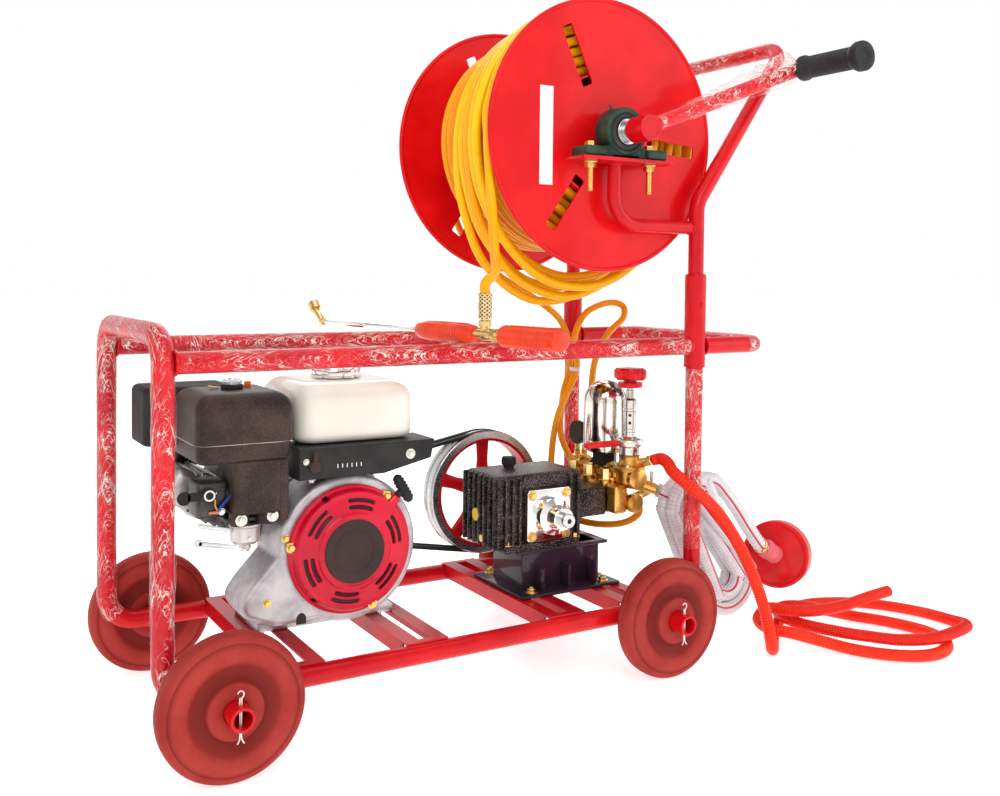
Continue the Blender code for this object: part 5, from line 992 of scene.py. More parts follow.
def bracket(s):
    y = s * railY
    line = [(reelAt["x"], y, reel["plateZ"] - 0.003), (reelAt["x"], y, 0.762), (t["rear"] - 0.0138, y, 0.762)]
    plate = slab((reelAt["x"] - 0.0925, s * 0.202 - 0.0275, reel["plateZ"] - 0.006),
        (reelAt["x"] + 0.0925, s * 0.202 + 0.0275, reel["plateZ"]), 0.0008, 1)
    beads = [weld((t["rear"] - 0.0142, y, 0.762), 0.0118, right),
        weld((reelAt["x"], y, reel["plateZ"] - 0.0068), 0.0122, up)]
    return joined(tubeAlong(line, 0.0115), plate, *beads)


blackSeal = moulded("bearingSeal", "cast_green", (0.03, 0.028, 0.03), (0.08, 0.075, 0.07), 0.35, 500, 0.1)
for side, s in (("Left", -1), ("Right", 1)):
    node = side.lower()
    make("pillowBlock" + side, pillowBlock(s), greenIron, stands=("pillow_block_" + node,))
    make("bearing" + side, bearingRing(s), blackSeal)
    make("reelBolts" + side, reelBolts(s), brassPlate)
    make("reelBracket" + side, bracket(s), frameRed, stands=("reel_bracket_" + node,))

crank = {"length": 0.367, "angle": 21, "tube": 0.0125, "y": -0.262}
out = np.array([math.cos(math.radians(crank["angle"])), 0, math.sin(math.radians(crank["angle"]))])
hub = np.array([reelAt["x"], crank["y"], reelAt["z"]])
tip = hub + out * crank["length"]
wall = [(0.0153, -0.021), (0.0153, 0.0205), (0.02, 0.0205), (0.021, 0.0195), (0.021, -0.02), (0.02, -0.021)]
arm = [lathe(wall, hub, back, 44, True), sweep([hub + out * 0.015, tip + out * 0.0125], crank["tube"], 28)]
arm += [rod(tip, (tip[0], -0.4061, tip[2]), 0.008, 24), weld(hub + out * 0.0215, 0.0128, out)]
arm.append(stud(hub + [0, 0, 0.0195], up, 0.0045, 0.004))
arm.append(rod(hub - back * 0.0196, hub - back * 0.0209, 0.0152, 40, 0.0004))
make("crankArm", joined(*arm), frameRed, "reel", ("crank_arm",))
flange = [(0.0088, 0), (0.0215, 0), (0.022, 0.001), (0.022, 0.008), (0.0195, 0.013)]
ribs = [(0.0192 - 0.0011 * (k % 2), 0.016 + 0.003 * k) for k in range(32)]
end = [(0.0195, 0.1135), (0.024, 0.12), (0.025, 0.1225), (0.025, 0.132), (0.0238, 0.1348), (0.015, 0.1348),
    (0.013, 0.133), (0.0088, 0.133)]
make("crankGrip", lathe([*flange, *ribs, *end], (tip[0], -0.2751, tip[2]), -back, 64, True), gripRubber,
    "crank_grip", ("crank_grip",), 30)
make("crankGripEnd", rod((tip[0], -0.4064, tip[2]), (tip[0], -0.4075, tip[2]), 0.0087, 24, 0.0003),
    gripRubber, "crank_grip", ("crank_grip",))

# film round the crank: close at the hub, wide and torn where it ends at the grip
share = np.linspace(0, 1, 110)
line = hub + out * 0.03 + np.outer(share, tip + [0, 0.006, 0] - hub - out * 0.03)
turn = np.arange(56) * 2 * math.pi / 56
loose = np.clip((share - 0.12) / 0.8, 0, 1)[:, None]
ends = np.clip((1 - share) / 0.06, 0, 1)[:, None] ** 0.5
folds = 0.5 + 0.5 * np.sin(turn[None] * 6 + 22 * share[:, None] + 3 * np.sin(share[:, None] * 9))
folds = folds * 0.6 + 0.4 * np.abs(np.sin(turn[None] * 4.5 - 31 * share[:, None])) ** 3
sag = np.clip(-np.sin(turn - 0.3), 0, 1)[None] ** 2
size = 0.0135 + loose * ends * (0.004 + 0.007 * folds + 0.016 * sag * (0.6 + 0.4 * folds))
make("filmCrank", sweep(line, size, 56, False), film, "reel", (), 180, hoseMarks(line, 56))
print("reel built")


# engine
# a moulded box: rounded uprights, its own shoulder and foot
def crate(low, high, corner, top=0.004, foot=0.003, steps=6):
    low, high = np.asarray(low, float), np.asarray(high, float)
    middle, half = (low + high) / 2, (high - low) / 2
    bend = np.linspace(0, math.pi / 2, steps + 1)
    rows = [(foot * (1 - math.sin(t)), low[2] + foot * (1 - math.cos(t))) for t in bend]
    rows += [(top * (1 - math.cos(t)), high[2] - top * (1 - math.sin(t))) for t in bend]
    rows += [(top + 0.001, high[2])]
    turn = np.concatenate([bend + k * math.pi / 2 for k in range(4)])
    sign = np.repeat([[1, 1], [-1, 1], [-1, -1], [1, -1]], steps + 1, axis=0)
    rings = []
    for by, z in rows:
        size = max(corner - 0.6 * by, 0.003)
        flat = sign * (half[:2] - by - size) + size * np.stack([np.cos(turn), np.sin(turn)], -1)
        rings.append(np.column_stack([flat + middle[:2], np.full(len(flat), z)]))
    return capped(np.array(rings))


# a turned face with hollows where dent(radius, angle) says
def dish(profile, dent, centre, axis, deep, rings=56, sides=240):
    profile, axis = np.asarray(profile, float), unit(axis)
    run = np.concatenate([[0], np.cumsum(np.linalg.norm(np.diff(profile, axis=0), axis=1))])
    where = np.linspace(0, run[-1], rings)
    radius, height = (np.interp(where, run, profile[:, k]) for k in (0, 1))
    side = unit(np.cross(up, axis) if abs(axis[2]) < 0.9 else right)
    other = np.cross(axis, side)
    turn = np.arange(sides) * 2 * math.pi / sides
    hollow = dent(radius[:, None], turn[None, :])
    high = height[:, None] - deep * hollow
    ring = np.cos(turn)[:, None] * side + np.sin(turn)[:, None] * other
    points = np.asarray(centre, float) + high[..., None] * axis + radius[:, None, None] * ring[None]
    # the hollow mask also goes out as marks, for painted shade in the hollows
    marks = np.stack([hollow, 0 * hollow, 0 * hollow], -1).reshape(-1, 3)
    return capped(points), marks


def arcs(*slots):  # hollows along arcs: (radius, middle, half the spread, half the width), angles in degrees
    def dent(radius, turn):
        deepest = 0 * radius * turn
        for size, middle, spread, width in slots:
            away = np.abs((np.degrees(turn) - middle + 180) % 360 - 180)
            past = np.maximum(away - spread, 0) * math.pi / 180 * size
            gap = np.hypot(radius - size, past)
            deepest = np.maximum(deepest, np.clip((width - gap) / 0.0012 + 0.5, 0, 1))
        return deepest
    return dent


def gear(count, outer, inner, share=0.5, sides=8):  # outline of a lobed disc, as (x, y)
    turn = np.arange(count * sides) * 2 * math.pi / (count * sides)
    wave = np.clip(np.cos(turn * count) * 3 + (share - 0.5) * 4, -1, 1)
    radius = (outer + inner) / 2 + wave * (outer - inner) / 2
    return np.stack([radius * np.cos(turn), radius * np.sin(turn)], -1)


def plate(outline, centre, axis, side, height, rim=0.001):  # an outline carried along any axis
    axis, side = unit(axis), unit(side)
    other = np.cross(axis, side)
    rows = [(rim, 0), (0, rim), (0, height - rim), (rim, height)]
    rings = []
    for by, h in rows:
        flat = inset(outline, by)
        rings.append(np.asarray(centre, float) + h * axis + flat[:, :1] * side + flat[:, 1:] * other)
    return capped(np.array(rings))


e = {"x": 0.2145, "z": 0.2593, "front": -0.118}
silverCast = cast("silverCast", "alloy", (0.66, 0.64, 0.62), (0.46, 0.44, 0.43), 0.38, 0.75, 300, 0.0005, 0.3)
# darker copies of the engine's alloy, as painted shade: the fins under the air cleaner and tank, the fan inside
# the shroud, the carburettor under the air cleaner and the pulley behind the engine
shadedFinAlloy = cast("shadedFinAlloy", "alloy", (0.2, 0.19, 0.19), (0.09, 0.085, 0.085), 0.45, 0.7, 300, 0.0006, 0.4)
shadedAlloy = cast("shadedAlloy", "alloy", (0.1, 0.095, 0.095), (0.04, 0.038, 0.04), 0.42, 0.7, 300, 0.0006, 0.4)
# the starter cover's face: its vent slots are painted dark inside, as shade
starterFace = shadedInHollows(paint("starterFace", "starter_red", (0.66, 0.003, 0.03), (0.48, 0.0, 0.02), 0.3, 0.15,
    (0.3, 0.01, 0.02), 0.35))
copperRod = metal("copperRod", "gun_brass", (0.62, 0.25, 0.1), (0.35, 0.14, 0.06), 0.3)
blueLink = moulded("blueLink", "starter_red", (0.03, 0.07, 0.36), (0.02, 0.04, 0.22), 0.4)
clearNut = moulded("clearNut", "clear_pvc", (0.72, 0.72, 0.74), (0.55, 0.55, 0.58), 0.25, 200, 0.5, 0.6)
tabOrange = moulded("tabOrange", "grip_orange", (0.85, 0.16, 0.01), (0.75, 0.1, 0.01), 0.4)
flapYellow = moulded("flapYellow", "hose_yellow", (0.8, 0.55, 0.03), (0.7, 0.42, 0.02), 0.4)
# a pale colour on black plastic: painted highlight along the air cleaner's split line
seamHighlight = moulded("seamHighlight", "black_plastic", (0.62, 0.55, 0.5), (0.3, 0.26, 0.24), 0.6)

block = [
    slab((0.0995, -0.032, 0.1213), (0.3295, 0.085, 0.135), 0.003),
    slab((0.1345, -0.032, 0.13), (0.2995, 0.085, 0.3543), 0.012, 4),
    slab((0.1695, -0.012, 0.35), (0.2745, 0.06, 0.4186), 0.006, 3),
    lathe([(0, 0), (0.042, 0), (0.042, 0.0965), (0.0395, 0.099), (0, 0.099)], (e["x"], 0, e["z"]), back, 40),
]
for side in (-0.06, 0.0, 0.055):
    block.append(slab((e["x"] + side, -0.032, 0.134), (e["x"] + side + 0.006, 0.085, 0.19), 0.002))
make("engineBlock", joined(*block), caseAlloy, "trolley", ("engine_crankcase",), 40)
feet = [stud((e["x"] + x, y, 0.135), up, 0.0075, 0.006, 0.011, 0.004) for x in (-0.1, 0.1)
    for y in (-0.01, 0.063)]
feet += [rod((e["x"] + x, y, 0.0915), (e["x"] + x, y, 0.125), 0.0035, 12) for x in (-0.1, 0.1)
    for y in (-0.01, 0.063)]
make("engineFeetBolts", joined(*feet), zincPlate, "trolley", ("engine_crankcase",))

tilt = 25
core = [slab((e["x"] - 0.196, -0.022, e["z"] - 0.036), (e["x"] - 0.0875, 0.075, e["z"] + 0.0385), 0.006, 3)]
for k in range(7):
    u = e["x"] - 0.1945 + k * 0.0145
    core.append(slab((u, -0.03, e["z"] - 0.045), (u + 0.0045, 0.083, e["z"] + 0.0465), 0.0018))
cylinder = spun(joined(*core), (e["x"], 0, e["z"]), back, tilt)
keep = cylinder[0][:, 0] < e["x"] - 0.0806
cylinder[0][~keep, 0] = e["x"] - 0.0806
make("finnedCylinder", cylinder, shadedFinAlloy, "trolley", ("cylinder_head",))
head = [slab((e["x"] - 0.2245, -0.0285, e["z"] - 0.043), (e["x"] - 0.198, 0.0815, e["z"] + 0.0255), 0.006, 3)]
head.append(slab((e["x"] - 0.265, -0.024, e["z"] - 0.037), (e["x"] - 0.222, 0.076, e["z"] + 0.0195), 0.016,
    6))
make("headCover", spun(joined(*head), (e["x"], 0, e["z"]), back, tilt), silverCast, "trolley",
    ("cylinder_head",))
headBolts = []
for y in (-0.0245, 0.0775):
    for v in (-0.038, 0.0205):
        headBolts.append(stud((e["x"] - 0.2225, y, e["z"] + v), -right, 0.0042, 0.004, 0.0055, 0, 6))
make("headBolts", spun(joined(*headBolts), (e["x"], 0, e["z"]), back, tilt), zincPlate, "trolley",
    ("cylinder_head",))

turn = np.radians(np.linspace(-115, 150, 90))
outline = np.column_stack([0.112 * np.cos(turn), 0.112 * np.sin(turn)]).tolist()
outline += [(-0.105, 0.045), (-0.112, 0.0), (-0.15, -0.04), (-0.164, -0.06), (-0.166, -0.072),
    (-0.158, -0.086), (-0.112, -0.104)]
outline = np.array(outline)
swing = np.linspace(0, 2 * math.pi, 180, endpoint=False)
reach = []
ends = np.roll(outline, -1, 0) - outline
for angle in swing:  # how far the outline is from the shaft, all the way round
    way = (math.cos(angle), math.sin(angle))
    cut = way[0] * ends[:, 1] - way[1] * ends[:, 0] + 1e-12
    far = (outline[:, 0] * ends[:, 1] - outline[:, 1] * ends[:, 0]) / cut
    share = (outline[:, 0] * way[1] - outline[:, 1] * way[0]) / cut
    reach.append(far[(far > 0) & (share > -0.001) & (share < 1.001)].max())
reach = np.array(reach)
flat = np.column_stack([reach * np.cos(swing), reach * np.sin(swing)])
mouth = 0.0885 * np.column_stack([np.cos(swing), np.sin(swing)])
bend = np.linspace(0, math.pi / 2, 6)
rows = [(mouth, -0.1176), (inset(flat, 0.009), -0.1176)]
rows += [(inset(flat, 0.008 * (1 - math.sin(t))), -0.1176 + 0.008 * (1 - math.cos(t))) for t in bend]
rows += [(flat, -0.033), (inset(flat, 0.0022), -0.033), (inset(flat, 0.0022), -0.112),
    (inset(flat, 0.008), -0.1154), (mouth, -0.1154)]
rings = np.array([np.column_stack([e["x"] + f[:, 0], np.full(len(f), y), e["z"] + f[:, 1]]) for f, y in rows])
make("fanShroud", capped(rings, True), silverPaint, "trolley", ("fan_shroud",), 50)
arch = [(0.0, 0.0), (0.015, 0.0), (0.015, 0.01), (0.012, 0.015), (0.0075, 0.017), (0.003, 0.015), (0.0, 0.01)]
arch = [(e["x"] - 0.083 + x, e["z"] - 0.1045 + z) for x, z in arch]
make("shroudArch", prism(arch, -0.1181, -0.116), badgeDark, "trolley", ("fan_shroud",))
shroudBolts = [stud((e["x"] + x, -0.1176, e["z"] + z), -back, 0.0046, 0.004, 0.0066) for x,
    z in ((-0.1, 0.026), (-0.128, -0.066))]
make("shroudBolts", joined(*shroudBolts), brassPlate, "trolley", ("fan_shroud",))

cover = [(0.0, 0.0225), (0.0505, 0.0225), (0.0525, 0.024), (0.056, 0.024), (0.059, 0.0215), (0.084, 0.017),
    (0.086, 0.0185)]
cover += [(0.0885, 0.0185), (0.0905, 0.015), (0.093, 0.0085), (0.0975, 0.007), (0.098, 0.0055),
    (0.098, 0.0002)]
slots = [(size, middle, 15, 0.0026) for middle in (20, 80, 140, 200, 260, 320) for size in (0.066, 0.0765)]
slots += [(0.0912, 118, 1.5, 0.0024), (0.0912, 228, 1.5, 0.0024)]
shape, marks = dish(cover, arcs(*slots), (e["x"], -0.1181, e["z"]), -back, 0.004, 90, 360)
make("recoilCover", shape, starterFace, "trolley", ("recoil_cover",), 55, marks)
badge = lathe([(0, 0.0016), (0.047, 0.0016), (0.048, 0.0008), (0.048, 0), (0, 0)], (e["x"], -0.1406, e["z"]),
    -back, 72)
ring = lathe([(0.03, 0.0004), (0.0304, 0.0008), (0.0326, 0.0008), (0.033, 0.0004), (0.0326, 0), (0.0304, 0)],
    (e["x"], -0.1421, e["z"]), -back, 72, True)
make("recoilBadge", joined(badge, ring), badgeDark, "trolley", ("recoil_cover",))
rope = np.array([0.7071, 0, 0.7071])
outlet = np.array([e["x"], -0.1283, e["z"]])
guide = [rod(outlet + rope * 0.086, outlet + rope * 0.1038, 0.0085, 24, 0.0015)]
make("ropeGuide", joined(*guide), starterPaint, "trolley", ("recoil_cover",))
coverBolts = []
for degrees in (172, 52, 292):
    at = np.array([e["x"] + 0.0955 * math.cos(math.radians(degrees)), -0.1252,
        e["z"] + 0.0955 * math.sin(math.radians(degrees))])
    coverBolts += [stud(at, -back, 0.0052, 0.0048, 0.0078), rod(at + back * 0.007, at, 0.008, 20, 0.001)]
make("recoilBolts", joined(*coverBolts), brassPlate, "trolley", ("recoil_cover",))

pull = np.array([e["x"] + 0.12 * 0.7071, -0.1283, e["z"] + 0.12 * 0.7071])
across = unit([-0.52, 0, 0.854])
along = np.linspace(-0.0245, 0.0245, 60)
size = 0.0082 + 0.001 * np.sin(along * 2 * math.pi / 0.0062) * (np.abs(along) < 0.0205)
size *= np.sqrt(np.clip(1 - (np.abs(along) / 0.025) ** 6, 0.02, 1))
handle = sweep(pull + along[:, None] * across, size, 28)
stem = rod(outlet + rope * 0.1046, outlet + rope * 0.1165, 0.0058, 20, 0.001)
make("recoilHandle", joined(handle, stem), gripRubber, "recoil_grip", ("recoil_grip",), 60)

shaft = [rod((e["x"], -0.1115, e["z"]), (e["x"], 0.181, e["z"]), 0.0125, 28, 0.001)]
make("engineShaft", joined(*shaft), steelTurned, "engine_rotor", ("engine_crankshaft",))
low, high = 0.089, 0.1095
blades = [lathe([(0.013, low + 0.002), (0.02, low), (0.078, low), (0.0845, low + 0.003), (0.0845, 0.106),
    (0.078, 0.108), (0.013, 0.108)], (e["x"], 0, e["z"]), -back, 64, True)]
make("fanWheel", joined(*blades), shadedAlloy, "engine_rotor", ("engine_crankshaft",))
groove = [(0.013, -0.0199), (0.044, -0.0199), (0.0448, -0.019), (0.0448, -0.016), (0.037, -0.0125),
    (0.037, -0.008)]
groove += [(0.0448, -0.0045), (0.0448, 0.0045), (0.037, 0.008), (0.037, 0.0125), (0.0448, 0.016),
    (0.0448, 0.019), (0.044, 0.0199), (0.013, 0.0199)]
make("enginePulley", lathe(groove, (e["x"], 0.157, e["z"]), back, 64, True), shadedAlloy, "engine_rotor",
    ("engine_crankshaft",))

low, high, split = np.array([-0.0203, -0.1348, 0.4035]), np.array([0.1218, 0.0098, 0.5041]), 0.4323
make("airCover", crate((low[0], low[1], split), high, 0.016, 0.026, 0.001, 9), airPlastic,
    "air_cleaner_cover", ("air_cleaner_cover",))
tray = [crate(low + [0.002, 0.002, 0], (high[0] - 0.002, high[1] - 0.002, split - 0.0008), 0.016, 0.001,
    0.01)]
tray.append(crate((0.034, -0.1325, 0.329), (0.113, -0.0635, 0.406), 0.01, 0.002, 0.004))
tray.append(slab((0.0995, -0.134, 0.316), (0.1138, -0.064, 0.406), 0.004, 3))
for x in (0.0455, 0.085):
    tray.append(lathe([(0, 0), (0.0125, 0), (0.0145, 0.003), (0.0145, 0.02), (0, 0.024)],
        (x, -0.1145, 0.3125), up, 28))
make("airTray", joined(*tray), airPlastic, "trolley", ("air_cleaner_base",), 40)
def seamRound(x, y, half, z, thick, square):  # a thin line of moulding round a box with rounded uprights
    turn = np.linspace(0, 2 * math.pi, 160, endpoint=False)
    way = np.stack([np.cos(turn), np.sin(turn)], -1)
    edge = np.sign(way) * np.abs(way) ** square * half + (x, y)
    return capped(np.array([np.column_stack([edge, np.full(160, z + k)]) for k in (-thick, thick)]))


# the split line round the air cleaner, painted pale as a highlight on its edge
make("airSeam", seamRound(0.05075, -0.0625, (0.0706, 0.0717), split, 0.0007, 0.24), seamHighlight, "trolley",
    ("air_cleaner_base",))
elbowBolts = [stud((x, -0.134, z), -back, 0.0056, 0.005, 0.0088) for x,
    z in ((0.0445, 0.3225), (0.0905, 0.3245))]
elbowBolts = [shifted(b, (0, 0.0052, 0)) for b in elbowBolts]
make("elbowBolts", joined(*elbowBolts), zincPlate, "trolley", ("air_cleaner_base",))
turn = np.arange(240)
radius = np.where(turn % 4 < 2, 0.0445, 0.04)
swing = turn * 2 * math.pi / 240
pleats = [np.column_stack([0.05075 + r * np.cos(swing), -0.0625 + r * np.sin(swing), np.full(240, z)]) for r,
    z in
          ((0.031, 0.407), (radius, 0.407), (radius, 0.4822), (0.031, 0.4822))]
make("airFilter", capped(np.array(pleats), True), foamGrey, "trolley", ("air_filter_element",))
post = rod((0.05075, -0.0625, 0.404), (0.05075, -0.0625, 0.52), 0.0029, 14)
make("airStud", post, zincPlate, "trolley", ("air_cleaner_base",))
wings = plate(gear(8, 0.0168, 0.015), (0.05075, -0.0625, 0.5036), up, right, 0.0072, 0.0015)
make("airKnob", wings, panelPlastic, "air_cleaner_cover", ("air_cleaner_cover",))
crumple = lathe([(0.0034, 0), (0.0125, 0.0004), (0.014, 0.004), (0.01, 0.008), (0.006, 0.0088),
    (0.0034, 0.0088)], (0.05, -0.0625, 0.5108), up, 26)
crumple[0][:, :2] += 0.0012 * chance.standard_normal((len(crumple[0]), 2))
make("airNut", crumple, clearNut, "air_cleaner_cover", ("air_cleaner_cover",), 20)
make("airTab", slab((0.074, -0.048, 0.5036), (0.084, -0.044, 0.5125), 0.0012), tabOrange, "air_cleaner_cover",
    ("air_cleaner_cover",))
flap = spun(slab((0.018, -0.058, 0.5046), (0.033, -0.048, 0.5062), 0.0007), (0.033, -0.05, 0.5046), back, 12)
make("airFlap", flap, flapYellow, "air_cleaner_cover", ("air_cleaner_cover",))
print("air cleaner placed")

carb = [slab((-0.0125, -0.106, 0.3235), (0.032, -0.056, 0.3765), 0.006, 3)]
carb.append(rod((0.01, -0.06, 0.349), (0.01, -0.031, 0.349), 0.017, 32, 0.002))
carb.append(rod((0.03, -0.086, 0.35), (0.0345, -0.086, 0.35), 0.019, 32, 0.001))
carb.append(rod((0.059, -0.1, 0.311), (0.059, -0.1, 0.3145), 0.014, 28, 0.001))
carb.append(slab((0.027, -0.115, 0.316), (0.076, -0.07, 0.323), 0.003))
make("carburettor", joined(*carb), shadedAlloy, "trolley", ("carburettor",), 40)
bowl = [(0, 0.0), (0.0075, 0.0), (0.008, 0.006), (0.0165, 0.0085), (0.0212, 0.0135), (0.0216, 0.033),
    (0.0232, 0.0345), (0.0232, 0.0378), (0, 0.0378)]
make("floatBowl", lathe(bowl, (0.059, -0.1, 0.2742), up, 44), silverCast, "trolley", ("carburettor",), 40)
small = [stud((0.059, -0.1, 0.2742), -up, 0.0068, 0.005, 0.0088),
    stud((0.059, -0.1212, 0.29), -back, 0.0032, 0.0025, 0.0042)]
small.append(stud((0.023, -0.1062, 0.33), -back, 0.004, 0.0035, 0.0052))
small = [shifted(s, (0, 0, 0.003)) for s in small]
make("carbScrews", joined(*small), zincPlate, "trolley", ("carburettor",))
wire = [sweep(roundedPath([(0.013, -0.108, 0.356), (0.013, -0.108, 0.342), (0.0165, -0.1085, 0.336)], 0.003),
    0.0019, 10)]
wire.append(rod((0.004, -0.1065, 0.333), (0.018, -0.108, 0.333), 0.003, 14))
make("carbCopper", joined(*wire), copperRod, "trolley", ("carburettor",))
link = sweep(flowing([(0.0165, -0.1105, 0.337), (0.025, -0.111, 0.346), (0.033, -0.111, 0.354),
    (0.0392, -0.1105, 0.359)], 0.002), 0.0022, 12)
make("carbLink", link, blueLink, "trolley", ("carburettor",))
governor = [slab((-0.012, -0.1085, 0.276), (0.043, -0.1065, 0.283), 0.0009),
    rod((-0.012, -0.1065, 0.2795), (-0.012, -0.1085, 0.2795), 0.0058, 24)]
governor = [spun(g, (0.043, -0.108, 0.2795), back, 12) for g in governor]
governor.append(spun(slab((-0.0125, -0.1045, 0.2985), (0.045, -0.1025, 0.305), 0.0009), (0.045, -0.1, 0.3),
    back, 14))
make("throttleLever", joined(*governor), steelTurned, "trolley", ("carburettor",))
pivot = np.array([0.0027, -0.1123, 0.3593])
choke = [rod(pivot - back * 0.0002, pivot - back * 0.0028, 0.0106, 28)]
choke.append(slab(pivot + [-0.031, -0.0026, -0.0062], pivot + [-0.004, -0.0004, 0.0062], 0.001))
choke.append(rod(pivot + [-0.0352, -0.0004, -0.001], pivot + [-0.0352, -0.0026, -0.001], 0.0098, 28))
make("chokeLever", joined(*choke), panelPlastic, "choke_lever", ("choke_lever",))
eye = lathe([(0.0058, 0.0), (0.0078, 0.0), (0.0082, 0.0012), (0.0078, 0.0024), (0.0058, 0.0024),
    (0.0054, 0.0012)], pivot - back * 0.0027, -back, 36, True)
reachRod = rod(pivot + [0.007, -0.001, 0.002], pivot + [0.0108, -0.0012, 0.0028], 0.0018, 12, 0.0004)
make("chokeRing", joined(eye, reachRod), creamPaint, "choke_lever", ("choke_lever",))

tank = crate((0.1355, -0.115, 0.4195), (0.3295, 0.079, 0.51), 0.03, 0.032, 0.014, 10)
make("fuelTank", tank, creamPaint, "trolley", ("fuel_tank",))
make("tankSeam", seamRound(0.2325, -0.018, (0.0972, 0.0972), 0.452, 0.0012, 0.3), creamPaint, "trolley",
    ("fuel_tank",))
filler = lathe([(0.02, 0), (0.026, 0), (0.025, 0.006), (0.0235, 0.0075), (0.0205, 0.0075)],
    (0.2325, -0.018, 0.5085), up, 40, True)
make("tankNeck", filler, chromePlate, "trolley", ("fuel_tank",))
capAt = np.array([0.2325, -0.018, 0.511])
turn = np.linspace(0, 2 * math.pi, 240, endpoint=False)
notch = np.clip((np.abs(((np.degrees(turn)) % 40) - 20) - 5.0) / 1.6, 0, 1)
capRows = [(0.0345, 0.0, 0.0), (0.0392, 0.0004, 1.0), (0.0396, 0.002, 1.0), (0.0396, 0.0125, 1.0),
    (0.038, 0.0155, 1.0), (0.033, 0.0165, 0.6)]
capRows += [(0.03, 0.0168, 0.0), (0.0285, 0.019, 0.0), (0.026, 0.0196, 0.0), (0.0, 0.0196, 0.0)]
rings = []
for size, z, share in capRows:
    radius = size - 0.0045 * share * (1 - notch)
    rings.append(capAt + np.column_stack([radius * np.cos(turn), radius * np.sin(turn), np.full(240, z)]))
make("fuelCap", capped(np.array(rings)), chromePlate, "fuel_cap", ("fuel_cap",), 50)

face = [(-0.086, 0.0), (0.05, 0.0), (0.13, 0.018), (0.136, 0.047), (-0.086, 0.047)]
face = [(e["x"] + x, 0.3716 + z) for x, z in face]
make("controlPanel", prism(face, -0.1358, -0.0555, 0.003, 3), panelPlastic, "trolley", ("control_panel",), 40)
ticks = [slab((0.1875 + 0.0075 * k, -0.1361, 0.3865), (0.1888 + 0.0075 * k, -0.1356, 0.3925), 0.0002)
    for k in range(6)]
make("panelTicks", joined(*ticks), labelWhite, "trolley", ("control_panel",))
panelBolts = [stud((0.308, -0.1357, 0.3985), -back, 0.005, 0.004, 0.008),
    stud((0.139, -0.1357, 0.399), -back, 0.0036, 0.003, 0.005)]
make("panelBolts", joined(*panelBolts), zincPlate, "trolley", ("control_panel",))
fuelBody = [rod((0.1505, -0.1245, 0.37), (0.1505, -0.1245, 0.38), 0.008, 24),
    rod((0.1505, -0.124, 0.366), (0.1505, -0.124, 0.374), 0.005, 18)]
make("fuelCockBody", joined(*fuelBody), silverCast, "trolley", ("control_panel",))
leverAt = np.array([0.1505, -0.1364, 0.3916])
lever = [rod(leverAt, leverAt - back * 0.0085, 0.0088, 28),
    slab(leverAt + [-0.0035, -0.0095, 0.002], leverAt + [0.0035, -0.0035, 0.0218], 0.0015)]
make("fuelLever", joined(*lever), badgeDark, "fuel_valve_lever", ("fuel_valve_lever",))

low, high = np.array([-0.0553, 0.0302, 0.4105]), np.array([0.0843, 0.1248, 0.5])
silencer = [crate(low, high, 0.012, 0.01, 0.006)]
exhaust = roundedPath([(0.0195, 0.0832, 0.364), (0.0195, 0.102, 0.364), (0.0195, 0.106, 0.39),
    (0.0195, 0.102, 0.42)], 0.012)
silencer.append(sweep(exhaust, 0.0115, 24))
silencer.append(slab((0.0, 0.0834, 0.345), (0.039, 0.0885, 0.382), 0.002))
make("silencer", joined(*silencer), heatBlack, "trolley", ("muffler",), 40)
print("engine placed")


# pump and belt drive
p = {"x": 0.606, "z": 0.2603}
case = [slab((0.5095, -0.062, 0.2035), (0.6865, 0.0515, 0.33), 0.01, 3)]
case.append(slab((0.522, -0.0695, 0.1975), (0.677, 0.0515, 0.212), 0.003))
for k in range(7):  # cooling fins up the front face and on the near corner
    y = -0.064 + k * 0.0175
    case.append(slab((0.5022, y, 0.205), (0.522, y + 0.006, 0.327), 0.0022, 3))
for x in (0.5062, 0.522, 0.536, 0.55):
    case.append(slab((x, -0.0698, 0.206), (x + 0.0065, -0.05, 0.3255), 0.0022, 3))
for x in (0.656, 0.672):
    case.append(slab((x, -0.0698, 0.206), (x + 0.0065, -0.05, 0.3255), 0.0022, 3))
for k in range(3):
    case.append(slab((0.514, -0.066, 0.225 + k * 0.032), (0.562, -0.06, 0.232 + k * 0.032), 0.002))
case.append(slab((0.5608, -0.07, 0.2153), (0.6512, -0.03, 0.3055), 0.003))
case.append(slab((0.677, -0.0548, 0.2395), (0.7478, 0.0448, 0.2911), 0.005, 3))
for k in range(4):
    case.append(slab((0.687 + k * 0.015, -0.0549, 0.287), (0.693 + k * 0.015, 0.0449, 0.2912), 0.0015))
make("pumpCase", joined(*case), sparkIron, "trolley", ("pump_crankcase",), 40)
turn = np.arange(200) * 2 * math.pi / 200
ribs = 0.0123 + 0.0008 * np.sign(np.sin(turn * 18))
capRows = [(0.0095, 0.0), (0.0095, 0.004), (1.0, 0.006), (1.0, 0.016), (0.86, 0.0195), (0.0, 0.02)]
rings = []
for share, z in capRows:
    radius = ribs * share if share > 0.5 else np.full(200, share)
    rings.append(np.column_stack([0.576 + radius * np.cos(turn), 0.01 + radius * np.sin(turn),
        np.full(200, 0.331 + z)]))
make("oilCap", capped(np.array(rings)), gripRubber, "trolley", ("pump_crankcase",), 50)
sight = lathe([(0, 0.0016), (0.0072, 0.0016), (0.0078, 0.003), (0.0104, 0.003), (0.011, 0.0018),
    (0.011, -0.004), (0, -0.004)], (0.504, 0.0005, 0.256), -right, 40)
sight[0][:, 0] = np.maximum(sight[0][:, 0], 0.5021)
make("oilSight", sight, flapYellow, "trolley", ("pump_crankcase",))
drain = [rod((0.51, -0.018, 0.218), (0.503, -0.018, 0.218), 0.007, 24, 0.001)]
drain += [stud((0.529 + x, -0.064, 0.2118), up, 0.0056, 0.005, 0.0086) for x in (0.0, 0.142)]
make("pumpBolts", joined(*drain), brassPlate, "trolley", ("pump_crankcase",))

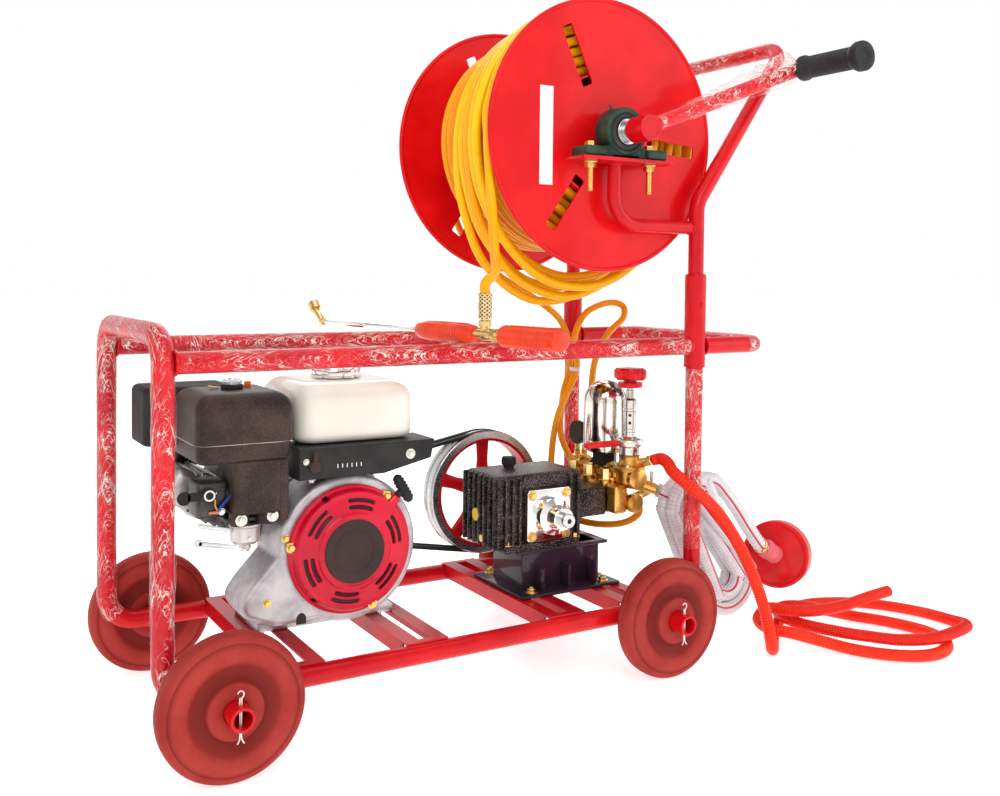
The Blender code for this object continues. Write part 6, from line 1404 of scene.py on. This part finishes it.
face = -0.0703
half = 0.0449
square = [(0, -half, 0), (half, -half, 0), (half, half, 0), (-half, half, 0), (-half, -half, 0),
    (-0.001, -half, 0)]
square = roundedPath(square, 0.006, 6)[:, :2] + (p["x"], p["z"])
nose = [(0.0126, 0.0), (0.0335, 0.0), (0.034, 0.002), (0.0335, 0.01), (0.032, 0.02), (0.026, 0.023),
    (0.0215, 0.025), (0.02, 0.03)]
nose += [(0.02, 0.045), (0.0185, 0.0465), (0.0126, 0.0465)]
bearing = [prism(square, face - 0.008, face, 0.0012, 2),
    lathe(nose, (p["x"], face - 0.0078, p["z"]), -back, 64, True)]
make("bearingCover", joined(*bearing), chromePlate, "trolley", ("pump_bearing_cover",), 40)
corners = [stud((p["x"] + a * 0.0355, face - 0.008, p["z"] + b * 0.0355), -back, 0.0062, 0.0052, 0.0088)
    for a in (-1, 1) for b in (-1, 1)]
make("bearingBolts", joined(*corners), brassPlate, "trolley", ("pump_bearing_cover",))
shaftEnd = [(0, 0), (0.011, 0), (0.0124, 0.0014), (0.0124, 0.319), (0.011, 0.3205), (0, 0.3205)]
shaftPiece = [lathe(shaftEnd, (p["x"], -0.14, p["z"]), back, 40)]
shaftPiece.append(slab((p["x"] - 0.0024, -0.139, p["z"] + 0.01), (p["x"] + 0.0024, -0.118, p["z"] + 0.0124),
    0.0008))
make("pumpShaft", joined(*shaftPiece), steelTurned, "pump_rotor", ("pump_crankshaft",))
darkEnd = lathe([(0, 0.0003), (0.004, 0.0003), (0.0044, 0), (0, 0)], (p["x"], -0.14, p["z"]), -back, 24)
make("shaftCentre", darkEnd, badgeDark, "pump_rotor", ("pump_crankshaft",))

pulleyAt = (p["x"], 0.157, p["z"])
rimRows = [(0.101, -0.0195), (0.1155, -0.0199), (0.1168, -0.019), (0.1168, -0.016), (0.108, -0.0125),
    (0.108, -0.008), (0.1168, -0.0045)]
rimRows += [(0.1168, 0.0045), (0.108, 0.008), (0.108, 0.0125), (0.1168, 0.016), (0.1168, 0.019),
    (0.1155, 0.0199), (0.101, 0.0195)]
make("pulleyRim", lathe(rimRows, pulleyAt, back, 128, True), steelTurned, "pump_rotor", ("pump_pulley",), 30)
inner = [(0.098, -0.0188), (0.1012, -0.0198), (0.1035, -0.02), (0.1035, 0.02), (0.1012, 0.0198),
    (0.098, 0.0188)]
spider = [lathe(inner, pulleyAt, back, 128, True)]
hub = [(0.0126, -0.0195), (0.0235, -0.0195), (0.0258, -0.017), (0.0258, 0.017), (0.0235, 0.0195),
    (0.0126, 0.0195)]
spider.append(lathe(hub, pulleyAt, back, 64, True))
for k in range(5):
    angle = math.radians(90 + 72 * k)
    way = np.array([math.cos(angle), 0, math.sin(angle)])
    start, end = np.array(pulleyAt) + way * 0.022, np.array(pulleyAt) + way * 0.1
    spread = densified([start, end], 0.006)
    wide = np.interp(np.linspace(0, 1, len(spread)), [0, 0.5, 1], [0.015, 0.0115, 0.014])
    oval = np.ones((len(spread), 20)) * wide[:, None]
    spoke = sweep(spread, oval, 20)
    spoke[0][:, 1] = 0.157 + (spoke[0][:, 1] - 0.157) * 0.55
    spider.append(spoke)
make("pulleySpider", joined(*spider), pulleyRed, "pump_rotor", ("pump_pulley",), 40)


def beltRun(y, thick, wide, outer):  # a loop round both pulleys
    a, b = np.array([e["x"], e["z"]]), np.array([p["x"], p["z"]])
    small, large = 0.0448, 0.1168
    far = np.linalg.norm(b - a)
    base = math.atan2(*(b - a)[::-1])
    lean = math.acos((small - large) / far)
    line = []
    for step in np.linspace(lean, 2 * math.pi - lean, 40):
        line.append(a + (small + outer) * np.array([math.cos(base + step), math.sin(base + step)]))
    for step in np.linspace(-lean, lean, 70):
        line.append(b + (large + outer) * np.array([math.cos(base + step), math.sin(base + step)]))
    line = np.array(line)
    rings = []
    for by, off in ((0.0, -wide / 2), (thick, -wide / 2 * 0.72), (thick, wide / 2 * 0.72), (0.0, wide / 2)):
        inside = []
        for point, centre in [(q, a) for q in line[:40]] + [(q, b) for q in line[40:]]:
            way = unit(point - centre)
            inside.append(point - way * by)
        inside = np.array(inside)
        rings.append(np.column_stack([inside[:, 0], np.full(len(inside), y + off), inside[:, 1]]))
    return capped(np.array(rings), True)


belts = [beltRun(0.157 + off, 0.0062, 0.0098, 0.001) for off in (-0.01025, 0.01025)]
make("driveBelt", joined(*belts), beltRubber, "trolley", ("drive_belt",), 40)
print("pulleys and belt placed")

bracket = [slab((0.5435, -0.0938, 0.1215), (0.7505, 0.0778, 0.128), 0.002),
    slab((0.564, -0.0575, 0.125), (0.73, 0.0415, 0.1968), 0.004, 3)]
bracket.append(slab((0.55, -0.064, 0.1905), (0.744, 0.048, 0.1968), 0.002))
for x in (0.59, 0.644, 0.7):
    bracket.append(slab((x, -0.085, 0.126), (x + 0.005, -0.056, 0.168), 0.0015))
make("pumpBracket", joined(*bracket), bracketBlack, "trolley", ("pump_bracket",), 40)
bolts = []
for x in (0.647 - 0.07575, 0.647 + 0.07575):
    for y in (-0.0778, 0.0618):
        bolts += [stud((x, y, 0.1279), up, 0.0072, 0.0058, 0.0108, 0.005),
            rod((x, y, 0.0915), (x, y, 0.13), 0.0036, 12)]
make("bracketBolts", joined(*bolts), brassPlate, "trolley", ("pump_bracket",))

# manifold, chamber, regulator and gauge
m = {"x": 0.79, "face": 0.7483, "out": 0.3073, "in": 0.2613}
deepBrass = cast("deepBrass", "manifold_brass", (0.72, 0.4, 0.09), (0.46, 0.22, 0.04), 0.32, 0.95, 320,
    0.0005, 0.35)
body = [slab((m["face"] + 0.0002, -0.0798, 0.2435), (0.7778, 0.0838, 0.2961), 0.007, 4)]
body.append(slab((m["face"] + 0.0002, -0.056, 0.238 + 0.006), (m["face"] + 0.006, 0.056, 0.2961), 0.002))
pipes = [(-0.0948, 0.1048, m["out"], 0.0195), (-0.0878, 0.0898, m["in"], 0.0168)]
for first, last, z, size in pipes:
    collar = [(size - 0.002, 0), (size + 0.0004, 0.0015), (size + 0.0004, 0.012), (size - 0.003, 0.014)]
    rows = collar + [(size - 0.003, last - first - 0.014), *[(r, last - first - h) for r, h in collar[2::-1]],
        (size - 0.002, last - first)]
    body.append(lathe([(0, 0), *rows, (0, last - first)], (m["x"], first, z), back, 48))
for y in (-0.038, 0.014, 0.066):
    body.append(rod((0.784, y, 0.2495), (0.784, y, 0.315), 0.0152, 40, 0.002))
    body.append(rod((0.77, y, 0.295), (0.77, y, 0.305), 0.012, 30, 0.001))
body.append(rod((0.79, -0.065, 0.295), (0.79, -0.065, 0.324), 0.024, 48, 0.003))
for y in (-0.07, -0.012, 0.04, 0.076):
    body.append(rod((0.7905, y - 0.004, m["out"]), (0.7905, y + 0.004, m["out"]), 0.021, 48, 0.001))
make("manifoldBody", joined(*body), castBrass, "trolley", ("plunger_manifold",), 40)
caps = [stud((0.75 + 0.006, y, 0.293), up, 0.0104, 0.03, 0, 0, 6) for y in (-0.038, 0.014, 0.066)]
caps += [stud((m["x"], 0.01, 0.319), up, 0.024, 0.0258, 0, 0, 6)]
caps[3] = spun(caps[3], (m["x"], 0.01, 0.33), up, 12)
brassCaps = [rod((0.756, y, 0.29), (0.756, y, 0.302), 0.0125, 32, 0.001) for y in (-0.038, 0.014, 0.066)]
make("valveCaps", joined(*caps[:3]), polishedBrass, "trolley", ("plunger_manifold",))
make("valveSeats", joined(*brassCaps), deepBrass, "trolley", ("plunger_manifold",))
make("chamberBase", caps[3], panelPlastic, "trolley", ("plunger_manifold",))
flange = [lathe([(0.0, 0.0), (0.0298, 0.0), (0.03, 0.002), (0.03, 0.007), (0.029, 0.009), (0.0, 0.009)],
    (m["x"], -0.065, 0.3203), up, 56)]
column = [(0.0, 0.0), (0.02, 0.0), (0.02, 0.006), (0.0185, 0.008), (0.0185, 0.016), (0.02, 0.018),
    (0.02, 0.0185), (0.0, 0.0188)]
flange.append(lathe(column, (m["x"], -0.065, 0.3292), up, 48))
make("regulatorSeat", joined(*flange), deepBrass, "trolley", ("plunger_manifold",), 40)
seatBolts = []
for k in range(4):
    angle = math.radians(45 + 90 * k)
    at = (m["x"] + 0.0245 * math.cos(angle), -0.065 + 0.0245 * math.sin(angle), 0.329)
    seatBolts.append(stud(at, up, 0.0036, 0.0034, 0.0048))
make("seatBolts", joined(*seatBolts), zincPlate, "trolley", ("plunger_manifold",))
foot = np.array([m["x"], -0.065, 0.3483])
silverBright = metal("regulatorSteel", "chrome", (0.62, 0.6, 0.57), (0.2, 0.18, 0.16), 0.16, (30, 30, 2), 0.8)
cylinderRows = [(0.0, 0.0), (0.0175, 0.0), (0.0189, 0.0015), (0.0189, 0.0145), (0.017, 0.016), (0.017, 0.017),
    (0.017, 0.03), (0.015, 0.0315)]
cylinderRows += [(0.0124, 0.0345), (0.0124, 0.042), (0.0112, 0.043), (0.0112, 0.048), (0.0124, 0.049),
    (0.0124, 0.08), (0.0112, 0.0812), (0.0112, 0.0852)]
cylinderRows += [(0.0124, 0.0864), (0.0124, 0.101), (0.011, 0.1022), (0.0075, 0.1045), (0.0075, 0.119),
    (0.0055, 0.12), (0.0055, 0.1238), (0.0, 0.1238)]
make("regulatorBody", lathe(cylinderRows, foot, up, 56), silverBright, "trolley", ("plunger_manifold",), 35)
spots = [lathe([(0, 0.0006), (0.0024, 0.0006), (0.0028, 0), (0, 0)], foot + [-0.0075, -0.0101, z],
    unit([-0.6, -0.8, 0]), 20) for z in (0.06, 0.074)]
make("regulatorPins", joined(*spots), badgeDark, "trolley", ("plunger_manifold",))
elbow = sweep(roundedPath([(0.796, -0.064, 0.329), (0.802, -0.072, 0.331), (0.812, -0.1036, 0.3422)], 0.01),
    0.0088, 24)
nut = stud((0.8105, -0.0985, 0.3404), unit([0.1, -0.9, 0.3]), 0.0104, 0.01, 0, 0, 6)
make("returnElbow", joined(elbow, nut), polishedBrass, "trolley", ("plunger_manifold",), 40)
cock = [rod((0.79, -0.062, 0.262), (0.829, -0.0737, 0.2799), 0.0088, 28, 0.001)]
cock.append(stud((0.805, -0.0663, 0.269), unit([0.8, -0.28, 0.37]), 0.0112, 0.011, 0, 0, 6))
make("outletCock", joined(*cock), polishedBrass, "trolley", ("plunger_manifold",), 40)
barb = rod((0.784, -0.07, 0.3043), (0.827, -0.097, 0.286), 0.0108, 28, 0.001)
make("suctionSpigot", barb, castBrass, "trolley", ("plunger_manifold",))
stemPiece = [(0.0, 0.0), (0.007, 0.0), (0.007, 0.006), (0.0055, 0.008), (0.0055, 0.016), (0.007, 0.018),
    (0.007, 0.0325), (0.0, 0.0328)]
make("gaugeStem", lathe(stemPiece, (m["x"], 0.098, 0.3005), up, 28), polishedBrass, "trolley",
    ("plunger_manifold",))
neckRing = rod((m["x"], 0.01, 0.313), (m["x"], 0.01, 0.32), 0.023, 48, 0.002)
make("chamberNeck", neckRing, deepBrass, "trolley", ("plunger_manifold",))

low = 0.3453
bell = [(0.0, 0.0), (0.036, 0.0), (0.04, 0.0015), (0.0413, 0.005), (0.0413, 0.02), (0.0408, 0.0215),
    (0.0413, 0.023), (0.0413, 0.093)]
bell += [(0.0413 - 0.0413 * (1 - math.cos(t)), 0.093 + 0.0415 * math.sin(t))
    for t in np.linspace(0.08, math.pi / 2, 16)]
bandedReflections = metal("chamberSteel", "chrome", (0.8, 0.74, 0.66), (0.5, 0.46, 0.4), 0.12, tarnish=0.2)
# dark and bright upright bands painted into the chrome's colour: painted reflections
reflectionBands = bandedReflections.noise(1.0, 3, 0.6, bandedReflections.spot((75, 75, 1.5)))
bandedReflections.wire(Base_Color=bandedReflections.blend(reflectionBands.between(0.42, 0.56), (0.1, 0.08, 0.07), (0.86, 0.8, 0.7)))
make("airChamber", lathe(bell, (m["x"], 0.01, low), up, 72), bandedReflections, "trolley", ("air_chamber",), 40)

knobAt = np.array([m["x"], -0.065, 0.4728])
under = lathe([(0.0058, 0), (0.0215, 0), (0.0225, 0.001), (0.0225, 0.008), (0.0215, 0.0092),
    (0.0058, 0.0092)], knobAt, up, 48, True)
neck = lathe([(0.0, 0.009), (0.012, 0.0092), (0.012, 0.014), (0.0, 0.0142)], knobAt, up, 28)
lobes = plate(gear(6, 0.0302, 0.0262, 0.5, 20), knobAt + up * 0.0138, up, right, 0.0208, 0.004)
make("regulatorKnob", joined(under, neck, lobes), knobPlastic, "regulator_knob", ("regulator_knob",), 50)
leverZ = 0.3663
grip = [slab((0.6905, -0.0735, leverZ + 0.0002), (0.77, -0.0565, leverZ + 0.0106), 0.0042, 4)]
make("releaseGrip", joined(*grip), knobPlastic, "release_lever", ("release_lever",))
hoop = lathe([(0.0197, 0.0), (0.0265, 0.0), (0.027, 0.0008), (0.027, 0.0102), (0.0265, 0.011),
    (0.0197, 0.011)], (m["x"], -0.065, leverZ), up, 48, True)
make("releaseRing", hoop, zincPlate, "release_lever", ("release_lever",))
gaugeAt = np.array([m["x"], 0.098, 0.3686])
dial = lathe([(0, -0.0058), (0.022, -0.0058), (0.0228, -0.0048), (0.0228, 0.0048), (0.022, 0.0058),
    (0.0205, 0.005), (0, 0.0046)], gaugeAt, -right, 48)
make("gaugeCase", dial, panelPlastic, "trolley", ("pressure_gauge",))
glass = lathe([(0, 0.0054), (0.02, 0.0052), (0.0204, 0.0046), (0, 0.0046)], gaugeAt, -right, 48)
make("gaugeFace", glass, badgeDark, "trolley", ("pressure_gauge",))
spout = rod((m["x"], 0.098, 0.3338), (m["x"], 0.098, 0.347), 0.0058, 24, 0.001)
make("gaugeFoot", spout, polishedBrass, "trolley", ("pressure_gauge",))
cockWay, cockTip = unit([0.86126, -0.30144, 0.4091]), np.array([0.8303, -0.0741, 0.28045])
lever = [rod(cockTip, cockTip + cockWay * 0.0098, 0.0078, 28, 0.0008)]
lever.append(rod(cockTip + cockWay * 0.005 + up * 0.004, cockTip + cockWay * 0.005 + up * 0.033, 0.0031, 16,
    0.001))
make("cockLever", joined(*lever), steelTurned, "outlet_cock_lever", ("outlet_cock_lever",))
print("manifold placed")


# gun: grips, tee, ferrule, lance and nozzle along its own axis
def alongGun(profile, first, sides=40):  # a turned piece; profile as (radius, share of the way)
    start, way = onGun(first), unit(onGun(1.0) - onGun(0.0))
    return lathe(profile, start, way, sides)


def gripProfile(length, size, ends=0.006, rings=70):
    along = np.linspace(0, length, rings)
    edge = np.clip(np.minimum(along, length - along) / ends, 0, 1)
    ribs = 0.0007 * np.sin(along * 2 * math.pi / 0.0065) * (np.abs(along - length / 2) < length * 0.36)
    radius = (size - 0.0012) * (0.72 + 0.28 * np.sqrt(1 - (1 - edge) ** 2)) + ribs
    return [(0, 0), *zip(radius, along), (0, length)]


make("gunHandle", alongGun(gripProfile(0.1264, 0.0175), -0.2208), gunPlastic, "gun_handle", ("gun_handle",),
    50)
make("foreGrip", alongGun(gripProfile(0.144, 0.0165, 0.042), -0.028), gunPlastic, "trolley", ("gun_barrel",),
    50)
tee = [(0, 0.0), (0.0084, 0.0), (0.0094, 0.001), (0.0094, 0.012), (0.008, 0.013), (0.008, 0.026),
    (0.0093, 0.028), (0.0093, 0.056), (0.008, 0.057), (0.008, 0.068), (0, 0.068)]
brass = [alongGun(tee, -0.0935), stud(onGun(-0.08), unit(onGun(1.0) - onGun(0.0)), 0.0104, 0.01, 0, 0, 6)]
stem = onGun(ferrule["station"])
brass.append(lathe([(0, 0), (0.0078, 0), (0.0078, 0.018), (0.0066, 0.019), (0.0066, 0.024), (0, 0.024)], stem,
    up, 32))
brass.append(stud(stem + up * 0.0125, up, 0.0098, 0.009, 0, 0, 6))
make("gunTee", joined(*brass), polishedBrass, "trolley", ("gun_barrel",), 40)
lance = [(0, 0), (0.006, 0), (0.006, 0.01), (0.0044, 0.0125), (0.0044, 0.158), (0.005, 0.159), (0.005, 0.168),
    (0.0044, 0.169), (0.0044, 0.318), (0, 0.318)]
make("gunLance", alongGun(lance, 0.115, 28), chromePlate, "trolley", ("gun_barrel",))
tip = [lathe([(0, 0), (0.0056, 0.0), (0.0062, 0.001), (0.0062, 0.029), (0.005, 0.0305), (0, 0.0305)],
    onGun(0.4275, 0.0005), onGun(0.451, 0.022) - onGun(0.4275, 0), 28)]
tip.append(stud(onGun(0.418), unit(onGun(1.0) - onGun(0.0)), 0.0074, 0.01, 0, 0, 6))
bell = [(0, 0), (0.008, 0.0), (0.0108, 0.002), (0.0108, 0.006), (0.0092, 0.0075), (0.0092, 0.0105),
    (0.0108, 0.012), (0.0108, 0.0165), (0.006, 0.018), (0.0028, 0.016), (0, 0.014)]
tip.append(lathe(bell, onGun(0.4495, 0.0205), onGun(0.461, 0.034) - onGun(0.4495, 0.0205), 32))
make("gunNozzle", joined(*tip), polishedBrass, "trolley", ("gun_barrel",), 40)
braid = Finish("braidedBrass", "gun_brass", (0.78, 0.56, 0.26), 0.32, 1.0)
lay = braid.node("Attribute", {"attribute_name": "lay"}, out=1)
turnRound = sums("ARCTAN2", braid.apart(lay, 1), braid.apart(lay, 0))
weft, warp = (turnRound * 8 + braid.apart(lay, 2) * 1100).sine(), (turnRound * 8 - braid.apart(lay,
    2) * 1100).sine()
knit = sums("MAXIMUM", weft, warp)
braid.wire(Base_Color=braid.blend(knit.between(0.1, 0.9), (0.22, 0.13, 0.05), (0.86, 0.66, 0.34)),
    Roughness=0.5 - 0.2 * knit)
braid.bumps(knit, 0.5, 0.0006)
sleeve = densified([stem + up * 0.0244, stem + up * 0.0617], 0.0016)
ferruleSize = 0.0096 + 0.0007 * np.cos(np.linspace(0, 2 * math.pi, len(sleeve))) ** 2
ferrulePiece = make("hoseFerrule", sweep(sleeve, ferruleSize, 32), braid, "trolley", ("gun_barrel",), 50,
    hoseMarks(sleeve, 32))

# hoses between the manifold and the reel's swivel, tied together half way
out, inlet, rearX, shaftEndY = m["out"], m["in"], t["rear"], 0.2327
toReel = [(0.79, 0.1053, out), (0.79, 0.113, out), (0.788, 0.126, 0.3183), (0.778, 0.142, 0.3643),
    (0.794, 0.158, 0.4353)]
toReel += [(rearX - 0.021, 0.166, 0.4903), (rearX - 0.03, 0.16, 0.545), (rearX - 0.052, 0.164, 0.592),
    (0.725, 0.182, 0.638)]
toReel += [(0.66, 0.202, 0.68), (0.606, 0.232, 0.745), (0.584, 0.252, 0.825), (0.6, 0.266, 0.886),
    (0.634, 0.268, 0.91)]
toReel += [(0.652, 0.255, 0.912), (0.655, 0.243, 0.912), (0.655, shaftEndY, 0.912)]
spare = [(0.8073, -0.02, inlet), (0.818, -0.02, inlet), (0.836, -0.034, inlet - 0.014),
    (0.834, -0.038, inlet - 0.034)]
spare += [(0.81, -0.018, inlet - 0.052), (0.776, 0.022, inlet - 0.057), (0.75, 0.064, inlet - 0.048),
    (0.74, 0.1, inlet - 0.018)]
spare += [(0.744, 0.124, 0.2943), (0.766, 0.138, 0.3903), (rearX - 0.018, 0.147, 0.4853),
    (rearX - 0.03, 0.138, 0.55)]
spare += [(0.828, 0.132, 0.6), (0.876, 0.124, 0.622), (0.908, 0.114, 0.616), (0.9, 0.102, 0.592),
    (0.864, 0.104, 0.56)]
spare += [(0.842, 0.116, 0.505), (0.838, 0.124, 0.43), (0.832, 0.128, 0.35), (0.818, 0.126, 0.29),
    (0.798, 0.116, inlet + 0.009)]
spare += [(0.79, 0.1, inlet), (0.79, 0.0903, inlet)]
for name, route in (("feedToReel", toReel), ("feedSpare", spare)):
    hosePiece(name, flowing(route, 0.004), 0.0064, 18, feedAmber, "trolley", ("feed_hoses",))
tieLow, tieHigh = np.array(spare[10]), np.array(toReel[5])
tieBand = slab(tieLow - [0.0073, 0.0073, 0.0018], [tieHigh[0] + 0.0073, tieHigh[1] + 0.0073,
    tieHigh[2] + 0.0018], 0.0018)
make("feedTie", tieBand, clearNut, "trolley", ("feed_hoses",))

# strainer at the suction hose's end
face, normal = np.array([1.1, -0.13, 0.138]), unit([-0.85, -0.5, 0.1])
rim = [(0.05, 0.0), (0.0515, -0.0008), (0.056, -0.001), (0.06, 0.0), (0.064, -0.003), (0.0648, -0.008),
    (0.0645, -0.03), (0.06, -0.035), (0, -0.0358), (0, -0.004), (0.05, -0.004)]
make("strainerRim", lathe(rim, face, normal, 72), knobPlastic, "trolley", ("suction_strainer",), 40)
mesh = Finish("strainerMesh", "black_plastic", (0.03, 0.02, 0.02), 0.5)
holes = mesh.cells(260)
mesh.wire(Base_Color=mesh.blend(holes.between(0.25, 0.4), (0.008, 0.004, 0.006), (0.16, 0.03, 0.035)))
make("strainerFace", lathe([(0, 0), (0.05, 0.0), (0.0508, -0.0045), (0, -0.005)], face - normal * 0.0016,
    normal, 60), mesh, "trolley", ("suction_strainer",))
neckWay = unit([-0.86, -0.12, 0.5])
neck = [(0, 0.0), (0.0172, 0.0), (0.0172, 0.025), (0.0185, 0.0262), (0.0185, 0.033), (0.016, 0.0345),
    (0.015, 0.043), (0, 0.043)]
collarPink = moulded("collarPink", "knob_red", (0.8, 0.2, 0.22), (0.66, 0.12, 0.14), 0.4)
collar = make("strainerNeck", lathe(neck, face, neckWay, 40), collarPink, "trolley", ("suction_strainer",),
    40)
clamp = lathe([(0.0142, 0.0), (0.0152, 0.0), (0.0155, 0.001), (0.0155, 0.008), (0.0152, 0.009),
    (0.0142, 0.009)], face + neckWay * 0.048, neckWay, 40, True)
clampBand = make("strainerClamp", clamp, brassPlate, "trolley", ("suction_strainer",))


# each hose path thinned to about 3900 points at most; the thinned route is not kept
def declared(path):
    every = max(1, len(path) // 3900 + 1)
    route = np.asarray(path)[::every] if every > 1 else np.asarray(path)
    if np.any(route[-1] != path[-1]):
        route = np.vstack([route, path[-1:]])


declared(woundPath)
declared(loosePath)
declared(returnPath)
declared(suctionPath)
print("gun, feeds and strainer placed")
